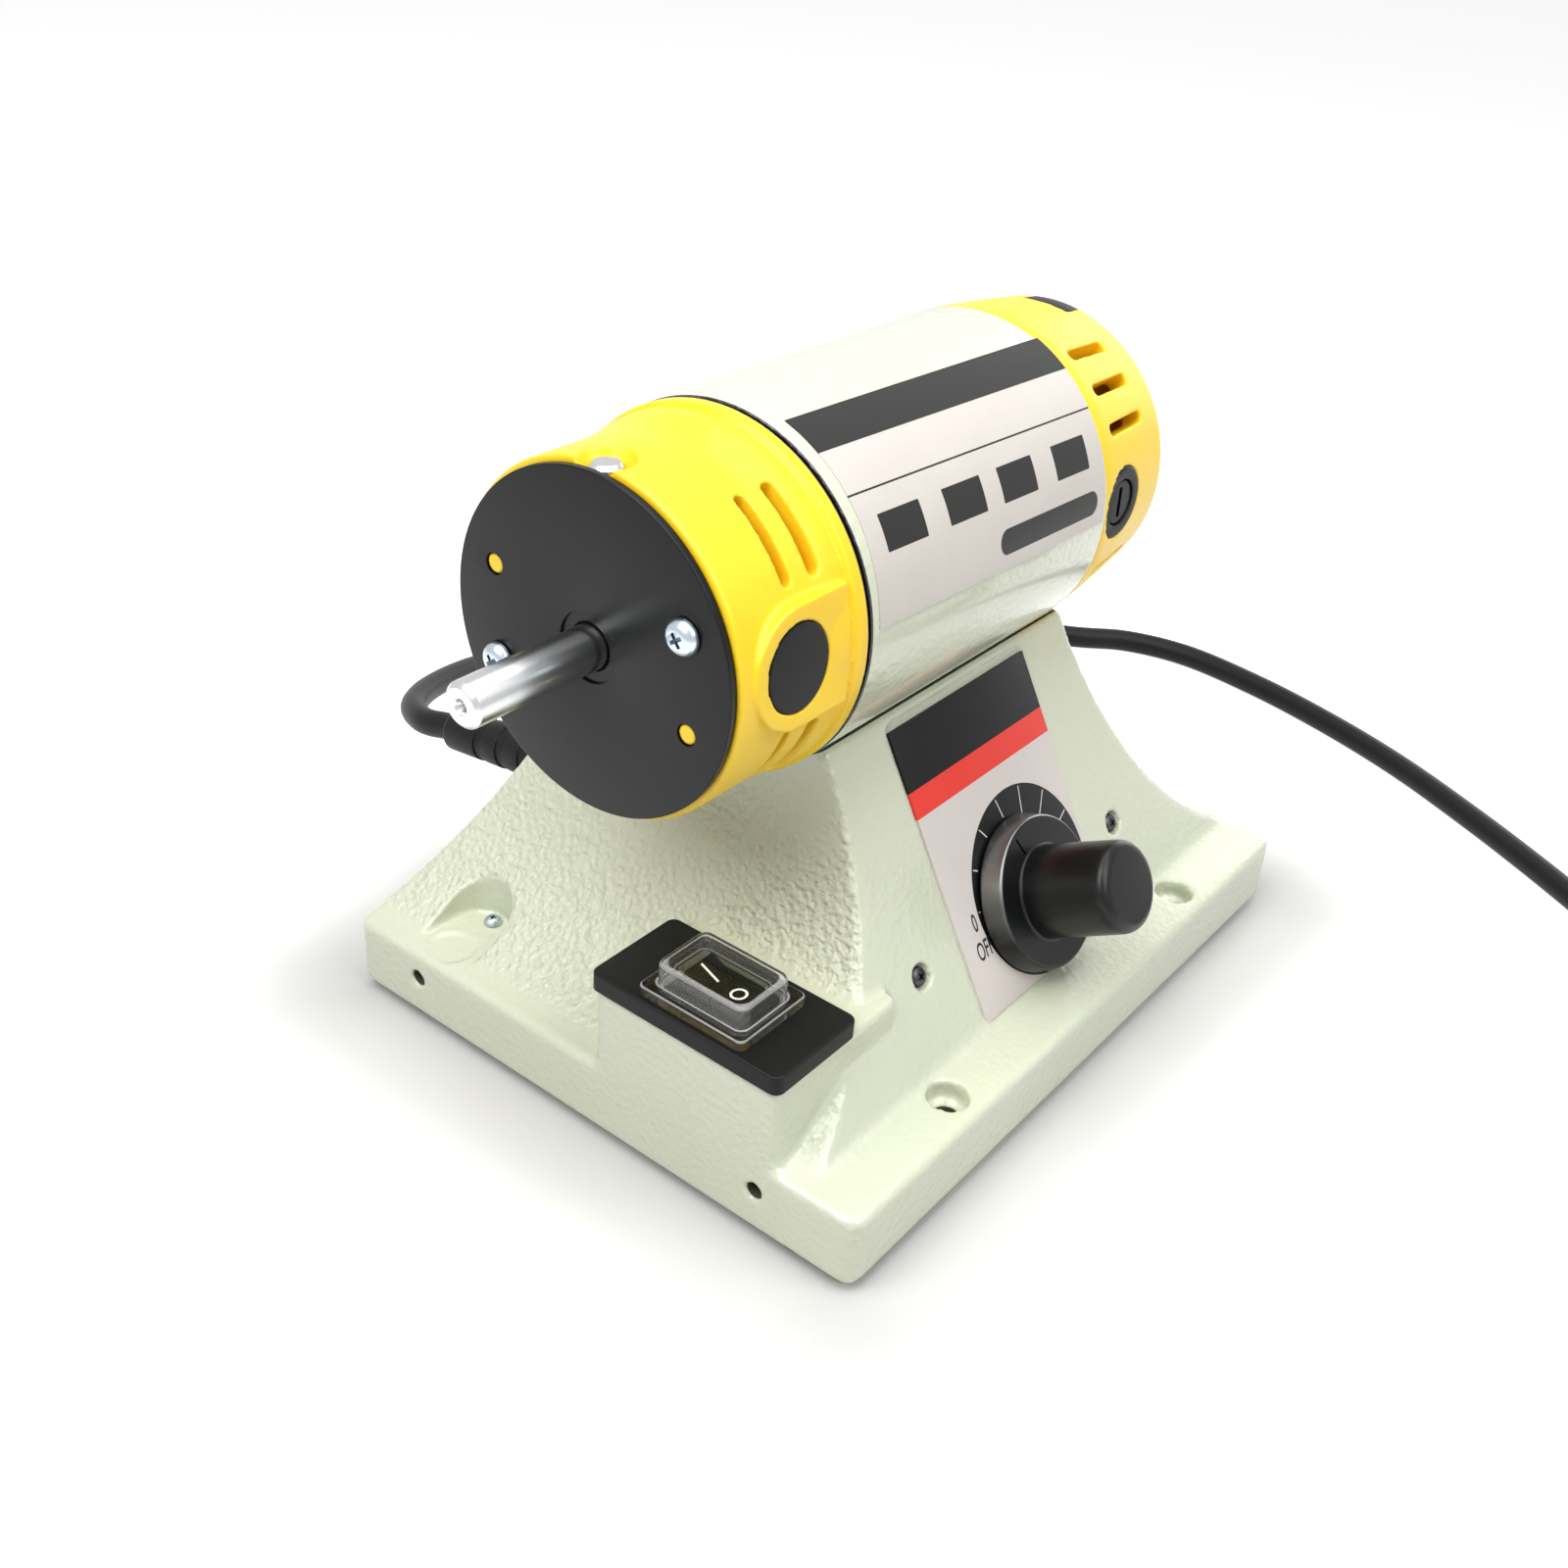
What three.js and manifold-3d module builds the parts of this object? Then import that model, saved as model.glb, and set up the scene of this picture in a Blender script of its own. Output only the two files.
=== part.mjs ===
// Bench polishing machine: a cast pedestal, a universal motor with a long spindle, a speed
// control on the sloped face, a rocker switch under a clear cover, and a mains lead.
// Millimetres, +Z up. The motor axis runs along X and the spindle points to -X.
// The knob side is -Y and the cord side is +Y. The origin is the centre of the footprint.
import * as THREE from 'three';
import { mergeVertices } from 'three/addons/utils/BufferGeometryUtils.js';
import Module from 'manifold-3d';

const wasm = await Module();
wasm.setup();

// Shared clearances and mesh fineness
const seatGap = 0.25;
const runningGap = 0.15;
const overrun = 5;
const hiddenSides = 16;
const roundSides = 32;
const smallSides = 12;
const headSides = 10;
const screwSides = 6;
const degree = Math.PI / 180;

// Cast pedestal, measured from the underside of the casting
const casting = {
  length: 206,
  width: 162.6,
  flangeHeight: 19.5,
  cornerRadius: 4,
  wall: 4,
  lift: 3,
};
const halfLength = casting.length / 2;
const halfWidth = casting.width / 2;
const castingTop = casting.lift + casting.flangeHeight;
const crownHeight = 90.9;
const pedestal = {
  centreX: 2.6,
  topHalfLength: 52.7,
  footHalfLength: halfLength - 3,
  topHeight: crownHeight,
  topHalfWidth: 25.1,
  slopeFootY: halfWidth - 15.8,
  shoulderY: halfWidth - 26.1,
  shoulderHeight: crownHeight - 14.9,
  crownWall: 6,
  arcSteps: 11,
};

// Motor, measured along its axis from the middle of the casting
const motor = {
  shellRadius: 42.3,
  shellWall: 2.1,
  shellFront: -60.6,
  shellRear: 37,
  saddleDepth: 5.75,
  seam: 0.3,
};
const axisHeight = pedestal.topHeight + motor.shellRadius - motor.saddleDepth;
const axisZ = casting.lift + axisHeight;

// Materials
function paint(color, roughness, metalness, opacity = 1) {
  const clear = opacity < 1;
  return new THREE.MeshStandardMaterial({ color, roughness, metalness, opacity, transparent: clear });
}
const finishes = {
  hammerPaint: () => paint(0xd9dcc6, 0.5, 0.2),
  yellowPlastic: () => paint(0xffc61a, 0.35, 0),
  blackPlastic: () => paint(0x1b1c1e, 0.4, 0),
  blackRubber: () => paint(0x17181a, 0.75, 0),
  clearPlastic: () => paint(0xe8ecee, 0.08, 0, 0.3),
  steel: () => paint(0xb9bcbe, 0.25, 1),
  zinc: () => paint(0xc9cdd2, 0.3, 1),
  brass: () => paint(0xc9a24a, 0.3, 1),
  copper: () => paint(0xb8683a, 0.4, 1),
  lamination: () => paint(0x6f7173, 0.55, 0.8),
  carbon: () => paint(0x2c2c2d, 0.7, 0.1),
  label: () => paint(0xd8cfd0, 0.35, 0.2),
  board: () => paint(0x2d5a34, 0.6, 0),
};

// Turns a three.js geometry into a solid with its faces pointing out
function solid(geometry) {
  const bare = geometry.clone();
  bare.deleteAttribute('normal');
  bare.deleteAttribute('uv');
  const merged = mergeVertices(bare, 1e-4);
  const positions = merged.attributes.position.array;
  const index = merged.index.array;
  const corners = [];
  let volume = 0;
  const a = new THREE.Vector3();
  const b = new THREE.Vector3();
  const c = new THREE.Vector3();
  for (let i = 0; i < index.length; i += 3) {
    const [p, q, r] = [index[i], index[i + 1], index[i + 2]];
    if (p === q || q === r || r === p) continue;
    corners.push(p, q, r);
    a.fromArray(positions, 3 * p);
    b.fromArray(positions, 3 * q);
    c.fromArray(positions, 3 * r);
    volume += a.dot(b.cross(c));
  }
  if (volume < 0) {
    for (let i = 0; i < corners.length; i += 3) {
      [corners[i + 1], corners[i + 2]] = [corners[i + 2], corners[i + 1]];
    }
  }
  const mesh = new wasm.Mesh({
    numProp: 3,
    vertProperties: new Float32Array(positions),
    triVerts: new Uint32Array(corners),
  });
  return new wasm.Manifold(mesh);
}

function geometryOf(body) {
  const mesh = body.getMesh();
  const geometry = new THREE.BufferGeometry();
  geometry.setAttribute('position', new THREE.BufferAttribute(mesh.vertProperties, 3));
  geometry.setIndex(new THREE.BufferAttribute(mesh.triVerts, 1));
  const flat = geometry.toNonIndexed();
  flat.computeVertexNormals();
  return flat;
}

function join(...bodies) {
  return bodies.reduce((sum, body) => sum.add(body));
}

function cut(body, ...tools) {
  return tools.reduce((rest, tool) => rest.subtract(tool), body);
}

// Block between two corners
function block(x0, x1, y0, y1, z0, z1) {
  const geometry = new THREE.BoxGeometry(x1 - x0, y1 - y0, z1 - z0);
  geometry.translate((x0 + x1) / 2, (y0 + y1) / 2, (z0 + z1) / 2);
  return solid(geometry);
}

const worldX = new THREE.Vector3(1, 0, 0);
const worldY = new THREE.Vector3(0, 1, 0);
const worldZ = new THREE.Vector3(0, 0, 1);

// A flat shape drawn in two axes, extruded along the third
function prism(shape, from, to, along, sides = 12) {
  const geometry = new THREE.ExtrudeGeometry(shape, {
    depth: to - from,
    bevelEnabled: false,
    curveSegments: sides,
    steps: 1,
  });
  geometry.translate(0, 0, from);
  const turn = new THREE.Matrix4();
  if (along === 'x') turn.makeBasis(worldY, worldZ, worldX);
  if (along === 'y') turn.makeBasis(worldZ, worldX, worldY);
  geometry.applyMatrix4(turn);
  return solid(geometry);
}

function polygon(points) {
  return new THREE.Shape(points.map(([u, v]) => new THREE.Vector2(u, v)));
}

// Rectangle with round corners, centred on a point
function roundedRectangle(u, v, width, height, radius) {
  const [w, h] = [width / 2, height / 2];
  const shape = new THREE.Shape();
  shape.moveTo(u - w + radius, v - h);
  shape.lineTo(u + w - radius, v - h);
  shape.absarc(u + w - radius, v - h + radius, radius, -90 * degree, 0);
  shape.absarc(u + w - radius, v + h - radius, radius, 0, 90 * degree);
  shape.absarc(u - w + radius, v + h - radius, radius, 90 * degree, 180 * degree);
  shape.absarc(u - w + radius, v - h + radius, radius, 180 * degree, 270 * degree);
  return shape;
}

// Round bar along an axis: u and v are its place in the other two axes, in X, Y, Z order
function rod(along, radius, from, to, u = 0, v = 0, sides = smallSides) {
  const geometry = new THREE.CylinderGeometry(radius, radius, to - from, sides);
  geometry.translate(0, (from + to) / 2, 0);
  if (along === 'x') geometry.rotateZ(-90 * degree).translate(0, u, v);
  if (along === 'y') geometry.translate(u, 0, v);
  if (along === 'z') geometry.rotateX(90 * degree).translate(u, v, 0);
  return solid(geometry);
}

// Cutter for a hole that a round bar of the given radius passes, whatever its number of sides
function bore(along, radius, from, to, u = 0, v = 0, sides = smallSides) {
  return rod(along, radius / Math.cos(Math.PI / sides), from, to, u, v, sides);
}

// Body turned about an axis: the outline is a list of [place along the axis, radius]
function turned(along, outline, sides = roundSides) {
  const points = outline.map(([place, radius]) => new THREE.Vector2(radius, place));
  points.push(points[0].clone());
  const geometry = new THREE.LatheGeometry(points, sides);
  if (along === 'x') geometry.rotateZ(-90 * degree);
  if (along === 'z') geometry.rotateX(90 * degree);
  return solid(geometry);
}

function ring(along, inner, outer, from, to, sides = roundSides) {
  return turned(along, [[from, inner], [from, outer], [to, outer], [to, inner]], sides);
}

// Cross recess of a Phillips screw, cut down from a place along +Z
function crossRecess(top, span, depth) {
  const arm = span / 5;
  const a = block(-span / 2, span / 2, -arm / 2, arm / 2, top - depth, top + overrun);
  const b = block(-arm / 2, arm / 2, -span / 2, span / 2, top - depth, top + overrun);
  return join(a, b);
}

// Pan-head screw pointing down -Z with the underside of its head at 0
const screwShares = { rimHeight: 0.6, crownRadius: 0.65, recessSpan: 1.25, recessDepth: 0.6 };

function panScrew(size) {
  const { headRadius, headHeight, shankRadius, shankLength } = size;
  const head = turned('z', [
    [0, 0],
    [0, headRadius],
    [headHeight * screwShares.rimHeight, headRadius],
    [headHeight, headRadius * screwShares.crownRadius],
    [headHeight, 0],
  ], headSides);
  const shank = rod('z', shankRadius, -shankLength, seatGap, 0, 0, screwSides);
  const recess = crossRecess(headHeight, headRadius * screwShares.recessSpan, headHeight * screwShares.recessDepth);
  return cut(join(head, shank), recess);
}

// Moves and turns a solid by a three.js matrix
function moved(body, matrix) {
  return body.transform(matrix.elements);
}

function shifted(body, x, y, z) {
  return body.translate([x, y, z]);
}

// Angle about the motor axis, up from the knob side
function aroundMotor(body, angle) {
  return body.rotate([-angle, 0, 0]);
}

const machine = new THREE.Group();
const motorGroup = new THREE.Group();
motorGroup.position.set(0, 0, axisZ);
machine.add(motorGroup);

function piece(name, body, material, parent = machine) {
  const mesh = new THREE.Mesh(geometryOf(body), material);
  mesh.name = name;
  parent.add(mesh);
  return mesh;
}

// Sloped face: its own frame has x across, y up the slope and z out of the face
const slopeRun = pedestal.slopeFootY - pedestal.topHalfWidth;
const slopeRise = pedestal.topHeight - casting.flangeHeight;
const slopeTilt = Math.atan2(slopeRun, slopeRise);
const slopeLength = Math.hypot(slopeRun, slopeRise);
const slopeUp = new THREE.Vector3(0, Math.sin(slopeTilt), Math.cos(slopeTilt));
const slopeOut = new THREE.Vector3(0, -Math.cos(slopeTilt), Math.sin(slopeTilt));
const slopeFrame = new THREE.Matrix4().makeBasis(worldX, slopeUp, slopeOut);
slopeFrame.setPosition(0, -pedestal.slopeFootY, castingTop);
const slopeGroup = new THREE.Group();
slopeGroup.applyMatrix4(slopeFrame);
machine.add(slopeGroup);

// Control panel on the sloped face
const panel = {
  centreX: 2.6,
  width: 60.2,
  bottom: 0.6,
  top: slopeLength - 4.04,
  thickness: 0.9,
  cornerRadius: 3.5,
  recessDepth: 0.8,
  recessMargin: 0.5,
  recessTop: slopeLength - 1.64,
};
const control = {
  x: 3.2,
  y: 22.1,
  bushingRadius: 3.5,
  bushingHole: 3.8,
  bushingHeight: 6,
  bodyRadius: 12,
  bodyDepth: 9,
  shaftRadius: 3,
  shaftLength: 22,
  nutRadius: 5.6,
  nutHeight: 2,
  tabLength: 8,
  tabWidth: 2,
  tabThickness: 0.6,
  rootLength: 1,
};
const panelScrew = {
  xs: [-43.6, 48.8],
  y: 22,
  headRadius: 2.7,
  headHeight: 2,
  shankRadius: 1.5,
  counterbore: 3.3,
  counterboreDepth: 2.4,
  hole: 1.75,
};
const board = {
  depth: 24,
  thickness: 1.6,
  marginX: 5,
  height: 26,
  spacerRadius: 3.5,
};

// Switch block on the spindle side
const switchBlock = {
  front: -halfLength,
  rear: -halfLength + 27,
  near: -halfWidth + 23.8,
  far: -halfWidth + 77.3,
  top: 43.2,
  back: -halfLength + 45,
  cornerRadius: 2,
};
const switchPlate = {
  thickness: 4.3,
  cornerRadius: 2.4,
  bevel: 0.6,
  overhang: 0.8,
};
const rocker = {
  x: switchBlock.front + 12,
  y: switchBlock.near + 25.7,
  bodyX: 12.6,
  bodyY: 18.6,
  bodyDepth: 13,
  bezelX: 15,
  bezelY: 21,
  bezelHeight: 2,
  wall: 1.2,
  paddleGap: 0.35,
  paddleDepth: 6.7,
  paddleRise: 4.2,
  pivotRadius: 0.9,
  pivotDepth: 0.9,
  throw: 18,
  wellMargin: 0.8,
};
const rockerShares = { tuck: 0.62, lip: 0.27, valley: 0.5 };
const cover = {
  flangeX: 23,
  flangeY: 30.2,
  flangeHeight: 2.6,
  domeX: 17.2,
  domeY: 25.6,
  height: 8.6,
  wall: 0.8,
  round: 1.6,
  cornerRadius: 1.4,
};

// Mounting holes, pockets and side holes of the casting
const mountHole = {
  xs: [-halfLength + 48, halfLength - 45.3],
  y: -halfWidth + 9.1,
  counterbore: 7.4,
  counterboreDepth: 8,
  hole: 3.75,
  columnRadius: 8.9,
};
const pocket = {
  endX: halfLength - 16,
  y: halfWidth - 27.8,
  halfWidth: 9.5,
  floorWall: 4,
  spotX: halfLength - 8,
  spotRadius: 6.5,
  spotDepth: 0.6,
  screwX: halfLength - 22.1,
  screwHeadRadius: 2.8,
  screwHeadHeight: 2,
  screwShankRadius: 1.6,
  screwLength: 9,
  pillarRadius: 4,
};
const sideHole = {
  ys: [-halfWidth + 28.3, halfWidth - 23.1],
  height: 11.3,
  radius: 2.3,
  depth: 9,
  bossRadius: 4.6,
};
const foot = {
  x: halfLength - 12,
  y: halfWidth - 19.3,
  radius: 10,
  baseRadius: 9,
  height: 2.75,
  headRadius: 3.5,
  headHeight: 1.3,
  headPocket: 4.2,
  pocketDepth: 1.9,
  shankRadius: 1.8,
  shankLength: 9,
  shankHole: 2.1,
  columnRadius: 6.5,
};
const bottomPlate = {
  bottom: 3.5,
  thickness: 1.5,
  edgeGap: 0.6,
};

// Cord outlet on the cord side wall
const boot = {
  end: [-41.1, halfWidth + 28.7, 41.1],
  direction: [-0.02, 0.99, -0.14],
  length: 45,
  rootRadius: 7,
  endRadius: 5.9,
  neckRadius: 4.6,
  neckLength: 12,
  holeGap: 0.3,
};
const cordRadius = 3.9;
const cordSides = 8;
const cordSteps = 38;

// Width of the pedestal at a height, by the concave arc of its ends
function pedestalArc(inset) {
  const rise = pedestal.topHeight - casting.flangeHeight;
  const run = pedestal.footHalfLength - pedestal.topHalfLength;
  const radius = (run * run + rise * rise) / (2 * run);
  return { radius: radius + inset, centreOffset: pedestal.topHalfLength + radius };
}

// Outline of the pedestal from the knob side, as points of [x, z]
function pedestalOutline(inset, bottom, top) {
  const { radius, centreOffset } = pedestalArc(inset);
  const crown = pedestal.topHeight;
  const start = Math.asin(Math.min(1, (crown - casting.flangeHeight) / radius));
  const side = [];
  for (let i = 0; i <= pedestal.arcSteps; i += 1) {
    const angle = start * (1 - i / pedestal.arcSteps);
    side.push([centreOffset - radius * Math.cos(angle), crown - radius * Math.sin(angle)]);
  }
  const widest = side[0][0];
  const right = side.filter(([, height]) => height < top);
  right.push([centreOffset - Math.sqrt(radius * radius - (crown - top) ** 2), top]);
  const outline = [[widest, bottom], ...right];
  const mirrored = outline.map(([x, z]) => [-x, z]).reverse();
  return [...outline, ...mirrored].map(([x, z]) => [x + pedestal.centreX, z + casting.lift]);
}

// Section of the pedestal across the motor axis, as points of [y, z], set in by a wall
function pedestalSection(inset, bottom, top) {
  const slopeInset = inset / Math.cos(slopeTilt);
  const backRun = casting.width / 2 - pedestal.shoulderY;
  const backRise = pedestal.shoulderHeight - casting.flangeHeight;
  const backTilt = Math.atan2(backRun, backRise);
  const backInset = inset / Math.cos(backTilt);
  const slopeAt = (z) => -pedestal.slopeFootY + slopeInset + (z - casting.flangeHeight) * Math.tan(slopeTilt);
  const backAt = (z) => casting.width / 2 - backInset - (z - casting.flangeHeight) * Math.tan(backTilt);
  const shoulderRun = pedestal.shoulderY - pedestal.topHalfWidth;
  const shoulderDrop = pedestal.topHeight - pedestal.shoulderHeight;
  const shoulderTilt = Math.atan2(shoulderDrop, shoulderRun);
  const shoulderAt = (y) => pedestal.topHeight - inset / Math.cos(shoulderTilt)
    - (y - pedestal.topHalfWidth) * Math.tan(shoulderTilt);
  const meetY = pedestal.shoulderY - inset;
  const shoulderStart = Math.min(pedestal.topHalfWidth, pedestal.topHalfWidth
    + (shoulderAt(pedestal.topHalfWidth) - top) / Math.tan(shoulderTilt));
  const points = [
    [slopeAt(casting.flangeHeight), bottom],
    [slopeAt(casting.flangeHeight), casting.flangeHeight],
    [slopeAt(top), top],
    [shoulderStart, top],
    [meetY, shoulderAt(meetY)],
    [backAt(casting.flangeHeight), casting.flangeHeight],
    [backAt(casting.flangeHeight), bottom],
  ];
  return points.map(([y, z]) => [y, z + casting.lift]).reverse();
}

// Pocket over a corner of the cord side: a slot with a round end that opens to the flange edge
function pocketSlot(side, margin, from, to) {
  const radius = pocket.halfWidth + margin;
  const outer = casting.length / 2 + overrun;
  const low = Math.min(side * pocket.endX, side * outer);
  const high = Math.max(side * pocket.endX, side * outer);
  const round = rod('z', radius, from, to, side * pocket.endX, pocket.y, roundSides / 2);
  return join(round, block(low, high, pocket.y - radius, pocket.y + radius, from, to));
}

function buildCasting() {
  const inside = casting.flangeHeight / 2;
  const flangeShape = roundedRectangle(0, 0, casting.length, casting.width, casting.cornerRadius);
  const flange = prism(flangeShape, casting.lift, castingTop, 'z', 4);
  const crown = pedestal.topHeight;
  const reach = casting.length;
  const outer = prism(polygon(pedestalSection(0, inside, crown)), -reach, reach, 'x')
    .intersect(prismXZ(pedestalOutline(0, inside, crown), -reach, reach));
  const footprint = prism(flangeShape, 0, castingTop + crown, 'z', 4);
  const body = outer.intersect(footprint);
  const blockTop = casting.lift + switchBlock.top;
  const blockShape = roundedRectangle(
    (switchBlock.front + switchBlock.back) / 2,
    (switchBlock.near + switchBlock.far) / 2,
    switchBlock.back - switchBlock.front,
    switchBlock.far - switchBlock.near,
    switchBlock.cornerRadius,
  );
  const switchBody = prism(blockShape, casting.lift + inside, blockTop, 'z', 4);

  const wall = casting.wall;
  const cavityTop = axisHeight - motor.shellRadius - seatGap - pedestal.crownWall;
  const pedestalCavity = prism(polygon(pedestalSection(wall, -overrun, cavityTop)), -reach, reach, 'x')
    .intersect(prismXZ(pedestalOutline(wall, -overrun, cavityTop), -reach, reach));
  const flangeCavity = block(
    -casting.length / 2 + wall, casting.length / 2 - wall,
    -casting.width / 2 + wall, casting.width / 2 - wall,
    -overrun, castingTop - wall,
  );
  const blockCavity = block(
    switchBlock.front + wall, switchBlock.back + overrun,
    switchBlock.near + wall, switchBlock.far - wall,
    0, blockTop - wall,
  );
  let cavity = join(pedestalCavity, flangeCavity, blockCavity).intersect(block(
    -casting.length / 2 + wall, casting.length / 2 - wall,
    -casting.width / 2 + wall, casting.width / 2 - wall,
    -overrun, casting.lift + crown,
  ));
  const pocketFloor = castingTop;
  for (const side of [-1, 1]) {
    cavity = cut(cavity, pocketSlot(side, wall, pocketFloor - pocket.floorWall, blockTop + crown));
  }
  let shell = cut(join(flange, body, switchBody), cavity);

  // Columns and bosses inside the hollow
  const columnTop = castingTop - wall / 2;
  const columnBottom = bottomPlate.bottom + bottomPlate.thickness + seatGap;
  for (const x of mountHole.xs) {
    shell = join(shell, rod('z', mountHole.columnRadius, casting.lift, columnTop, x, mountHole.y));
  }
  for (const x of [-foot.x, foot.x]) {
    for (const y of [-foot.y, foot.y]) {
      shell = join(shell, rod('z', foot.columnRadius, columnBottom, columnTop, x, y));
    }
  }
  const sideZ = casting.lift + sideHole.height;
  const faceX = -casting.length / 2;
  for (const y of sideHole.ys) {
    const bossEnd = faceX + sideHole.depth + wall;
    shell = join(shell, rod('x', sideHole.bossRadius, faceX + wall / 2, bossEnd, y, sideZ));
  }

  // Cuts: saddle, pockets, holes, panel recess
  const cradle = rod('x', motor.shellRadius + seatGap, -reach, reach, 0, axisZ, roundSides);
  shell = cut(shell, cradle);
  for (const side of [-1, 1]) {
    const spot = rod('z', pocket.spotRadius, pocketFloor - pocket.spotDepth, castingTop + overrun,
      side * pocket.spotX, pocket.y);
    const drill = bore('z', pocket.screwShankRadius + runningGap, 0, castingTop + overrun,
      side * pocket.screwX, pocket.y, screwSides);
    shell = cut(shell, pocketSlot(side, 0, pocketFloor, blockTop + crown), spot, drill);
  }
  for (const x of mountHole.xs) {
    const recess = rod('z', mountHole.counterbore, castingTop - mountHole.counterboreDepth,
      castingTop + overrun, x, mountHole.y, roundSides / 2);
    shell = cut(shell, recess, bore('z', mountHole.hole, 0, castingTop, x, mountHole.y));
  }
  for (const x of [-foot.x, foot.x]) {
    for (const y of [-foot.y, foot.y]) {
      const top = columnBottom + foot.shankLength;
      shell = cut(shell, bore('z', foot.shankRadius + runningGap, 0, top, x, y, screwSides));
    }
  }
  for (const y of sideHole.ys) {
    shell = cut(shell, rod('x', sideHole.radius, faceX - overrun, faceX + sideHole.depth, y, sideZ));
  }
  shell = cut(shell, ...slopeCuts().map((tool) => moved(tool, slopeFrame)));
  const opening = block(
    rocker.x - rocker.bodyX / 2 - seatGap, rocker.x + rocker.bodyX / 2 + seatGap,
    rocker.y - rocker.bodyY / 2 - seatGap, rocker.y + rocker.bodyY / 2 + seatGap,
    blockTop - wall - overrun, blockTop + overrun,
  );
  const outlet = moved(bore('z', boot.neckRadius + boot.holeGap, -boot.neckLength - overrun, boot.length), bootFrame);
  shell = cut(shell, opening, outlet);
  for (const screw of saddleScrews.xs) {
    shell = cut(shell, bore('z', saddleScrews.hole, 0, axisZ, screw, 0, screwSides));
  }
  piece('base_casting', shell, finishes.hammerPaint());
}

// Extrusion along Y of an outline given as points of [x, z]
function prismXZ(points, from, to) {
  const shape = polygon(points.map(([x, z]) => [z, x]));
  return prism(shape, from, to, 'y');
}

// Cuts in the sloped face, in the frame of that face
function slopeCuts() {
  const recessWidth = panel.width + 2 * panel.recessMargin;
  const recessBottom = panel.bottom - panel.recessMargin;
  const recessHeight = panel.recessTop - recessBottom;
  const recessShape = roundedRectangle(panel.centreX, recessBottom + recessHeight / 2,
    recessWidth, recessHeight, panel.cornerRadius);
  const recess = prism(recessShape, -panel.recessDepth, overrun, 'z', 6);
  const through = casting.wall + overrun;
  const bushing = bore('z', control.bushingHole, -through, overrun, control.x, control.y);
  const tools = [recess, bushing];
  for (const x of panelScrew.xs) {
    tools.push(bore('z', panelScrew.counterbore, -panelScrew.counterboreDepth, overrun, x, panelScrew.y));
    tools.push(bore('z', panelScrew.hole, -through, overrun, x, panelScrew.y, screwSides));
  }
  return tools;
}

// Frame of the cord boot: +Z points out along the cord
const bootAxis = new THREE.Vector3(...boot.direction).normalize();
const bootRoot = new THREE.Vector3(...boot.end).addScaledVector(bootAxis, -boot.length);
const bootFrame = new THREE.Matrix4().compose(
  bootRoot,
  new THREE.Quaternion().setFromUnitVectors(worldZ, bootAxis),
  new THREE.Vector3(1, 1, 1),
);

// Screws that hold the motor down, put in from the hollow of the casting
const saddleScrews = {
  xs: [-22, 8],
  headRadius: 4.4,
  headHeight: 3.6,
  shankRadius: 2.4,
  hole: 2.8,
  reach: 7,
};

function buildBottom() {
  const wall = casting.wall + bottomPlate.edgeGap;
  const top = bottomPlate.bottom + bottomPlate.thickness;
  let plate = block(
    -casting.length / 2 + wall, casting.length / 2 - wall,
    -casting.width / 2 + wall, casting.width / 2 - wall,
    bottomPlate.bottom, top,
  );
  for (const x of mountHole.xs) {
    const notch = rod('z', mountHole.columnRadius + seatGap, 0, castingTop, x, mountHole.y);
    const edge = block(x - mountHole.columnRadius - seatGap, x + mountHole.columnRadius + seatGap,
      -casting.width / 2, mountHole.y, 0, castingTop);
    plate = cut(plate, notch, edge);
  }
  const pillarTop = castingTop - pocket.floorWall - seatGap;
  for (const side of [-1, 1]) {
    const pillar = rod('z', pocket.pillarRadius, bottomPlate.bottom, pillarTop, side * pocket.screwX, pocket.y);
    const drill = bore('z', pocket.screwShankRadius + runningGap, top, castingTop,
      side * pocket.screwX, pocket.y, screwSides);
    plate = cut(join(plate, pillar), drill);
  }
  const corners = [[-1, -1], [1, -1], [-1, 1], [1, 1]];
  for (const [sx, sy] of corners) {
    plate = cut(plate, bore('z', foot.shankHole, 0, castingTop, sx * foot.x, sy * foot.y, screwSides));
  }
  piece('bottom_plate', plate, finishes.zinc());

  const rubber = cut(
    turned('z', [[0, 0], [0, foot.baseRadius], [foot.height, foot.radius], [foot.height, 0]], roundSides / 2),
    bore('z', foot.headPocket, -overrun, foot.pocketDepth),
    bore('z', foot.shankHole, -overrun, foot.height + overrun, 0, 0, screwSides),
  );
  const screw = panScrew(foot).rotate([180, 0, 0]);
  corners.forEach(([sx, sy], i) => {
    piece(`rubber_foot_${i + 1}`, shifted(rubber, sx * foot.x, sy * foot.y, 0), finishes.blackRubber());
    const head = foot.pocketDepth - runningGap;
    piece(`foot_screw_${i + 1}`, shifted(screw, sx * foot.x, sy * foot.y, head), finishes.zinc());
  });
  const pocketScrew = panScrew({
    headRadius: pocket.screwHeadRadius,
    headHeight: pocket.screwHeadHeight,
    shankRadius: pocket.screwShankRadius,
    shankLength: pocket.screwLength,
  });
  [-1, 1].forEach((side) => {
    const name = side < 0 ? 'pocket_screw_spindle_side' : 'pocket_screw_rear_side';
    piece(name, shifted(pocketScrew, side * pocket.screwX, pocket.y, castingTop + runningGap), finishes.zinc());
  });
}

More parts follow.
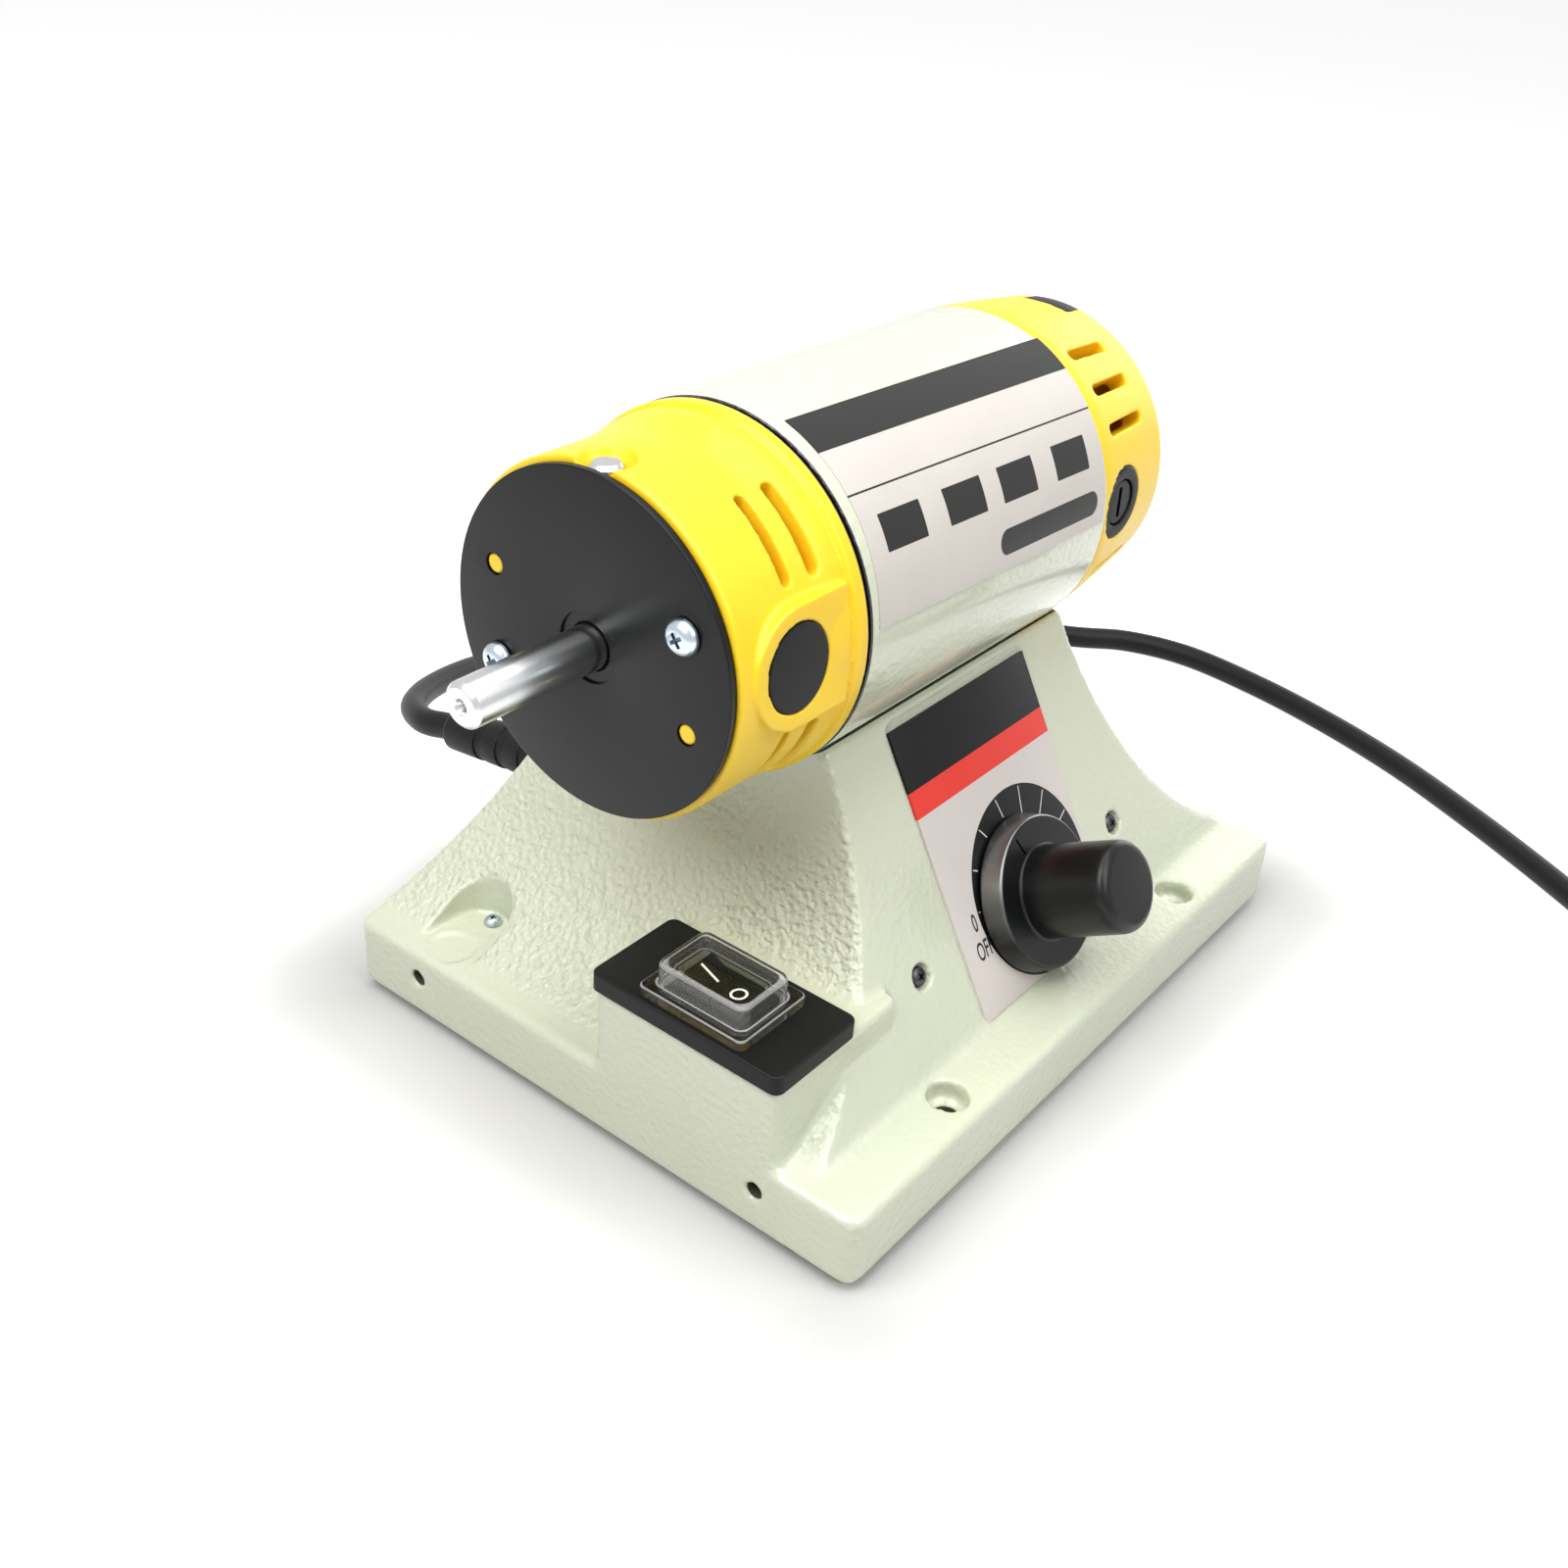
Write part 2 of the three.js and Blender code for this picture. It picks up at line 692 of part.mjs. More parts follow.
function buildControl() {
  const panelHeight = panel.top - panel.bottom;
  const shape = roundedRectangle(panel.centreX, panel.bottom + panelHeight / 2,
    panel.width, panelHeight, panel.cornerRadius);
  const floor = -panel.recessDepth + seatGap;
  const plate = cut(
    prism(shape, floor, floor + panel.thickness, 'z', 6),
    bore('z', control.bushingHole, -overrun, overrun, control.x, control.y),
  );
  piece('control_panel_plate', plate, finishes.label(), slopeGroup);

  const inner = -casting.wall - seatGap;
  const bushingTop = floor + panel.thickness + control.bushingHeight;
  const nutBottom = floor + panel.thickness + seatGap;
  const nutShape = polygon([0, 1, 2, 3, 4, 5].map((i) => [
    control.nutRadius * Math.cos(60 * i * degree),
    control.nutRadius * Math.sin(60 * i * degree),
  ]));
  const tabs = [-1, 0, 1].map((i) => block(
    i * 2 * control.tabWidth - control.tabWidth / 2, i * 2 * control.tabWidth + control.tabWidth / 2,
    -control.bodyRadius - control.tabLength, -control.bodyRadius / 2,
    inner - control.bodyDepth / 2, inner - control.bodyDepth / 2 + control.tabThickness,
  ));
  const pot = cut(
    join(
      rod('z', control.bodyRadius, inner - control.bodyDepth, inner, 0, 0, roundSides / 2),
      rod('z', control.bushingRadius, inner - control.rootLength, bushingTop),
      ...tabs,
    ),
    bore('z', control.shaftRadius + runningGap, inner - control.bodyDepth / 2, bushingTop + overrun),
  );
  const seat = (body) => shifted(body, control.x, control.y, 0);
  piece('potentiometer', seat(pot), finishes.zinc(), slopeGroup);
  const nut = cut(
    prism(nutShape, nutBottom, nutBottom + control.nutHeight, 'z'),
    bore('z', control.bushingRadius + runningGap, -overrun, nutBottom + overrun),
  );
  piece('potentiometer_nut', seat(nut), finishes.steel(), slopeGroup);
  const shaftBottom = inner - control.bodyDepth / 2 + runningGap;
  const shaft = rod('z', control.shaftRadius, shaftBottom, shaftBottom + control.shaftLength);
  piece('potentiometer_shaft', seat(shaft), finishes.brass(), slopeGroup);

  buildKnob(floor + panel.thickness + knob.standOff, shaftBottom + control.shaftLength);

  // Speed control board with its two soldered spacers, behind the sloped wall
  const boardTop = inner - board.depth + casting.wall;
  const [leftX, rightX] = panelScrew.xs;
  const low = panelScrew.y - board.height / 2;
  const high = panelScrew.y + board.height / 2;
  const parts = boardPartShares.map((share) => {
    const [x, y] = [board.height * share.x, panelScrew.y + board.height * share.y];
    const [halfX, halfY] = [(board.height * share.width) / 2, (board.height * share.depth) / 2];
    const top = boardTop + board.height * share.height;
    return block(x - halfX, x + halfX, y - halfY, y + halfY, boardTop - board.thickness / 2, top);
  });
  const holes = panelScrew.xs.map((x) => bore('z', panelScrew.hole, -2 * board.depth, 0, x, panelScrew.y, screwSides));
  const base = block(leftX - board.marginX, rightX + board.marginX, low, high,
    boardTop - board.thickness, boardTop);
  const spacers = panelScrew.xs.map((x) => rod('z', board.spacerRadius, boardTop - board.thickness, inner,
    x, panelScrew.y));
  piece('speed_control_board', cut(join(base, ...parts, ...spacers), ...holes), finishes.board(), slopeGroup);

  panelScrew.xs.forEach((x, i) => {
    const side = ['left', 'right'][i];
    const seatLevel = -panelScrew.counterboreDepth + runningGap;
    const length = seatLevel - boardTop + board.thickness + seatGap;
    const screw = panScrew({ ...panelScrew, shankLength: length });
    piece(`panel_screw_${side}`, shifted(screw, x, panelScrew.y, seatLevel), finishes.blackPlastic(), slopeGroup);
  });
}

// Parts on the board: a heat sink, a capacitor and a choke, as shares of the board's height
const boardPartShares = [
  { x: -1, y: 0, width: 0.62, depth: 0.69, height: 0.42 },
  { x: 1, y: 0.08, width: 0.54, depth: 0.31, height: 0.46 },
  { x: 1.46, y: -0.12, width: 0.23, depth: 0.38, height: 0.35 },
];

// Knob: a wide skirt and a long round grip
const knob = {
  standOff: 0.5,
  skirtRadius: 20.5,
  skirtFaceRadius: 19.6,
  skirtHeight: 6.4,
  gripRadius: 12,
  gripTopRadius: 11.6,
  height: 30.8,
  edge: 2,
  bore: 3.25,
  hollow: 7.5,
  hollowDepth: 9,
  pointerAngle: 110,
  pointerLength: 8,
  pointerWidth: 0.8,
  pointerDepth: 0.4,
};

function buildKnob(bottom, shaftTop) {
  const top = bottom + knob.height;
  const outline = [
    [bottom, 0],
    [bottom, knob.skirtRadius - knob.pointerWidth],
    [bottom + knob.pointerWidth, knob.skirtRadius],
    [bottom + knob.skirtHeight - knob.edge / 2, knob.skirtFaceRadius],
    [bottom + knob.skirtHeight, knob.skirtFaceRadius - knob.edge / 2],
    [bottom + knob.skirtHeight, knob.gripRadius],
    [top - knob.edge, knob.gripTopRadius],
    [top - knob.edge * 0.3, knob.gripTopRadius - knob.edge * 0.3],
    [top, knob.gripTopRadius - knob.edge],
    [top, 0],
  ];
  const face = bottom + knob.skirtHeight;
  const outer = knob.skirtFaceRadius - knob.edge;
  const pointer = block(outer - knob.pointerLength, outer, -knob.pointerWidth / 2, knob.pointerWidth / 2,
    face - knob.pointerDepth, face + overrun).rotate([0, 0, knob.pointerAngle]);
  const keepGrip = rod('z', knob.gripRadius + knob.pointerWidth, face - overrun, top + overrun, 0, 0, roundSides);
  const body = cut(
    turned('z', outline),
    rod('z', knob.hollow, bottom - overrun, bottom + knob.hollowDepth, 0, 0, smallSides),
    bore('z', knob.bore, bottom, shaftTop + seatGap, 0, 0, smallSides),
    pointer.subtract(keepGrip),
  );
  piece('speed_knob', shifted(body, control.x, control.y, 0), finishes.blackPlastic(), slopeGroup);
}

function buildSwitch() {
  const plateBottom = casting.lift + switchBlock.top + seatGap;
  const plateTop = casting.lift + switchBlock.top + switchPlate.thickness;
  const centreX = (switchBlock.front + switchBlock.rear) / 2;
  const centreY = (switchBlock.near + switchBlock.far) / 2;
  const sizeX = switchBlock.rear - switchBlock.front + 2 * switchPlate.overhang;
  const sizeY = switchBlock.far - switchBlock.near + 2 * switchPlate.overhang;
  const bevel = switchPlate.bevel;
  const lower = prism(roundedRectangle(centreX, centreY, sizeX, sizeY, switchPlate.cornerRadius),
    plateBottom, plateTop - bevel, 'z', 4);
  const upper = prism(roundedRectangle(centreX, centreY, sizeX - 2 * bevel, sizeY - 2 * bevel,
    switchPlate.cornerRadius - bevel), plateTop - 2 * bevel, plateTop, 'z', 4);
  const halfX = rocker.bodyX / 2 + seatGap;
  const halfY = rocker.bodyY / 2 + seatGap;
  const window = block(rocker.x - halfX, rocker.x + halfX, rocker.y - halfY, rocker.y + halfY,
    plateBottom - overrun, plateTop + overrun);
  piece('switch_plate', cut(join(lower, upper), window), finishes.blackPlastic());

  // Switch body: a bezel on the plate and a box through it
  const bezelBottom = plateTop + seatGap;
  const bezelTop = bezelBottom + rocker.bezelHeight;
  const bodyBottom = plateTop - rocker.bodyDepth;
  const pivotZ = bezelTop - rocker.pivotDepth;
  const bezel = prism(roundedRectangle(rocker.x, rocker.y, rocker.bezelX, rocker.bezelY, 1),
    bezelBottom, bezelTop, 'z', 3);
  const box = block(rocker.x - rocker.bodyX / 2, rocker.x + rocker.bodyX / 2,
    rocker.y - rocker.bodyY / 2, rocker.y + rocker.bodyY / 2, bodyBottom, bezelTop - bevel);
  const wellX = rocker.bodyX / 2 - rocker.wall;
  const wellY = rocker.bodyY / 2 - rocker.wall / 2;
  const wellDepth = rocker.paddleDepth + rocker.wellMargin;
  const well = block(rocker.x - wellX, rocker.x + wellX, rocker.y - wellY, rocker.y + wellY,
    bezelTop - wellDepth, bezelTop + overrun);
  const pins = rod('x', rocker.pivotRadius - runningGap, rocker.x - wellX - rocker.wall / 2,
    rocker.x + wellX + rocker.wall / 2, rocker.y, pivotZ, screwSides);
  piece('rocker_switch_body', join(cut(join(bezel, box), well), pins), finishes.blackPlastic());

  // Rocker: two faces that meet in a shallow valley over the pivot pin
  const half = rocker.bodyX / 2 - rocker.wall - rocker.paddleGap;
  const reach = wellY - rocker.paddleGap;
  const rise = rocker.paddleRise;
  const drop = rocker.paddleDepth - rise - rocker.pivotRadius;
  const tuck = reach * rockerShares.tuck;
  const lip = rise * rockerShares.lip;
  const profile = polygon([
    [-tuck, -drop], [tuck, -drop], [reach - lip, -lip], [reach - lip / 2, rise],
    [0, rise * rockerShares.valley], [-reach + lip / 2, rise], [-reach + lip, -lip],
  ]);
  const paddle = cut(
    prism(profile, -half, half, 'x'),
    bore('x', rocker.pivotRadius + runningGap, -half - overrun, half + overrun, 0, 0, screwSides),
    block(-half - overrun, half + overrun, -rocker.pivotRadius - runningGap, rocker.pivotRadius + runningGap,
      -drop - overrun, 0),
  );
  const paddleMesh = piece('rocker_paddle', paddle, finishes.blackPlastic());
  paddleMesh.position.set(rocker.x, rocker.y, pivotZ);
  paddleMesh.rotation.x = (rocker.throw / 2) * degree;

  // Clear splash cover: a flange on the plate and a soft dome
  const flange = prism(roundedRectangle(0, 0, cover.flangeX, cover.flangeY, cover.wall), 0,
    cover.flangeHeight, 'z', 3);
  const dome = softBox(cover.domeX, cover.domeY, cover.height, cover.round, cover.cornerRadius);
  const hollow = softBox(cover.domeX - 2 * cover.wall, cover.domeY - 2 * cover.wall,
    cover.height - cover.wall, cover.round, cover.cornerRadius - cover.wall / 2);
  const shell = cut(join(flange, dome), hollow, shifted(hollow, 0, 0, -cover.wall));
  piece('switch_cover', shifted(shell, rocker.x, rocker.y, plateTop + seatGap), finishes.clearPlastic());
}

// Box with a domed top: its vertical edges and its top edge are round, and it stands on 0
function softBox(width, length, height, round, radius) {
  const shape = roundedRectangle(0, 0, width - 2 * round, length - 2 * round, radius);
  const geometry = new THREE.ExtrudeGeometry(shape, {
    depth: height,
    bevelThickness: round,
    bevelSize: round,
    bevelSegments: 2,
    curveSegments: 2,
  });
  geometry.translate(0, 0, -round);
  const keep = block(-width, width, -length, length, 0, height + overrun);
  return solid(geometry).intersect(keep);
}

// Motor pieces, in the frame of the motor axis
const frontRim = motor.shellFront - motor.seam;
const frontFace = frontRim - 38;
const frontRadius = motor.shellRadius - 2.8;
const frontHousing = {
  front: frontFace,
  faceThickness: 3.6,
  radius: frontRadius,
  flareStart: frontRim - 16.1,
  flareEnd: frontRim - 8.1,
  flareRadius: frontRadius + 1.7,
  rimStart: frontRim - 4.3,
  rimRadius: frontRadius + 2.6,
  rimEnd: frontRim,
  edge: 0.6,
  wall: 3,
  shaftHole: 8.1,
  bearingBossWall: 3,
  slotXs: [frontFace + 18.1, frontFace + 25.9],
  slotWidth: 3,
  slotFrom: 25.5,
  slotTo: 51.5,
  padAngle: 5,
  padX: frontFace + 16.5,
  padEnd: frontRim - 5.8,
  padHalfHeight: 13.4,
  padReach: frontRadius + 0.9,
  plugRadius: 9.6,
  plugThickness: 3,
};
const disc = {
  thickness: 1.8,
  radius: frontRadius - 1.36,
  hole: 6.2,
  pinX: 27,
  pinZ: 9.6,
  pinRadius: 2.3,
  pinHole: 2.7,
};
const discScrew = {
  y: -25.9,
  z: 12.1,
  headRadius: 4,
  headHeight: 2.8,
  shankRadius: 1.7,
  shankLength: 12,
  bossRadius: 4.4,
  bossLength: 14,
};
const lockPin = {
  x: frontFace + 4.5,
  angle: 91,
  radius: 3.8,
  top: frontRadius - 1.9,
  shoulder: 24,
  tipRadius: 2,
  tip: 6.6,
  notchHalfWidth: 6,
  notchFloor: frontRadius - 3.6,
  guideRadius: 4.3,
  collarFrom: frontRadius - 10.5,
  collarTo: frontRadius - 9,
  socketRadius: 2.2,
  socketFloor: 3.2,
};
const frontBearing = { from: frontFace + 10.4, to: frontFace + 19.4, outer: 15 };
const rearFace = motor.shellRear + motor.seam;
const rearCurve = rearFace + 34.2;
const rearBearing = { from: rearCurve - 11, to: rearCurve - 4, outer: 11 };
const spindle = {
  tip: frontFace - 36.66,
  radius: 5,
  chamfer: 1,
  centreHole: 1.5,
  centreDepth: 3.5,
  bodyFrom: frontBearing.to + 0.3,
  bodyRadius: 6,
  rearFrom: rearBearing.from - 2.5,
  rearRadius: 4,
  rearEnd: rearBearing.to + 1.5,
};
const fan = {
  from: motor.shellFront + 3.6,
  backThickness: 1.6,
  radius: motor.shellRadius - 9.3,
  hubRadius: 9.5,
  hubLength: 9,
  bladeHeight: 8,
  bladeThickness: 1.3,
  blades: 8,
  bladeStart: 14,
};
const statorBack = motor.shellRadius - 12.3;
const rotorRadius = statorBack - 8.3;
const core = {
  from: motor.shellFront + 28.6,
  to: motor.shellRear - 19,
  rotorRadius,
  slots: 8,
  slotWidth: 4.2,
  slotDepth: 8,
  airGap: 0.8,
  statorBack,
  poleHalfAngle: 42,
  poleClearAngle: 1.5,
  coilHalfAngle: 66,
  coilGap: 0.6,
  coilReach: 9,
};
const winding = { endLength: 8, endOuter: rotorRadius - 1.3, endInner: 8.4, barGap: 0.4 };
const brushX = rearFace + 10.7;
const commutator = { from: brushX - 7, to: brushX + 7, radius: 12, riserRadius: 13.6, riserLength: 2.4 };

const rearHousing = {
  front: rearFace,
  shoulder: rearFace + 3.7,
  shoulderRadius: motor.shellRadius - 0.3,
  middle: rearFace + 17.7,
  middleRadius: motor.shellRadius - 1.7,
  curveStart: rearCurve,
  curveRadius: motor.shellRadius - 3.7,
  curve: 5,
  curveSteps: 3,
  wall: 3,
  endWall: 3.2,
  bearingBossWall: 3,
  slotFrom: rearFace + 6.1,
  slotTo: rearFace + 21.5,
  slotWidth: 3,
  slotAngles: [27, 41.5, 56],
  plugX: rearFace + 23.7,
  plugAngle: 96,
  plugRadius: 6.2,
  plugThickness: 2.6,
};
const brush = {
  x: brushX,
  angle: 1.5,
  bossRadius: 10.4,
  bossFrom: 17,
  flangeRadius: 9.2,
  flangeThickness: 2.2,
  flangeFace: rearHousing.middleRadius - 0.2,
  tubeRadius: 6.9,
  tubeFrom: 15,
  channelX: 8.4,
  channelZ: 6.4,
  carbonX: 8,
  carbonZ: 6,
  carbonLength: 15,
  springRadius: 2.9,
  springWall: 0.8,
  capRadius: 5.7,
  capThickness: 4,
  capRecess: 0.4,
  slotWidth: 1.6,
  slotLength: 8,
  slotDepth: 1.4,
};
const ratingLabel = {
  centreX: -10.4,
  centreAngle: 36.6,
  width: 93.6,
  height: 50,
  tilt: 2.4,
  thickness: 0.25,
  offset: 0.2,
};

// Cutter for a slot that runs around the motor, with round ends
function aroundSlot(x, width, fromAngle, toAngle) {
  const far = motor.shellRadius + overrun;
  const near = motor.shellRadius / 2;
  const middle = (fromAngle + toAngle) / 2;
  const half = (toAngle - fromAngle) / 2;
  const reach = far * Math.tan(half * degree);
  const wedge = prism(polygon([[0, 0], [-far, -reach], [-far, reach]]), x - width / 2, x + width / 2, 'x')
    .intersect(block(x - width, x + width, -far, -near, -far, far));
  const end = rod('y', width / 2, -far, -near, x, 0, screwSides);
  return join(aroundMotor(wedge, middle), aroundMotor(end, fromAngle), aroundMotor(end, toAngle));
}

function buildFrontHousing() {
  const f = frontHousing;
  const inner = f.front + f.faceThickness;
  const innerRadius = f.radius - f.wall;
  const outerBody = turned('x', [
    [f.front, 0], [f.front, f.radius - f.edge], [f.front + f.edge, f.radius],
    [f.flareStart, f.radius], [f.flareEnd, f.flareRadius], [f.rimStart, f.flareRadius],
    [f.rimStart, f.rimRadius], [f.rimEnd, f.rimRadius], [f.rimEnd, 0],
  ]);
  const hollow = rod('x', innerRadius, inner, f.rimEnd + overrun, 0, 0, roundSides);
  const padShape = new THREE.Shape();
  padShape.moveTo(f.padX, -f.padHalfHeight);
  padShape.lineTo(f.padEnd, -f.padHalfHeight);
  padShape.lineTo(f.padEnd, f.padHalfHeight);
  padShape.lineTo(f.padX, f.padHalfHeight);
  padShape.absarc(f.padX, 0, f.padHalfHeight, 90 * degree, 270 * degree);
  // A pad drawn in X and Z, thick along Y
  const padSolid = prism(padShape, f.padReach - 2 * f.wall - f.edge, f.padReach, 'z', 16).rotate([90, 0, 0]);
  const plugSeat = bore('y', f.plugRadius + runningGap, -f.padReach - overrun,
    -f.padReach + f.plugThickness + seatGap, f.padX, 0, roundSides / 2);
  const plugHole = rod('y', f.plugRadius - f.wall / 2, -f.padReach - overrun, -innerRadius / 2, f.padX, 0, roundSides / 2);
  let body = cut(outerBody, hollow);
  for (const turn of [0, 180]) body = join(body, aroundMotor(padSolid, f.padAngle + turn));

  // Bearing seat, screw bosses and guide of the lock pin
  const seatOuter = frontBearing.outer + f.bearingBossWall;
  const boss = rod('x', seatOuter, inner - f.edge, frontBearing.to, 0, 0, hiddenSides);
  body = join(body, boss);
  for (const side of [-1, 1]) {
    const y = side * discScrew.y;
    const z = side * discScrew.z;
    body = join(body, rod('x', discScrew.bossRadius, f.front + f.edge, f.front + discScrew.bossLength, y, z));
    const pinY = side * disc.pinX;
    const pinZ = side * disc.pinZ;
    body = join(body, rod('x', disc.pinRadius, f.front - disc.thickness, inner, pinY, pinZ));
  }
  const guide = rod('y', lockPin.guideRadius + f.wall / 2, -innerRadius - f.wall / 2, -seatOuter + f.wall / 2, lockPin.x, 0);
  body = join(body, aroundMotor(guide, lockPin.angle).intersect(block(
    f.front + f.edge, f.rimEnd, -f.radius, f.radius, -f.radius, f.radius,
  )));
  body = cut(
    body,
    bore('x', frontBearing.outer + runningGap, frontBearing.from - seatGap, frontBearing.to + overrun, 0, 0, hiddenSides),
    rod('x', f.shaftHole, f.front - overrun, frontBearing.to, 0, 0, roundSides / 2),
  );
  for (const side of [-1, 1]) {
    body = cut(body, bore('x', discScrew.shankRadius + runningGap, f.front - overrun,
      f.front + discScrew.shankLength, side * discScrew.y, side * discScrew.z, screwSides));
  }
  body = cut(body, aroundMotor(plugSeat, f.padAngle), aroundMotor(plugHole, f.padAngle));
  for (const turn of [0, 180]) {
    for (const x of f.slotXs) {
      body = cut(
        body,
        aroundSlot(x, f.slotWidth, f.padAngle + turn + f.slotFrom, f.padAngle + turn + f.slotTo),
        aroundSlot(x, f.slotWidth, f.padAngle + turn - f.slotTo, f.padAngle + turn - f.slotFrom),
      );
    }
  }
  const notch = join(
    rod('y', lockPin.notchHalfWidth, -f.radius - overrun, -lockPin.notchFloor, lockPin.x, 0),
    block(f.front - overrun, lockPin.x, -f.radius - overrun, -lockPin.notchFloor,
      -lockPin.notchHalfWidth, lockPin.notchHalfWidth),
  );
  const pinBore = bore('y', lockPin.radius + runningGap, -f.radius - overrun, -lockPin.shoulder, lockPin.x, 0);
  const tipBore = bore('y', lockPin.tipRadius + runningGap, -lockPin.shoulder, 0, lockPin.x, 0);
  const springRoom = bore('y', lockPin.guideRadius, -lockPin.notchFloor + f.wall / 2,
    -seatOuter - f.wall / 2, lockPin.x, 0);
  body = cut(body, ...[notch, pinBore, tipBore, springRoom].map((tool) => aroundMotor(tool, lockPin.angle)));
  piece('front_housing', body, finishes.yellowPlastic(), motorGroup);

  const plug = turned('z', [
    [0, 0], [0, f.plugRadius], [f.plugThickness - f.edge / 2, f.plugRadius],
    [f.plugThickness, f.plugRadius - f.edge / 2], [f.plugThickness, 0],
  ], roundSides / 2).rotate([90, 0, 0]);
  const seated = shifted(plug, f.padX, -f.padReach + f.plugThickness, 0);
  piece('front_side_plug', aroundMotor(seated, f.padAngle), finishes.blackPlastic(), motorGroup);

  // Black face disc with a clearance hole for the spindle, and its screws
  const rear = f.front - seatGap;
  let plate = rod('x', disc.radius, rear - disc.thickness, rear, 0, 0, roundSides);
  plate = cut(plate, rod('x', disc.hole, rear - overrun, rear + overrun, 0, 0, roundSides / 2));
  for (const side of [-1, 1]) {
    plate = cut(
      plate,
      bore('x', discScrew.shankRadius + seatGap, rear - overrun, rear + overrun, side * discScrew.y, side * discScrew.z),
      bore('x', disc.pinHole, rear - overrun, rear + overrun, side * disc.pinX, side * disc.pinZ),
    );
  }
  piece('face_disc', plate, finishes.blackPlastic(), motorGroup);
  const screw = panScrew(discScrew).rotate([0, -90, 0]);
  ['knob_side', 'cord_side'].forEach((side, i) => {
    const way = 1 - 2 * i;
    const seated = shifted(screw, rear - disc.thickness - runningGap, way * discScrew.y, way * discScrew.z);
    piece(`disc_screw_${side}`, seated, finishes.zinc(), motorGroup);
  });

  // Spring-loaded pin that locks the spindle while a wheel is changed
  const dome = lockPin.radius / 3;
  const pin = join(
    turned('z', [
      [lockPin.tip, 0], [lockPin.tip, lockPin.tipRadius], [lockPin.shoulder, lockPin.tipRadius],
      [lockPin.shoulder, lockPin.radius], [lockPin.top - dome, lockPin.radius],
      [lockPin.top, lockPin.radius - dome], [lockPin.top, 0],
    ], smallSides),
    rod('z', lockPin.guideRadius - runningGap, lockPin.collarFrom, lockPin.collarTo),
  );
  const upright = shifted(pin.rotate([90, 0, 0]), lockPin.x, 0, 0);
  piece('spindle_lock_pin', aroundMotor(upright, lockPin.angle), finishes.steel(), motorGroup);
}

function buildMotorMiddle() {
  const inner = motor.shellRadius - motor.shellWall;
  let shell = ring('x', inner, motor.shellRadius, motor.shellFront, motor.shellRear, roundSides);
  for (const x of saddleScrews.xs) {
    shell = cut(shell, bore('z', saddleScrews.hole, -motor.shellRadius - overrun, 0, x, 0, screwSides));
  }
  piece('motor_shell', shell, finishes.hammerPaint(), motorGroup);
  piece('rating_label', labelSheet(), finishes.label(), motorGroup);

  // Stator: a ring with two poles, at the top and the bottom
  const poleInner = core.rotorRadius + core.airGap;
  const statorOuter = inner - seatGap;
  let stator = ring('x', core.statorBack, statorOuter, core.from, core.to, hiddenSides + headSides);
  const poleRing = ring('x', poleInner, core.statorBack + seatGap, core.from, core.to, hiddenSides);
  const poleWedge = sectorPrism(core.poleHalfAngle, core.from, core.to, statorOuter);
  stator = join(stator, poleRing.intersect(join(poleWedge, poleWedge.rotate([180, 0, 0]))));
  for (const x of saddleScrews.xs) {
    stator = cut(stator, bore('z', saddleScrews.hole, -motor.shellRadius,
      -statorOuter + saddleScrews.reach, x, 0, screwSides));
  }
  piece('stator_core', stator, finishes.lamination(), motorGroup);

  // Field coils: saddle loops around each pole
  const coilRing = ring('x', poleInner + core.coilGap, core.statorBack - core.coilGap,
    core.from - core.coilReach, core.to + core.coilReach, hiddenSides);
  const coilWedge = sectorPrism(core.coilHalfAngle, core.from - core.coilReach, core.to + core.coilReach, statorOuter);
  const poleKeep = sectorPrism(core.poleHalfAngle + core.poleClearAngle, core.from - core.coilGap, core.to + core.coilGap, statorOuter);
  const coil = cut(coilRing.intersect(coilWedge), poleKeep);
  piece('field_coil_top', coil, finishes.copper(), motorGroup);
  piece('field_coil_bottom', coil.rotate([180, 0, 0]), finishes.copper(), motorGroup);

  // Hold-down screws
  const headTop = axisZ - motor.shellRadius - seatGap - pedestal.crownWall - seatGap;
  const shankTop = axisZ - statorOuter + saddleScrews.reach - seatGap;
  const screw = panScrew({ ...saddleScrews, shankLength: shankTop - headTop }).rotate([180, 0, 0]);
  ['front', 'rear'].forEach((side, i) => {
    piece(`motor_screw_${side}`, shifted(screw, saddleScrews.xs[i], 0, headTop), finishes.zinc());
  });
}

// Wedge about the motor axis, centred on +Z
function sectorPrism(halfAngle, from, to, radius) {
  const far = radius * 2;
  const points = [[0, 0]];
  const steps = 6;
  for (let i = 0; i <= steps; i += 1) {
    const angle = (90 - halfAngle + (2 * halfAngle * i) / steps) * degree;
    points.push([far * Math.cos(angle), far * Math.sin(angle)]);
  }
  return prism(polygon(points), from, to, 'x');
}

// Label: a thin sheet wrapped on the shell, turned a little as in the photograph
function labelSheet() {
  const l = ratingLabel;
  const low = motor.shellRadius + l.offset;
  const half = l.width;
  const sheet = ring('x', low, low + l.thickness, l.centreX - half, l.centreX + half);
  const chord = 2 * motor.shellRadius * Math.sin(l.height / (2 * motor.shellRadius));
  const outline = block(-l.width / 2, l.width / 2, -low - overrun, -low / 2, -chord / 2, chord / 2)
    .rotate([0, l.tilt, 0]);
  return sheet.intersect(aroundMotor(shifted(outline, l.centreX, 0, 0), l.centreAngle));
}

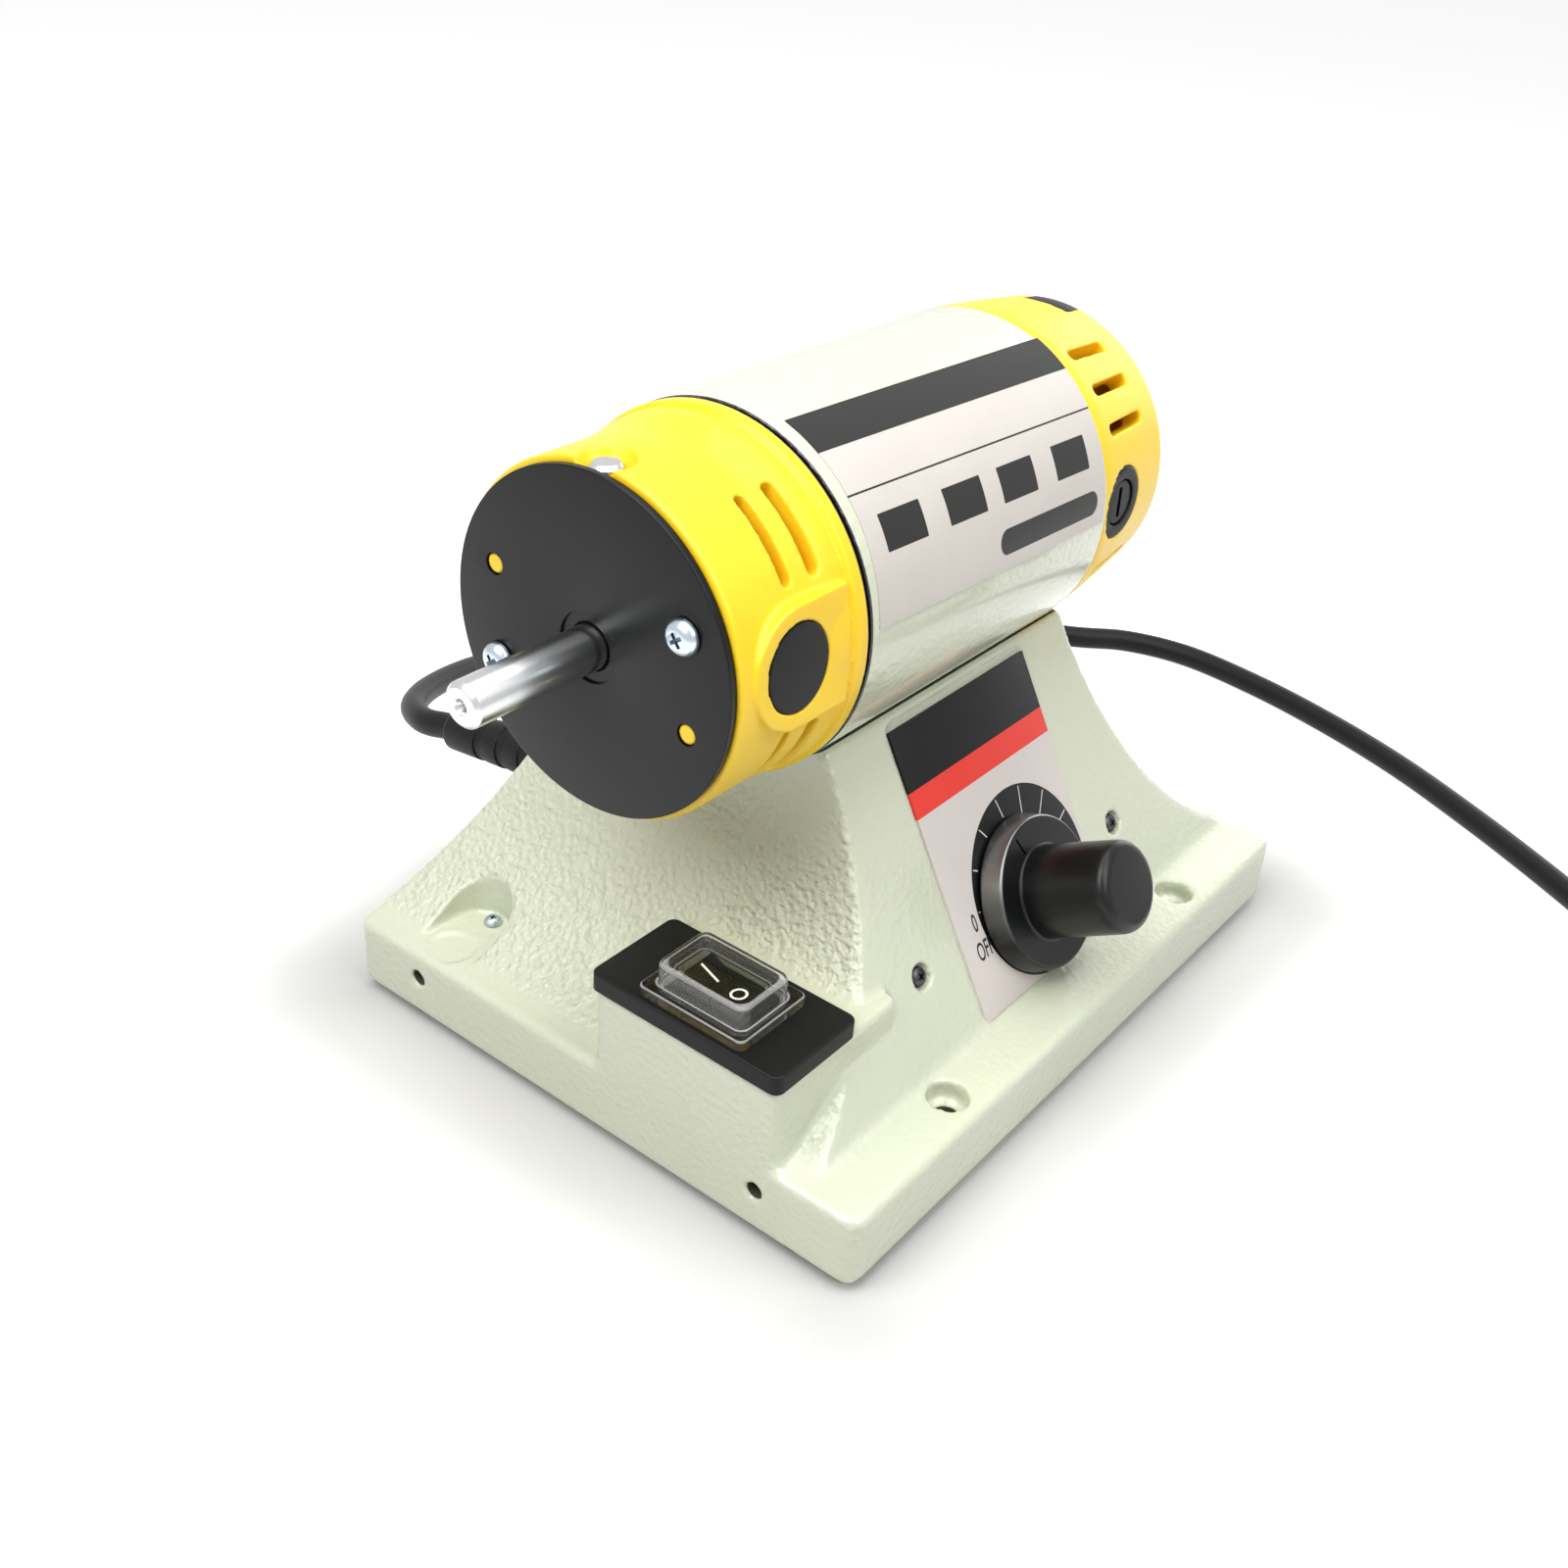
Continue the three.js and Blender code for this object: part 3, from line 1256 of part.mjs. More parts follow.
function buildRotor() {
  const s = spindle;
  let shaft = turned('x', [
    [s.tip, 0], [s.tip, s.radius - s.chamfer], [s.tip + s.chamfer, s.radius],
    [s.bodyFrom, s.radius], [s.bodyFrom, s.bodyRadius], [s.rearFrom, s.bodyRadius],
    [s.rearFrom, s.rearRadius], [s.rearEnd, s.rearRadius], [s.rearEnd, 0],
  ], smallSides * 2);
  shaft = cut(shaft, turned('x', [
    [s.tip - overrun, 0], [s.tip - overrun, s.centreHole], [s.tip + s.centreDepth - s.centreHole, s.centreHole],
    [s.tip + s.centreDepth, 0],
  ], screwSides));

  // Four shallow sockets let the lock pin catch the spindle at every quarter turn
  const socket = bore('y', lockPin.socketRadius, -s.radius - overrun, -lockPin.socketFloor, lockPin.x, 0);
  const sockets = [0, 90, 180, 270].map((turn) => aroundMotor(socket, lockPin.angle + turn));
  piece('spindle', cut(shaft, ...sockets), finishes.steel(), motorGroup);

  const bladeTop = fan.from;
  const hub = ring('x', s.bodyRadius + runningGap, fan.hubRadius, bladeTop, bladeTop + fan.hubLength, hiddenSides);
  const back = ring('x', fan.hubRadius - seatGap, fan.radius, bladeTop + fan.bladeHeight,
    bladeTop + fan.bladeHeight + fan.backThickness, hiddenSides);
  let wheel = join(hub, back);
  for (let i = 0; i < fan.blades; i += 1) {
    const blade = block(bladeTop, bladeTop + fan.bladeHeight + seatGap, fan.bladeStart, fan.radius - fan.bladeThickness,
      -fan.bladeThickness / 2, fan.bladeThickness / 2);
    wheel = join(wheel, blade.rotate([(360 / fan.blades) * i, 0, 0]));
  }
  piece('cooling_fan', wheel, finishes.blackPlastic(), motorGroup);

  let rotor = ring('x', s.bodyRadius + runningGap, core.rotorRadius, core.from, core.to, hiddenSides);
  let coils = join(
    ring('x', winding.endInner, winding.endOuter, core.from - winding.endLength, core.from - seatGap, hiddenSides),
    ring('x', winding.endInner, winding.endOuter, core.to + seatGap, core.to + winding.endLength, hiddenSides),
  );
  const slotBottom = core.rotorRadius - core.slotDepth;
  for (let i = 0; i < core.slots; i += 1) {
    const turn = [(360 / core.slots) * i, 0, 0];
    const slot = block(core.from - overrun, core.to + overrun, slotBottom, core.rotorRadius + overrun,
      -core.slotWidth / 2, core.slotWidth / 2);
    rotor = cut(rotor, slot.rotate(turn));
    const bar = block(core.from - seatGap * 2, core.to + seatGap * 2, slotBottom + winding.barGap,
      winding.endOuter - winding.barGap, -core.slotWidth / 2 + winding.barGap, core.slotWidth / 2 - winding.barGap);
    coils = join(coils, bar.rotate(turn));
  }
  piece('armature_core', rotor, finishes.lamination(), motorGroup);
  piece('armature_winding', coils, finishes.copper(), motorGroup);

  const c = commutator;
  const bars = turned('x', [
    [c.from, s.bodyRadius + runningGap], [c.from, c.riserRadius], [c.from + c.riserLength, c.riserRadius],
    [c.from + c.riserLength, c.radius], [c.to, c.radius], [c.to, s.bodyRadius + runningGap],
  ], hiddenSides);
  piece('commutator', bars, finishes.copper(), motorGroup);

  const front = ring('x', s.radius + runningGap, frontBearing.outer, frontBearing.from, frontBearing.to, hiddenSides);
  piece('front_bearing', front, finishes.steel(), motorGroup);
  const rear = ring('x', s.rearRadius + runningGap, rearBearing.outer, rearBearing.from, rearBearing.to, hiddenSides);
  piece('rear_bearing', rear, finishes.steel(), motorGroup);
}

function buildRearHousing() {
  const r = rearHousing;
  const arc = [];
  for (let i = 1; i <= r.curveSteps; i += 1) {
    const angle = (90 * i * degree) / r.curveSteps;
    arc.push([r.curveStart + r.curve * Math.sin(angle), r.curveRadius - r.curve + r.curve * Math.cos(angle)]);
  }
  const end = r.curveStart + r.curve;
  const outer = turned('x', [
    [r.front, 0], [r.front, r.shoulderRadius], [r.shoulder, r.shoulderRadius], [r.middle, r.middleRadius], [r.curveStart, r.curveRadius],
    ...arc, [end, 0],
  ]);
  const hollow = turned('x', [
    [r.front - overrun, 0], [r.front - overrun, r.shoulderRadius - r.wall],
    [r.middle, r.middleRadius - r.wall], [end - r.endWall - r.wall, r.curveRadius - r.wall],
    [end - r.endWall, r.curveRadius - 2 * r.wall], [end - r.endWall, 0],
  ]);
  const seatOuter = rearBearing.outer + r.bearingBossWall;
  const seatBoss = rod('x', seatOuter, rearBearing.from, end - r.endWall / 2, 0, 0, hiddenSides);
  let body = join(cut(outer, hollow), seatBoss);
  for (const turn of [0, 180]) {
    const boss = rod('y', brush.bossRadius, -r.middleRadius + r.wall / 2, -brush.bossFrom, brush.x, 0, roundSides / 2);
    const trimmed = boss.subtract(rod('x', seatOuter + seatGap, rearBearing.from - overrun, end, 0, 0));
    body = join(body, aroundMotor(trimmed, brush.angle + turn));
  }
  body = cut(body, bore('x', rearBearing.outer + runningGap, rearBearing.from - overrun,
    rearBearing.to + seatGap, 0, 0, hiddenSides));
  body = cut(body, bore('x', spindle.rearRadius + 2 * seatGap, rearBearing.from, spindle.rearEnd + seatGap, 0, 0));
  const seat = bore('y', brush.flangeRadius + runningGap, -motor.shellRadius - overrun,
    -brush.flangeFace + brush.flangeThickness + seatGap, brush.x, 0, roundSides / 2);
  const tube = bore('y', brush.tubeRadius + runningGap, -motor.shellRadius, -brush.bossFrom + overrun,
    brush.x, 0, roundSides / 2);
  for (const turn of [0, 180]) {
    body = cut(body, aroundMotor(seat, brush.angle + turn), aroundMotor(tube, brush.angle + turn));
    for (const side of [-1, 1]) {
      for (const angle of r.slotAngles) {
        const slot = join(
          block(r.slotFrom + r.slotWidth / 2, r.slotTo - r.slotWidth / 2, -motor.shellRadius - overrun,
            -r.curveRadius + 3 * r.wall, -r.slotWidth / 2, r.slotWidth / 2),
          rod('y', r.slotWidth / 2, -motor.shellRadius - overrun, -r.curveRadius + 3 * r.wall,
            r.slotFrom + r.slotWidth / 2, 0, screwSides),
          rod('y', r.slotWidth / 2, -motor.shellRadius - overrun, -r.curveRadius + 3 * r.wall,
            r.slotTo - r.slotWidth / 2, 0, screwSides),
        );
        body = cut(body, aroundMotor(slot, brush.angle + turn + side * angle));
      }
    }
  }
  const plugTop = r.middleRadius;
  const plugSeat = bore('y', r.plugRadius + runningGap, -plugTop - overrun,
    -plugTop + r.plugThickness + seatGap, r.plugX, 0);
  const plugHole = rod('y', r.plugRadius - r.wall / 2, -plugTop - overrun, -plugTop / 2, r.plugX, 0);
  body = cut(body, aroundMotor(plugSeat, r.plugAngle), aroundMotor(plugHole, r.plugAngle));
  piece('rear_housing', body, finishes.yellowPlastic(), motorGroup);

  const plug = rod('y', r.plugRadius, -plugTop + runningGap, -plugTop + r.plugThickness, r.plugX, 0);
  piece('rear_top_plug', aroundMotor(plug, r.plugAngle), finishes.blackPlastic(), motorGroup);
  buildBrushes();
}

function buildBrushes() {
  const b = brush;
  const face = b.flangeFace;
  const springTop = face - b.capRecess - b.capThickness - seatGap;
  const carbonTip = commutator.radius + seatGap;
  const carbonEnd = carbonTip + b.carbonLength;
  const capBottom = face - b.capRecess - b.capThickness;
  const holder = cut(
    join(
      rod('y', b.flangeRadius, -face, -face + b.flangeThickness, b.x, 0, roundSides / 2),
      rod('y', b.tubeRadius, -face + b.flangeThickness / 2, -b.tubeFrom, b.x, 0, roundSides / 2),
    ),
    block(b.x - b.channelX / 2, b.x + b.channelX / 2, -capBottom - seatGap, -b.tubeFrom + overrun,
      -b.channelZ / 2, b.channelZ / 2),
    bore('y', b.capRadius + runningGap, -face - overrun, -capBottom + seatGap, b.x, 0, roundSides / 2),
  );
  const carbon = block(b.x - b.carbonX / 2, b.x + b.carbonX / 2, -carbonEnd, -carbonTip, -b.carbonZ / 2, b.carbonZ / 2);
  const spring = cut(
    rod('y', b.springRadius, -springTop, -carbonEnd - seatGap, b.x, 0, screwSides),
    rod('y', b.springRadius - b.springWall, -springTop - overrun, -carbonEnd + overrun, b.x, 0, screwSides),
  );
  const capTop = face - b.capRecess;
  const cap = cut(
    rod('y', b.capRadius, -capTop, -capBottom, b.x, 0, roundSides / 2),
    block(b.x - b.slotWidth / 2, b.x + b.slotWidth / 2, -capTop - overrun, -capTop + b.slotDepth,
      -b.slotLength / 2, b.slotLength / 2),
  );
  ['knob_side', 'cord_side'].forEach((side, i) => {
    const turn = b.angle + 180 * i;
    piece(`brush_holder_${side}`, aroundMotor(holder, turn), finishes.blackPlastic(), motorGroup);
    piece(`carbon_brush_${side}`, aroundMotor(carbon, turn), finishes.carbon(), motorGroup);
    piece(`brush_spring_${side}`, aroundMotor(spring, turn), finishes.steel(), motorGroup);
    piece(`brush_cap_${side}`, aroundMotor(cap, turn), finishes.blackPlastic(), motorGroup);
  });
}

// Mains lead
const coil = {
  centre: [190, -214],
  startAngle: 155,
  outerRadius: 52,
  pitch: 9.8,
  turnsPerLayer: 2,
  layerRise: 8.6,
  tailLength: 40,
  stepsPerTurn: 24,
  sides: 6,
};
const plug = {
  width: 36,
  thickness: 17,
  length: 30,
  taper: 24,
  neckRadius: 5.4,
  neckLength: 14,
  pinRadius: 2.4,
  pinLength: 19,
  pinSpacing: 19,
  cornerRadius: 7,
};
const floorZ = cordRadius + 0.1;

// Route of the free stretch from the boot to the coil, chosen by hand
const cordRoute = [
  [-41.4, 122.5, 38.6],
  [-34.5, 136.5, 34.6],
  [-21.2, 148.6, 29.4],
  [-3.4, 159.6, 23],
  [18.1, 169.8, 15.4],
  [36, 176.6, 9],
  [60, 182.5, 4.6],
  [88, 181, 4],
  [116, 168, 4],
  [142, 146, 4],
  [166, 118, 4],
  [188, 84, 4],
  [209.2, 45.1, 4],
  [220.2, 29.7, 4],
  [226, 8.3, 4],
  [223.3, -22.2, 4],
  [215.8, -53.2, 4],
  [204.6, -84.3, 4],
  [189.4, -115.1, 4],
  [179, -133.9, 4],
  [167.8, -152.6, 4],
  [157.6, -168, 4],
];

function coilPoint(turns) {
  const c = coil;
  const climb = 0.5;
  const inner = c.outerRadius - c.pitch * c.turnsPerLayer;
  const first = c.turnsPerLayer;
  let radius = inner;
  let rise = 0;
  if (turns < first) radius = c.outerRadius - c.pitch * turns;
  if (turns > first) rise = Math.min(1, (turns - first) / climb);
  if (turns > first + climb) radius = inner + c.pitch * (turns - first - climb);
  const eased = rise * rise * (3 - 2 * rise);
  const angle = (c.startAngle + 360 * turns) * degree;
  return new THREE.Vector3(
    c.centre[0] + radius * Math.cos(angle),
    c.centre[1] + radius * Math.sin(angle),
    floorZ + c.layerRise * eased,
  );
}

// Tube of a given number of sides along a list of points, closed at both ends
function tubeAlong(points, radius, sides) {
  const count = points.length;
  const tangents = points.map((point, i) => {
    const before = points[Math.max(0, i - 1)];
    const after = points[Math.min(count - 1, i + 1)];
    return after.clone().sub(before).normalize();
  });
  const positions = [];
  points.forEach((point, i) => {
    const across = new THREE.Vector3().crossVectors(tangents[i], worldZ).normalize();
    const up = new THREE.Vector3().crossVectors(across, tangents[i]).normalize();
    for (let k = 0; k < sides; k += 1) {
      const angle = (360 * (k + 0.5) * degree) / sides;
      const place = point.clone()
        .addScaledVector(across, radius * Math.cos(angle))
        .addScaledVector(up, radius * Math.sin(angle));
      positions.push(place.x, place.y, place.z);
    }
  });
  const index = [];
  for (let i = 0; i < count - 1; i += 1) {
    for (let k = 0; k < sides; k += 1) {
      const a = i * sides + k;
      const b = i * sides + ((k + 1) % sides);
      index.push(a, b, b + sides, a, b + sides, a + sides);
    }
  }
  for (let k = 1; k < sides - 1; k += 1) {
    index.push(0, k + 1, k);
    const base = (count - 1) * sides;
    index.push(base, base + k, base + k + 1);
  }
  const geometry = new THREE.BufferGeometry();
  geometry.setAttribute('position', new THREE.Float32BufferAttribute(positions, 3));
  geometry.setIndex(index);
  return solid(geometry);
}

// Least distance between turns of the coil, less the cord's own thickness
function leastCoilGap(points) {
  const apart = coil.stepsPerTurn / 2;
  let least = Infinity;
  for (let i = 0; i < points.length; i += 1) {
    for (let j = i + apart; j < points.length; j += 1) {
      least = Math.min(least, points[i].distanceTo(points[j]));
    }
  }
  return least - 2 * cordRadius;
}

function buildCord() {
  // Strain relief: tapered, with grooves, its root cut flush with the sloped wall
  const grooves = 3;
  const outline = [[-boot.neckLength, 0], [-boot.neckLength, boot.neckRadius], [-seatGap, boot.neckRadius]];
  const tapered = (share) => boot.rootRadius + (boot.endRadius - boot.rootRadius) * share;
  outline.push([-seatGap, tapered(0)]);
  for (let i = 1; i <= grooves; i += 1) {
    const at = (share) => boot.length * share;
    const share = (i + 0.4) / (grooves + 2);
    const width = 0.35 / (grooves + 2);
    outline.push([at(share), tapered(share)], [at(share + width / 4), tapered(share) * 0.86],
      [at(share + width * 0.75), tapered(share) * 0.86], [at(share + width), tapered(share)]);
  }
  outline.push([boot.length - cordRadius / 3, tapered(1)], [boot.length, tapered(1) - cordRadius / 3]);
  outline.push([boot.length, 0]);
  const rawBoot = moved(turned('z', outline, smallSides), bootFrame);
  const reach = casting.length;
  const wallSection = pedestalSection(-seatGap, -overrun, pedestal.topHeight);
  const wallSolid = prism(polygon(wallSection), -reach, reach, 'x');
  const neck = moved(rod('z', boot.neckRadius, -boot.neckLength, boot.length / 2), bootFrame);
  piece('cord_boot', join(cut(rawBoot, wallSolid), neck), finishes.blackRubber());

  const coilSteps = Math.round((2 * coil.turnsPerLayer + 0.5) * coil.stepsPerTurn);
  const turns = [];
  for (let i = 0; i <= coilSteps; i += 1) turns.push(coilPoint(i / coil.stepsPerTurn));
  const gap = leastCoilGap(turns);
  console.log(`least gap between turns of the cord coil: ${gap.toFixed(2)} mm`);
  const startWay = turns[0].clone().sub(turns[1]).setZ(0).normalize();
  const endWay = turns[coilSteps].clone().sub(turns[coilSteps - 1]).setZ(0).normalize();
  const lead = 2 * cordRadius;
  const coilStart = turns[0].clone().addScaledVector(startWay, lead);

  // The tail runs down from the top layer of the coil to the plug, in the same tube
  const plugZ = plug.thickness / 2;
  const tailDrop = turns[coilSteps].z - plugZ;
  const tailSteps = 7;
  const tail = [];
  for (let i = 1; i <= tailSteps; i += 1) {
    const share = i / tailSteps;
    const eased = share * share * (3 - 2 * share);
    tail.push(turns[coilSteps].clone().addScaledVector(endWay, coil.tailLength * share)
      .setZ(turns[coilSteps].z - tailDrop * eased));
  }
  piece('cord_coil', tubeAlong([coilStart, ...turns, ...tail], cordRadius, coil.sides), finishes.blackRubber());

  const bootEnd = new THREE.Vector3(...boot.end);
  const start = bootEnd.clone().addScaledVector(bootAxis, seatGap);
  const early = bootEnd.clone().addScaledVector(bootAxis, lead / 2);
  const arrive = coilStart.clone().addScaledVector(startWay, seatGap);
  const before = coilStart.clone().addScaledVector(startWay, lead);
  const middle = cordRoute.map((point) => new THREE.Vector3(...point));
  const route = new THREE.CatmullRomCurve3([start, early, ...middle, before, arrive], false, 'centripetal');
  const section = [];
  for (let i = 0; i < cordSides; i += 1) {
    const angle = (360 * i * degree) / cordSides;
    section.push([cordRadius * Math.cos(angle), cordRadius * Math.sin(angle)]);
  }
  const free = new THREE.ExtrudeGeometry(polygon(section), {
    steps: cordSteps,
    bevelEnabled: false,
    extrudePath: route,
  });
  piece('cord', solid(free), finishes.blackRubber());

  // Moulded plug with two round pins, lying flat
  const side = new THREE.Vector3().crossVectors(worldZ, endWay);
  const plugFrame = new THREE.Matrix4().makeBasis(side, worldZ, endWay);
  const plugStart = tail[tailSteps - 1].clone().addScaledVector(endWay, seatGap);
  plugFrame.setPosition(plugStart);
  const neckEnd = plug.neckLength;
  const faceZ = neckEnd + plug.length;
  const bodyShape = roundedRectangle(0, 0, plug.width, plug.thickness, plug.cornerRadius);
  const tailShape = roundedRectangle(0, 0, plug.taper, plug.thickness, plug.cornerRadius);
  const body = join(
    prism(bodyShape, neckEnd + plug.length / 2, faceZ, 'z', 3),
    prism(tailShape, neckEnd, neckEnd + plug.length / 2 + seatGap, 'z', 3),
    rod('z', plug.neckRadius, 0, neckEnd + seatGap),
  );
  const pinHoles = [-1, 1].map((way) => bore('z', plug.pinRadius + runningGap, faceZ - overrun,
    faceZ + overrun, (way * plug.pinSpacing) / 2, 0, screwSides));
  piece('plug_body', moved(cut(body, ...pinHoles), plugFrame), finishes.blackPlastic());
  [-1, 1].forEach((way, i) => {
    const pin = rod('z', plug.pinRadius, faceZ - overrun + seatGap, faceZ + plug.pinLength,
      (way * plug.pinSpacing) / 2, 0, screwSides);
    piece(`plug_pin_${i + 1}`, moved(pin, plugFrame), finishes.steel());
  });
}

buildCasting();
buildBottom();
buildControl();
buildSwitch();
buildFrontHousing();
buildMotorMiddle();
buildRotor();
buildRearHousing();
buildCord();

// The origin is the middle of the machine's own footprint, without the cord
machine.updateMatrixWorld(true);
const corded = ['cord_boot', 'cord', 'cord_coil', 'plug_body', 'plug_pin_1', 'plug_pin_2'];
const bounds = new THREE.Box3();
machine.traverse((node) => {
  if (node.isMesh && !corded.includes(node.name)) bounds.expandByObject(node, true);
});
const centre = bounds.getCenter(new THREE.Vector3());
machine.position.set(-centre.x, -centre.y, -bounds.min.z);
machine.updateMatrixWorld(true);

export default machine;
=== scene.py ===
import math

import bmesh
import bpy
from mathutils import Matrix, Vector


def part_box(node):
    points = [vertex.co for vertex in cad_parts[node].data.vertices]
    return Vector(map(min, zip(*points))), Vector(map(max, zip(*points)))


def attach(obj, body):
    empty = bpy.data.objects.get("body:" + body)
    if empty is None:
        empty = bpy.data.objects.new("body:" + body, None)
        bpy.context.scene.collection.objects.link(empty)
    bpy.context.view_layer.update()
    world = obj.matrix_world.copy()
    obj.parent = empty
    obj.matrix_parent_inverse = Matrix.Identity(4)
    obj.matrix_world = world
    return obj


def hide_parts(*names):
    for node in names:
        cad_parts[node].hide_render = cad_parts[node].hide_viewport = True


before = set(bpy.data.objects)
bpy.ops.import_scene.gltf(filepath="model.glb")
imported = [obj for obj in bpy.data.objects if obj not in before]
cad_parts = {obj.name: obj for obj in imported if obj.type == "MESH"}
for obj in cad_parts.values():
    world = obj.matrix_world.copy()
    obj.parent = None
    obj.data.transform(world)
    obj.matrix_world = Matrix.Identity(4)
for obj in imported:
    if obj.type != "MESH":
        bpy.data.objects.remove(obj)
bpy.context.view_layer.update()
scene = bpy.context.scene

# The camera stands at the spindle end, on the knob side, and looks down on the machine. Each size
# in this script is in millimetres from the middle of the casting, with the floor at height 0, and
# each finished mesh is then put in metres where the CAD has it.
METRE = 0.001
FLAT = Vector((1, 1, 0))
casting_low, casting_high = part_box("base_casting")
base_centre = (casting_low + casting_high) / 2
row_place = Matrix.Translation((base_centre.x, base_centre.y, 0)) @ Matrix.Scale(METRE, 4)

CAMERA_PLACE = (-326.1, -218.16, 294.63)
CAMERA_TURN = (58.026, -3.495, -51.396)
LENS = 39.51
SENSOR = 36
NEAR_CLIP = 10


def degrees(*angles):
    return tuple(math.radians(angle) for angle in angles)


camera = bpy.data.objects.new("camera", bpy.data.cameras.new("camera"))
camera.data.lens = LENS
camera.data.sensor_width = SENSOR
camera.data.sensor_fit = "HORIZONTAL"
camera.data.clip_start = NEAR_CLIP * METRE
camera.location = row_place @ Vector(CAMERA_PLACE)
camera.rotation_euler = degrees(*CAMERA_TURN)
scene.collection.objects.link(camera)
scene.camera = camera
scene.view_settings.view_transform = "Standard"

# The studio: one broad softbox overhead and two high ones, at the spindle end and at the knob side,
# in a white room that gives hardly any light but shows in the steel and in the clear cover.
SOFTBOXES = {
    # name: place, aim, width, depth, watts
    "overhead": ((0, 0, 900), (0, 0, 60), 900, 700, 5.0),
    "spindle_end": ((-600, 50, 750), (0, 0, 60), 600, 600, 6.2),
    "knob_side": ((0, -650, 750), (0, 0, 60), 600, 600, 4.8),
    "far_end": ((850, 0, 300), (0, 0, 60), 500, 500, 1.6),
}
ROOM_COLOUR = "#F4F5F3"
ROOM_LIGHT = 0.04
WHITE = (1, 1, 1, 1)


def linear(hex_colour):
    """The sRGB colour in the renderer's linear values."""
    shares = [int(hex_colour[i:i + 2], 16) / 255 for i in (1, 3, 5)]
    return tuple(s / 12.92 if s <= 0.04045 else ((s + 0.055) / 1.055) ** 2.4 for s in shares) + (1,)


def add_node(material, kind, sockets=(), **settings):
    """One node with its settings, its inputs set or linked. Gives its first live output."""
    tree = material.node_tree
    made = tree.nodes.new(kind)
    for name, value in settings.items():
        setattr(made, name, value)
    for name, value in dict(sockets).items():
        if isinstance(value, bpy.types.NodeSocket):
            tree.links.new(value, made.inputs[name])
        else:
            made.inputs[name].default_value = value
    live = [output for output in made.outputs if output.enabled]
    return live[0] if live else made


def ray_seen(material, *kinds):
    """1 for the rays that see the white room, 0 for those that carry its light."""
    rays = add_node(material, "ShaderNodeLightPath").node
    seen = rays.outputs["Is Camera Ray"]
    for kind in kinds:
        seen = add_node(material, "ShaderNodeMath", {0: seen, 1: rays.outputs[kind]}, operation="MAXIMUM")
    return seen


for name, (spot, aim, width, depth, watts) in SOFTBOXES.items():
    light = bpy.data.lights.new("softbox_" + name, "AREA")
    light.shape = "RECTANGLE"
    light.size = width * METRE
    light.size_y = depth * METRE
    light.energy = watts
    softbox = bpy.data.objects.new("softbox_" + name, light)
    softbox.location = row_place @ Vector(spot)
    to_aim = row_place @ Vector(aim) - softbox.location
    softbox.rotation_euler = to_aim.to_track_quat("-Z", "Y").to_euler()
    scene.collection.objects.link(softbox)

room = bpy.data.worlds.new("white_room")
room.use_nodes = True
room.node_tree.nodes.clear()
scene.world = room
lit_room = add_node(room, "ShaderNodeBackground", {"Color": linear(ROOM_COLOUR), "Strength": ROOM_LIGHT})
white_room = add_node(room, "ShaderNodeBackground", {"Color": WHITE, "Strength": 1.0})
seen = ray_seen(room, "Is Glossy Ray", "Is Transmission Ray")
sky = add_node(room, "ShaderNodeMixShader", {0: seen, 1: lit_room, 2: white_room})
add_node(room, "ShaderNodeOutputWorld", {"Surface": sky})

# The floor is a sweep of white studio paper. It takes the machine's soft shadow, and away from the
# machine a glow that only the camera and reflections see brings it up to white.
FLOOR_HALF_SPAN = 5000
PAPER_COLOUR = "#D0D0CE"
PAPER_GLOW = 0.9
GLOW_FROM = 4
GLOW_FULL = 75


def new_material(name, **values):
    """A material with the given values on its shader's own sockets. Gives it and its shader."""
    made = bpy.data.materials.new(name)
    made.use_nodes = True
    shader = made.node_tree.nodes["Principled BSDF"]
    for socket, value in values.items():
        shader.inputs[socket.replace("_", " ")].default_value = value
    return made, shader


studio_paper, paper = new_material("studio_paper", Base_Color=linear(PAPER_COLOUR), Roughness=1.0)
paper.inputs["Specular IOR Level"].default_value = 0.0
no_glow = add_node(studio_paper, "ShaderNodeEmission", {"Strength": 0.0})
glow = add_node(studio_paper, "ShaderNodeEmission", {"Color": WHITE, "Strength": PAPER_GLOW})
position = add_node(studio_paper, "ShaderNodeTexCoord").node.outputs["Object"]
middle = base_centre * FLAT
beside = add_node(studio_paper, "ShaderNodeVectorMath", {0: position, 1: middle}, operation="SUBTRACT")
beside = add_node(studio_paper, "ShaderNodeVectorMath", {0: beside}, operation="ABSOLUTE")
footing = (casting_high - casting_low) / 2 * FLAT
beside = add_node(studio_paper, "ShaderNodeVectorMath", {0: beside, 1: footing}, operation="SUBTRACT")
beside = add_node(studio_paper, "ShaderNodeVectorMath", {0: beside, 1: (0, 0, 0)}, operation="MAXIMUM")
distance = add_node(studio_paper, "ShaderNodeVectorMath", {0: beside}, operation="LENGTH").node
glow_or_shade_mask = add_node(studio_paper, "ShaderNodeMapRange", {
    "Value": distance.outputs["Value"], "From Min": GLOW_FROM * METRE, "From Max": GLOW_FULL * METRE},
    interpolation_type="SMOOTHSTEP")
seen = ray_seen(studio_paper, "Is Glossy Ray", "Is Transmission Ray")
seen = add_node(studio_paper, "ShaderNodeMath", {0: seen, 1: glow_or_shade_mask}, operation="MULTIPLY")
glow = add_node(studio_paper, "ShaderNodeMixShader", {0: seen, 1: no_glow, 2: glow})
lit_paper = add_node(studio_paper, "ShaderNodeAddShader", {0: paper.outputs[0], 1: glow})
paper_output = studio_paper.node_tree.nodes["Material Output"]
studio_paper.node_tree.links.new(lit_paper, paper_output.inputs["Surface"])
sheet = bmesh.new()
bmesh.ops.create_grid(sheet, x_segments=1, y_segments=1, size=FLOOR_HALF_SPAN * METRE)
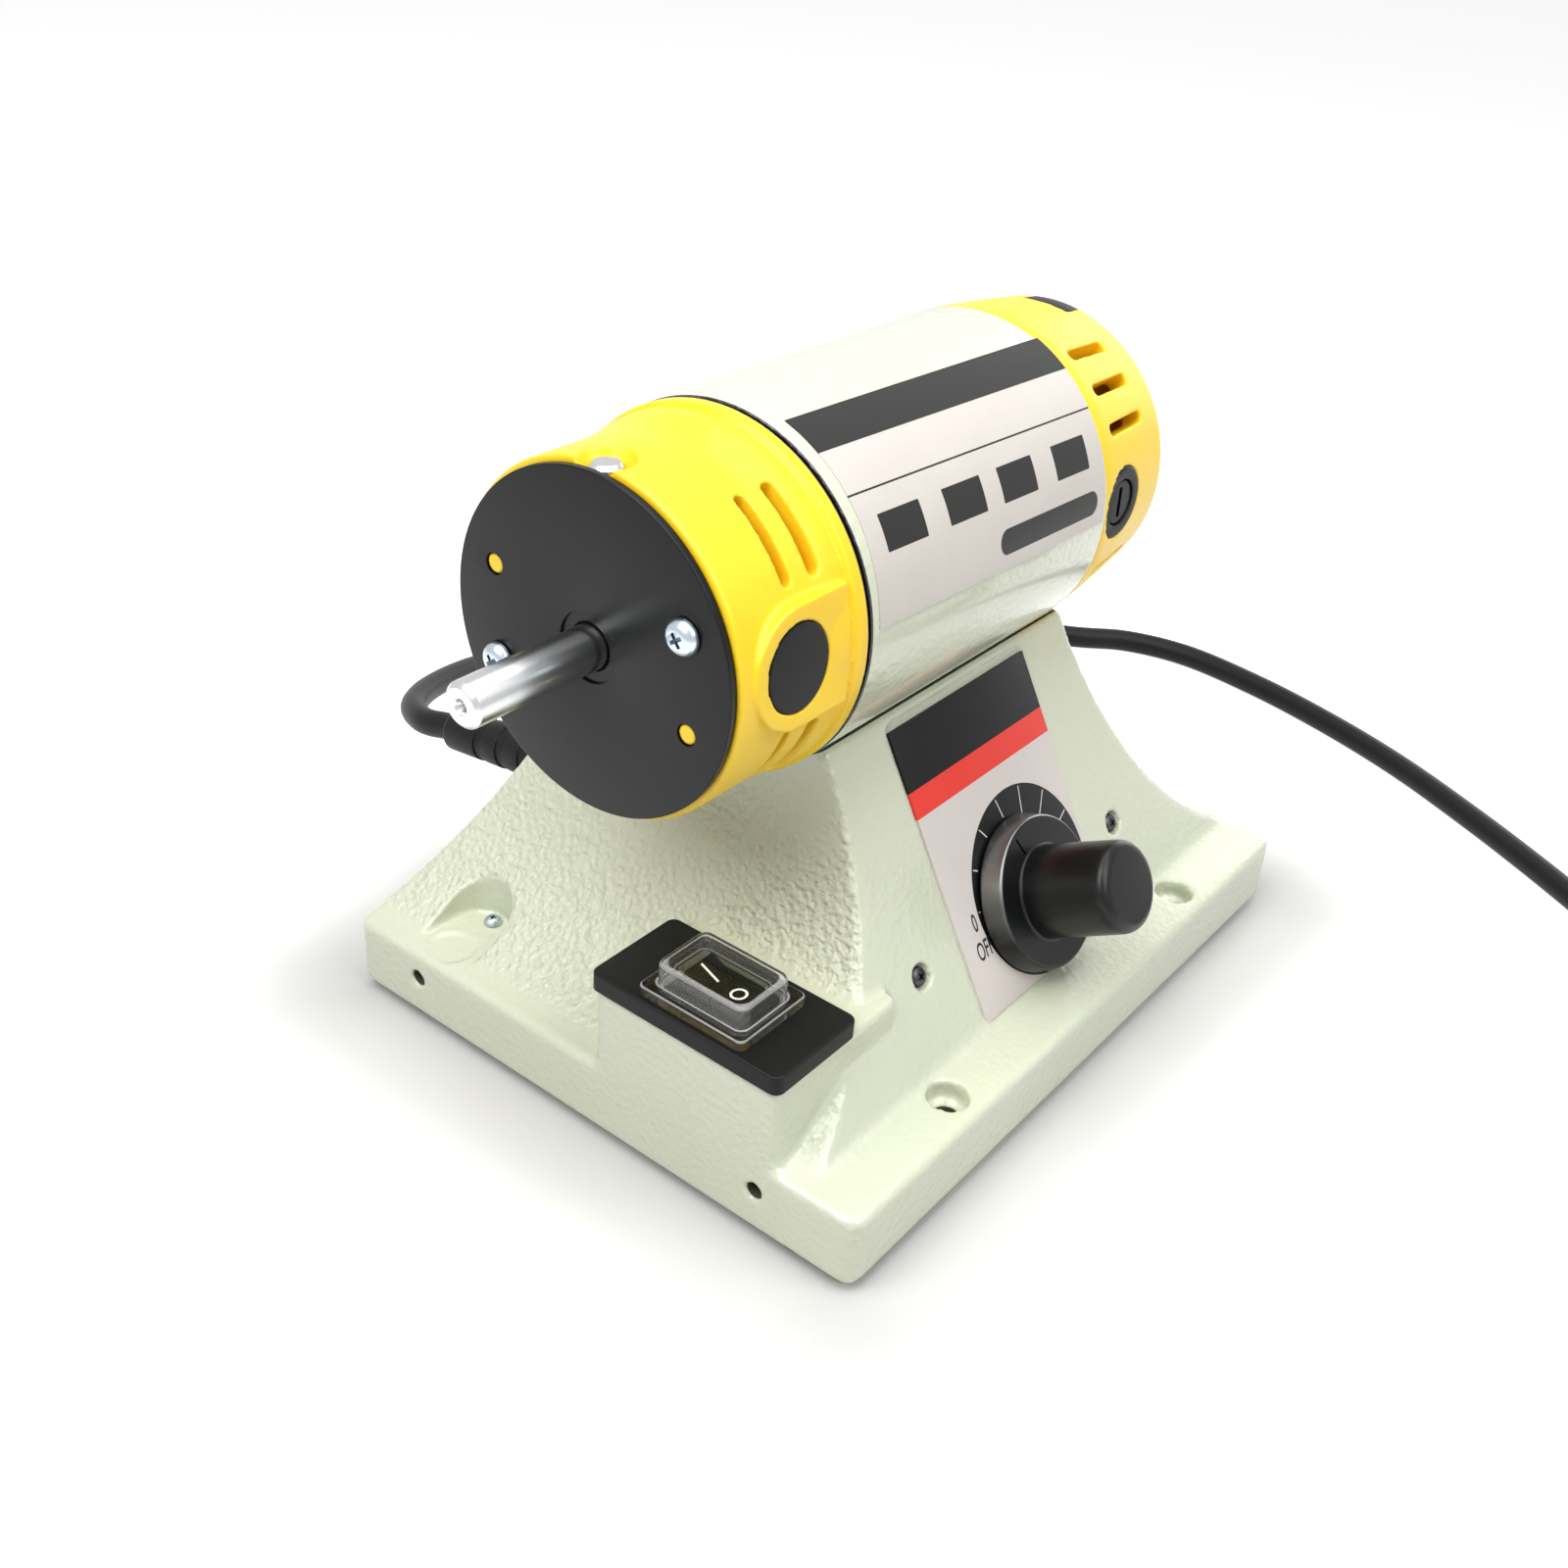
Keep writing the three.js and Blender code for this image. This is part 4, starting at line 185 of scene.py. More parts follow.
floor = bpy.data.objects.new("floor", bpy.data.meshes.new("floor"))
sheet.to_mesh(floor.data)
sheet.free()
floor.data.materials.append(studio_paper)
scene.collection.objects.link(floor)

# The mains lead is round black rubber, 7.8 mm thick. It leaves its boot, sags to the floor behind
# the machine, runs round it and out of the picture, and the spare length lies there in a flat coil
# of two layers with the plug beside it.
CORD_RADIUS = 3.9
CORD_FLOOR_GAP = 0.1
CORD_SEAT_GAP = 0.25
CORD_STEP = 3
CORD_SMOOTHNESS = 7
BOOT_END = Vector((-41.1, 110, 41.1))
BOOT_WAY = Vector((-0.02, 0.99, -0.14)).normalized()
CORD_ROUTE = [
    (-41.4, 122.5, 38.6),
    (-34.5, 136.5, 34.6),
    (-21.2, 148.6, 29.4),
    (-3.4, 159.6, 23),
    (18.1, 169.8, 15.4),
    (36, 176.6, 9),
    (60, 182.5, 4.6),
    (88, 181, 4),
    (116, 168, 4),
    (142, 146, 4),
    (166, 118, 4),
    (188, 84, 4),
    (209.2, 45.1, 4),
    (220.2, 29.7, 4),
    (226, 8.3, 4),
    (223.3, -22.2, 4),
    (215.8, -53.2, 4),
    (204.6, -84.3, 4),
    (189.4, -115.1, 4),
    (179, -133.9, 4),
    (167.8, -152.6, 4),
    (157.6, -168, 4),
]
COIL_CENTRE = (190, -214)
COIL_START_ANGLE = 155
COIL_RADIUS = 52
COIL_PITCH = 9.8
COIL_TURNS = 4.5
COIL_LAYER_TURNS = 2
COIL_LAYER_RISE = 8.6
COIL_CLIMB_TURNS = 0.5
COIL_STEPS = 24
TAIL_LENGTH = 40
TAIL_STEPS = 7
PLUG_THICKNESS = 17
SHEATH_COLOUR = "#090A0A"
WORN_SHEATH_COLOUR = "#121314"
SHEATH_GRAIN = 0.8
SHEATH_PATCHES = 25
RELIEF_DEPTH = 0.1


def settle(share):
    return share * share * (3 - 2 * share)


def coil_point(turns):
    inner = COIL_RADIUS - COIL_PITCH * COIL_LAYER_TURNS
    climbed = turns - COIL_LAYER_TURNS
    radius = inner
    if climbed < 0:
        radius = inner - COIL_PITCH * climbed
    if climbed > COIL_CLIMB_TURNS:
        radius = inner + COIL_PITCH * (climbed - COIL_CLIMB_TURNS)
    rise = COIL_LAYER_RISE * settle(min(1, max(0, climbed / COIL_CLIMB_TURNS)))
    angle = math.radians(COIL_START_ANGLE + 360 * turns)
    return Vector((
        COIL_CENTRE[0] + radius * math.cos(angle),
        COIL_CENTRE[1] + radius * math.sin(angle),
        CORD_RADIUS + CORD_FLOOR_GAP + rise,
    ))


def smooth_line(points, step):
    """Points a step apart on the smooth curve through the given ones."""
    padded = [2 * points[0] - points[1], *points, 2 * points[-1] - points[-2]]
    times = [0]
    for before, after in zip(padded, padded[1:]):
        times.append(times[-1] + math.sqrt((after - before).length))

    def between(a, b, i, j, t):
        return a.lerp(b, (t - times[i]) / (times[j] - times[i]))

    line = [points[0]]
    for i in range(1, len(padded) - 2):
        count = max(1, round((padded[i + 1] - padded[i]).length / step))
        for k in range(1, count + 1):
            t = times[i] + (times[i + 1] - times[i]) * k / count
            legs = [between(padded[j], padded[j + 1], j, j + 1, t) for j in (i - 1, i, i + 1)]
            arms = [between(legs[0], legs[1], i - 1, i + 1, t), between(legs[1], legs[2], i, i + 2, t)]
            line.append(between(*arms, i, i + 1, t))
    return line


coil_line = [coil_point(i / COIL_STEPS) for i in range(round(COIL_TURNS * COIL_STEPS) + 1)]
coil_in = ((coil_line[0] - coil_line[1]) * FLAT).normalized()
coil_out = ((coil_line[-1] - coil_line[-2]) * FLAT).normalized()
coil_start = coil_line[0] + coil_in * 2 * CORD_RADIUS
tail_drop = Vector((0, 0, coil_line[-1].z - PLUG_THICKNESS / 2))
tail_line = [
    coil_line[-1] + coil_out * TAIL_LENGTH * i / TAIL_STEPS - tail_drop * settle(i / TAIL_STEPS)
    for i in range(1, TAIL_STEPS + 1)
]
free_points = [BOOT_END + BOOT_WAY * CORD_SEAT_GAP, BOOT_END + BOOT_WAY * CORD_RADIUS]
free_points += [Vector(point) for point in CORD_ROUTE]
free_points += [coil_start + coil_in * 2 * CORD_RADIUS, coil_start]
lead_line = smooth_line(free_points, CORD_STEP) + smooth_line([*coil_line, *tail_line], CORD_STEP)


def over(material, mask, under, ink):
    """One colour laid over another where the mask or pattern is 1."""
    return add_node(material, "ShaderNodeMix", {"Factor": mask, 6: under, 7: ink}, data_type="RGBA")


def set_looks(material, shader, **looks):
    """Links a worked-out colour, roughness or relief to the shader's sockets."""
    for socket, look in looks.items():
        material.node_tree.links.new(look, shader.inputs[socket.replace("_", " ")])


def skin_material(name, grain, patches, colours, relief, grain_detail=3.0, patch_detail=3.0, **values):
    """A skin with a fine grain in relief, its colour drifting between two in wide patches. Gives it,
    its shader, its Object position and its colour, for what else lies on it."""
    made, shader = new_material(name, **values)
    position = add_node(made, "ShaderNodeTexCoord").node.outputs["Object"]
    pits = add_node(made, "ShaderNodeTexNoise", {
        "Vector": position, "Scale": 1 / (grain * METRE), "Detail": grain_detail})
    wear = add_node(made, "ShaderNodeTexNoise", {
        "Vector": position, "Scale": 1 / (patches * METRE), "Detail": patch_detail})
    tint = over(made, wear, *[linear(colour) for colour in colours])
    bumps = add_node(made, "ShaderNodeBump", {
        "Height": pits, "Strength": relief, "Distance": RELIEF_DEPTH * METRE})
    set_looks(made, shader, Base_Color=tint, Normal=bumps)
    return made, shader, position, tint


# Extruded rubber: a soft even sheen over a fine pitted skin, with worn grey patches here and there
extruded_rubber, *_ = skin_material(
    "extruded_rubber", SHEATH_GRAIN, SHEATH_PATCHES, (SHEATH_COLOUR, WORN_SHEATH_COLOUR), 0.25,
    grain_detail=4.0, Roughness=0.46, IOR=1.5, Specular_IOR_Level=0.2)

curve = bpy.data.curves.new("mains_lead", "CURVE")
curve.dimensions = "3D"
curve.bevel_depth = CORD_RADIUS * METRE
curve.bevel_resolution = CORD_SMOOTHNESS
curve.use_fill_caps = True
spline = curve.splines.new("POLY")
spline.points.add(len(lead_line) - 1)
spline.use_smooth = True
for knot, point in zip(spline.points, lead_line):
    knot.co = (*(row_place @ point), 1)
curve.materials.append(extruded_rubber)
mains_lead = bpy.data.objects.new("mains_lead", curve)
scene.collection.objects.link(mains_lead)
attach(mains_lead, "machine")
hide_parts("cord", "cord_coil")

# The casting: one hollow iron or zinc casting with a flange, a waisted pedestal that ends in a
# saddle for the motor, a switch block, two corner pockets and two bench-bolt holes. Its edges are
# soft from the mould and from the thick hammer paint.
BASE_LENGTH = 206
BASE_WIDTH = 162.6
BASE_UNDERSIDE = 3
FLANGE_TOP = 22.5
BASE_CORNER = 4
CASTING_WALL = 4
PEDESTAL_X = 2.6
CROWN_HALF_LENGTH = 52.7
CROWN_HALF_WIDTH = 25.1
CROWN_Z = 93.9
FOOT_HALF_LENGTH = 100
SLOPE_FOOT_Y = 65.5
SHOULDER_Y = 55.2
SHOULDER_Z = 79
ARC_STEPS = 48
CAVITY_TOP = 81.9
AXIS_Z = 130.45
SADDLE_RADIUS = 43.1
BLOCK_LOW = (-103, -57.5)
BLOCK_HIGH = (-58, -4)
BLOCK_TOP = 45.5
BLOCK_CORNER = 1.6
POCKET_X = 87
POCKET_Y = 53.5
POCKET_RADIUS = 9.5
SPOT_X = 95
SPOT_RADIUS = 6.5
SPOT_DEPTH = 0.6
POCKET_SCREW_X = 80.9
POCKET_SCREW_RADIUS = 1.6
BOLT_XS = (-55, 57.7)
BOLT_Y = -72.2
BOLT_RADIUS = 3.2
BOLT_COLUMN_RADIUS = 8.9
COUNTERBORE_RADIUS = 5.1
COUNTERBORE_DEPTH = 5.5
SIDE_HOLE_YS = (-53, 58.2)
SIDE_HOLE_Z = 14.3
SIDE_HOLE_RADIUS = 2.3
SIDE_HOLE_DEPTH = 9
FOOT_X = 91
FOOT_Y = 62
FOOT_COLUMN_RADIUS = 6.5
PANEL_X = 2.6
PANEL_WIDTH = 60.2
PANEL_BOTTOM = 0.6
PANEL_TOP = 78
PANEL_CORNER = 3.5
RECESS_DEPTH = 0.8
RECESS_MARGIN = 0.5
RECESS_TOP = 80.4
KNOB_PLACE = (3.2, 22.1)
PANEL_SCREW_XS = (-43.6, 48.8)
PANEL_SCREW_Y = 22
SCREW_RECESS_RADIUS = 3.3
SCREW_RECESS_DEPTH = 2.4
BUSHING_HOLE = 3.8
OVERRUN = 5
FINE_ROUND = 96
PLAIN_ROUND = 32
MOULD_SOFTENING = 1.1
MOULD_PASSES = 7
PAINT_FILM = 0.75
CASTING_TRIANGLES = 185000


def shape_object(shape, name):
    """The drawn shape as an object, still in millimetres."""
    made = bpy.data.objects.new(name, bpy.data.meshes.new(name))
    shape.to_mesh(made.data)
    shape.free()
    scene.collection.objects.link(made)
    return made


def eased_edges(shape, edges, radius, steps=4):
    bmesh.ops.bevel(shape, geom=edges, offset=radius, offset_type="OFFSET", segments=steps,
                    profile=0.5, affect="EDGES", material=-1)


def block(low, high, corner=0, steps=6):
    """A block between two corners, its upright edges rounded."""
    low, high = Vector(low), Vector(high)
    shape = bmesh.new()
    bmesh.ops.create_cube(shape, size=1)
    bmesh.ops.scale(shape, vec=high - low, verts=shape.verts)
    bmesh.ops.translate(shape, vec=(low + high) / 2, verts=shape.verts)
    if corner:
        upright = [edge for edge in shape.edges
                   if abs(edge.verts[0].co.z - edge.verts[1].co.z) > corner / 2]
        eased_edges(shape, upright, corner, steps)
    return shape


def extruded(outline, sweep):
    """A solid from a flat outline of points, drawn out along a vector."""
    shape = bmesh.new()
    face = shape.faces.new([shape.verts.new(point) for point in outline])
    drawn = bmesh.ops.extrude_face_region(shape, geom=[face])["geom"]
    far_end = [part for part in drawn if isinstance(part, bmesh.types.BMVert)]
    bmesh.ops.translate(shape, vec=sweep, verts=far_end)
    bmesh.ops.recalc_face_normals(shape, faces=shape.faces)
    return shape


def rod(radius, bottom, top, place=None, steps=PLAIN_ROUND):
    """A round bar along Z, or along the Z of the given place."""
    shape = bmesh.new()
    middle = Matrix.Translation((0, 0, (bottom + top) / 2))
    bmesh.ops.create_cone(shape, cap_ends=True, segments=steps, radius1=radius, radius2=radius,
                          depth=top - bottom, matrix=(place or Matrix()) @ middle)
    return shape


def baked(piece):
    """Applies the piece's modifiers to its mesh."""
    graph = bpy.context.evaluated_depsgraph_get()
    mesh = bpy.data.meshes.new_from_object(piece.evaluated_get(graph))
    piece.modifiers.clear()
    old, piece.data = piece.data, mesh
    bpy.data.meshes.remove(old)
    mesh.name = piece.name
    return piece


def combine(piece, shapes, how):
    """Joins shapes to the piece, or cuts them from it, one after the other."""
    tools = [shape_object(shape, "tool") for shape in shapes]
    for tool in tools:
        step = piece.modifiers.new("combine", "BOOLEAN")
        step.operation = how
        step.solver = "MANIFOLD"
        step.object = tool
    baked(piece)
    for tool in tools:
        mesh = tool.data
        bpy.data.objects.remove(tool)
        bpy.data.meshes.remove(mesh)
    return piece


def remoulded(piece, grain, softness, most_triangles=None):
    """Rebuilds the skin at one grain and rounds its edges, as moulding and paint do."""
    skin = piece.modifiers.new("skin", "REMESH")
    skin.mode = "VOXEL"
    skin.voxel_size = grain
    soft = piece.modifiers.new("soft", "SMOOTH")
    soft.factor = 0.5
    soft.iterations = softness
    baked(piece)
    triangles = sum(len(face.vertices) - 2 for face in piece.data.polygons)
    if most_triangles and triangles > most_triangles:
        thin = piece.modifiers.new("thin", "DECIMATE")
        thin.ratio = most_triangles / triangles
        baked(piece)
    return piece


SHARP_ANGLE = math.radians(30)


def finish_piece(piece, material, slot, body, *nodes, smooth_all=False):
    """Puts a finished piece in metres, on its body, with its material."""
    baked(piece)
    mesh = piece.data
    mesh.transform(row_place)
    mesh.materials.clear()
    mesh.materials.append(material)
    mesh.shade_smooth()
    if not smooth_all:
        mesh.set_sharp_from_angle(angle=SHARP_ANGLE)
    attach(piece, body)
    if nodes:
        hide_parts(*nodes)
    return piece


slope_run = SLOPE_FOOT_Y - CROWN_HALF_WIDTH
slope_rise = CROWN_Z - FLANGE_TOP
slope_lean = math.atan2(slope_run, slope_rise)
slope_up = Vector((0, math.sin(slope_lean), math.cos(slope_lean)))
slope_out = Vector((0, -math.cos(slope_lean), math.sin(slope_lean)))
slope_face = Matrix((
    (1, 0, 0, 0),
    (0, slope_up.y, slope_out.y, -SLOPE_FOOT_Y),
    (0, slope_up.z, slope_out.z, FLANGE_TOP),
    (0, 0, 0, 1),
))


def pedestal_side_view(inset, bottom, top):
    """Outline across the spindle's view: two hollow arcs from the crown down to the flange."""
    run = FOOT_HALF_LENGTH - CROWN_HALF_LENGTH
    radius = (run * run + slope_rise * slope_rise) / (2 * run)
    far = CROWN_HALF_LENGTH + radius
    radius += inset
    steepest = math.asin(min(1, slope_rise / radius))
    arc = []
    for i in range(ARC_STEPS + 1):
        angle = steepest * (1 - i / ARC_STEPS)
        arc.append((far - radius * math.cos(angle), CROWN_Z - radius * math.sin(angle)))
    kept = [point for point in arc if point[1] < top]
    kept.append((far - math.sqrt(radius ** 2 - (CROWN_Z - top) ** 2), top))
    half = [(arc[0][0], bottom), *kept]
    whole = half + [(-x, z) for x, z in reversed(half)]
    return [(PEDESTAL_X + x, -BASE_LENGTH, z) for x, z in whole]


def pedestal_end_view(inset, bottom, top):
    """Outline along the motor: the panel's slope, the crown, the shoulder and the steep back."""
    back_lean = math.atan2(BASE_WIDTH / 2 - SHOULDER_Y, SHOULDER_Z - FLANGE_TOP)
    shoulder_lean = math.atan2(CROWN_Z - SHOULDER_Z, SHOULDER_Y - CROWN_HALF_WIDTH)

    def slope_y(z):
        return -SLOPE_FOOT_Y + inset / math.cos(slope_lean) + (z - FLANGE_TOP) * math.tan(slope_lean)

    def back_y(z):
        return BASE_WIDTH / 2 - inset / math.cos(back_lean) - (z - FLANGE_TOP) * math.tan(back_lean)

    def shoulder_z(y):
        return CROWN_Z - inset / math.cos(shoulder_lean) - (y - CROWN_HALF_WIDTH) * math.tan(shoulder_lean)

    drop = (shoulder_z(CROWN_HALF_WIDTH) - top) / math.tan(shoulder_lean)
    outline = [
        (slope_y(FLANGE_TOP), bottom),
        (slope_y(FLANGE_TOP), FLANGE_TOP),
        (slope_y(top), top),
        (CROWN_HALF_WIDTH + min(0, drop), top),
        (SHOULDER_Y - inset, shoulder_z(SHOULDER_Y - inset)),
        (back_y(FLANGE_TOP), FLANGE_TOP),
        (back_y(FLANGE_TOP), bottom),
    ]
    return [(-BASE_LENGTH, y, z) for y, z in outline]


def pedestal_solid(inset, bottom, top, name):
    made = shape_object(extruded(pedestal_end_view(inset, bottom, top), (2 * BASE_LENGTH, 0, 0)), name)
    side = extruded(pedestal_side_view(inset, bottom, top), (0, 2 * BASE_LENGTH, 0))
    return combine(made, [side], "INTERSECT")


def shape_of(piece):
    """The object's mesh as a shape again, and the object is gone."""
    shape = bmesh.new()
    shape.from_mesh(piece.data)
    mesh = piece.data
    bpy.data.objects.remove(piece)
    bpy.data.meshes.remove(mesh)
    return shape


def at(x, y, z=0):
    return Matrix.Translation((x, y, z))


def pocket_cut(side, margin, bottom):
    """Upright slot with a round end, open at the end of the flange."""
    radius = POCKET_RADIUS + margin
    ends = sorted((side * POCKET_X, side * (BASE_LENGTH / 2 + OVERRUN)))
    slot = shape_object(rod(radius, bottom, CROWN_Z, at(side * POCKET_X, POCKET_Y), FINE_ROUND), "slot")
    straight = block((ends[0], POCKET_Y - radius, bottom), (ends[1], POCKET_Y + radius, CROWN_Z))
    return shape_of(combine(slot, [straight], "UNION"))


half_length = BASE_LENGTH / 2
half_width = BASE_WIDTH / 2
inside_z = (BASE_UNDERSIDE + FLANGE_TOP) / 2
footprint = ((-half_length, -half_width), (half_length, half_width))
outer_block = block((*footprint[0], 0), (*footprint[1], CROWN_Z + OVERRUN), BASE_CORNER)
casting = shape_object(outer_block, "casting")
combine(casting, [shape_of(pedestal_solid(0, inside_z, CROWN_Z, "pedestal"))], "INTERSECT")
combine(casting, [
    block((*footprint[0], BASE_UNDERSIDE), (*footprint[1], FLANGE_TOP), BASE_CORNER),
    block((*BLOCK_LOW, inside_z), (*BLOCK_HIGH, BLOCK_TOP), BLOCK_CORNER),
], "UNION")
remoulded(casting, MOULD_SOFTENING, MOULD_PASSES)

cavity = pedestal_solid(CASTING_WALL, BASE_UNDERSIDE - OVERRUN, CAVITY_TOP, "cavity")
inner_low = (-half_length + CASTING_WALL, -half_width + CASTING_WALL, BASE_UNDERSIDE - OVERRUN)
inner_high = (half_length - CASTING_WALL, half_width - CASTING_WALL, FLANGE_TOP - CASTING_WALL)
combine(cavity, [
    block(inner_low, inner_high),
    block((BLOCK_LOW[0] + CASTING_WALL, BLOCK_LOW[1] + CASTING_WALL, 0),
          (BLOCK_HIGH[0] + OVERRUN, BLOCK_HIGH[1] - CASTING_WALL, BLOCK_TOP - CASTING_WALL)),
], "UNION")
combine(cavity, [block(inner_low, (*inner_high[:2], CROWN_Z))], "INTERSECT")
boss_top = FLANGE_TOP - CASTING_WALL / 2
posts = [rod(BOLT_COLUMN_RADIUS, BASE_UNDERSIDE, boss_top, at(x, BOLT_Y)) for x in BOLT_XS]
posts += [rod(FOOT_COLUMN_RADIUS, BASE_UNDERSIDE + CASTING_WALL / 2, boss_top, at(x, y))
          for x in (-FOOT_X, FOOT_X) for y in (-FOOT_Y, FOOT_Y)]
combine(cavity, [pocket_cut(side, CASTING_WALL, FLANGE_TOP - CASTING_WALL) for side in (-1, 1)] + posts,
        "DIFFERENCE")

along_x = Matrix.Rotation(math.radians(90), 4, "Y")
motor_axis = Matrix.Translation((0, 0, AXIS_Z)) @ along_x
cuts = [shape_of(cavity), rod(SADDLE_RADIUS, -BASE_LENGTH, BASE_LENGTH, motor_axis, 2 * FINE_ROUND)]
above_flange = FLANGE_TOP + OVERRUN
for side in (-1, 1):
    cuts.append(pocket_cut(side, 0, FLANGE_TOP))
    cuts.append(rod(SPOT_RADIUS, FLANGE_TOP - SPOT_DEPTH, above_flange, at(side * SPOT_X, POCKET_Y)))
    cuts.append(rod(POCKET_SCREW_RADIUS, 0, above_flange, at(side * POCKET_SCREW_X, POCKET_Y)))
hole_floor = FLANGE_TOP - COUNTERBORE_DEPTH
for x in BOLT_XS:
    cuts.append(rod(COUNTERBORE_RADIUS, hole_floor, above_flange, at(x, BOLT_Y)))
    cuts.append(rod(BOLT_RADIUS, 0, FLANGE_TOP, at(x, BOLT_Y)))
for y in SIDE_HOLE_YS:
    mouth = at(-half_length, y, SIDE_HOLE_Z) @ along_x
    cuts.append(rod(SIDE_HOLE_RADIUS, -OVERRUN, SIDE_HOLE_DEPTH, mouth))
recess = block((PANEL_X - PANEL_WIDTH / 2 - RECESS_MARGIN, PANEL_BOTTOM - RECESS_MARGIN, -RECESS_DEPTH),
               (PANEL_X + PANEL_WIDTH / 2 + RECESS_MARGIN, RECESS_TOP, OVERRUN), PANEL_CORNER)
recess.transform(slope_face)
cuts.append(recess)
cuts.append(rod(BUSHING_HOLE, -CASTING_WALL - OVERRUN, OVERRUN, slope_face @ at(*KNOB_PLACE)))
for x in PANEL_SCREW_XS:
    spot = slope_face @ at(x, PANEL_SCREW_Y)
    cuts.append(rod(SCREW_RECESS_RADIUS, -SCREW_RECESS_DEPTH, OVERRUN, spot))
combine(casting, cuts, "DIFFERENCE")
remoulded(casting, PAINT_FILM, 2, CASTING_TRIANGLES)

# Hammer paint: thick ivory enamel that dries in a dimpled skin, 1 to 2 mm to a dimple. It is deepest
# on the hollow ends, where it glints in small specks, and lies almost flat on upright walls. The
# saddle and the barrel's cut edge are coloured dark, a painted shade for the gap between barrel and
# casting, and show as dark lines. The drilled and threaded holes are coloured dark grey inside, as
# painted shade in the holes.
PAINT_COLOUR = "#D8DDC7"
PAINT_SHADE = "#CCD1BA"
PAINT_PATCHES = 45.5
DIMPLE_WIDTH = 1.8
DIMPLE_DEPTH = 0.75
FLAT_WALL_DIMPLES = 0.25
UPRIGHT_SHARE = 0.1
HOLLOW_SHARE = 0.4
GAP_SHADE_REACH = 43.35
SHADE_BAND_DEPTH = 0.7
HOLE_SHADE_FROM = 0.8
GAP_SHADE_EDGE = 0.35
GAP_SHADE_COLOUR = "#1A1A18"
HOLE_SHADE_COLOUR = "#565649"
SMOOTH_UP_TO = 22.8
DIMPLED_FROM = 24.5
SHELL_FRONT = -60.6
hammer_paint, paint = new_material(
    "hammer_paint", Roughness=0.24, IOR=1.5, Coat_Weight=0.5, Coat_Roughness=0.08)
position = add_node(hammer_paint, "ShaderNodeTexCoord").node.outputs["Object"]
wander = add_node(hammer_paint, "ShaderNodeTexNoise", {
    "Vector": position, "Scale": 1 / (2 * DIMPLE_WIDTH * METRE), "Detail": 2.0}, noise_dimensions="3D").node
shifted = add_node(hammer_paint, "ShaderNodeVectorMath", {
    0: wander.outputs["Color"], "Scale": DIMPLE_WIDTH * METRE}, operation="SCALE")
warped = add_node(hammer_paint, "ShaderNodeVectorMath", {0: position, 1: shifted}, operation="ADD")
dimples = add_node(hammer_paint, "ShaderNodeTexVoronoi", {
    "Vector": warped, "Scale": 1 / (DIMPLE_WIDTH * METRE), "Smoothness": 0.7}, feature="SMOOTH_F1")
flow = add_node(hammer_paint, "ShaderNodeTexNoise", {
    "Vector": position, "Scale": 1 / (DIMPLE_WIDTH * METRE), "Detail": 3.0, "Roughness": 0.55})
skin = add_node(hammer_paint, "ShaderNodeMath", {0: dimples, 1: flow}, operation="ADD")
way = add_node(hammer_paint, "ShaderNodeNewGeometry").node.outputs["Normal"]
way = add_node(hammer_paint, "ShaderNodeSeparateXYZ", {"Vector": way}).node
steep = add_node(hammer_paint, "ShaderNodeMath", {
    0: way.outputs["X"], 1: way.outputs["Z"]}, operation="MULTIPLY")
steep = add_node(hammer_paint, "ShaderNodeMath", {0: steep}, operation="ABSOLUTE")
depth = add_node(hammer_paint, "ShaderNodeMapRange", {
    "Value": steep, "From Min": UPRIGHT_SHARE, "From Max": HOLLOW_SHARE,
    "To Min": FLAT_WALL_DIMPLES, "To Max": 1.0})
level = add_node(hammer_paint, "ShaderNodeSeparateXYZ", {"Vector": position}).node.outputs["Z"]
level = add_node(hammer_paint, "ShaderNodeMapRange", {
    "Value": level, "From Min": SMOOTH_UP_TO * METRE, "From Max": DIMPLED_FROM * METRE,
    "To Min": FLAT_WALL_DIMPLES, "To Max": 1.0})
depth = add_node(hammer_paint, "ShaderNodeMath", {0: depth, 1: level}, operation="MINIMUM")
relief = add_node(hammer_paint, "ShaderNodeBump", {
    "Height": skin, "Strength": depth, "Distance": DIMPLE_DEPTH * METRE})
patches = add_node(hammer_paint, "ShaderNodeTexNoise", {
    "Vector": position, "Scale": 1 / (PAINT_PATCHES * METRE), "Detail": 3.0})
tint = over(hammer_paint, patches, linear(PAINT_COLOUR), linear(PAINT_SHADE))


def off_line(material, position, spot, across):
    """The way from a spot to the surface, and how much of it lies across a line through the spot."""
    offset = add_node(material, "ShaderNodeVectorMath", {0: position, 1: spot}, operation="SUBTRACT")
    beside = add_node(material, "ShaderNodeVectorMath", {0: offset, 1: across}, operation="MULTIPLY")
    reach = add_node(material, "ShaderNodeVectorMath", {0: beside}, operation="LENGTH").node
    return offset, reach.outputs["Value"]


# Painted shade: the saddle and the barrel's cut front edge are coloured dark for the gap's shadow.
barrel_end = row_place @ Vector((SHELL_FRONT, 0, AXIS_Z))
offset, reach = off_line(hammer_paint, position, barrel_end, (0, 1, 1))
along = add_node(hammer_paint, "ShaderNodeSeparateXYZ", {"Vector": offset}).node.outputs["X"]
glow_or_shade_mask = add_node(hammer_paint, "ShaderNodeMath", {
    0: reach, 1: GAP_SHADE_REACH * METRE, 2: SHADE_BAND_DEPTH * METRE}, operation="COMPARE")
edge = add_node(hammer_paint, "ShaderNodeMath", {0: along, 1: 0, 2: GAP_SHADE_EDGE * METRE}, operation="COMPARE")
barrel = add_node(hammer_paint, "ShaderNodeMath", {
    0: reach, 1: (GAP_SHADE_REACH - SHADE_BAND_DEPTH) * METRE}, operation="LESS_THAN")
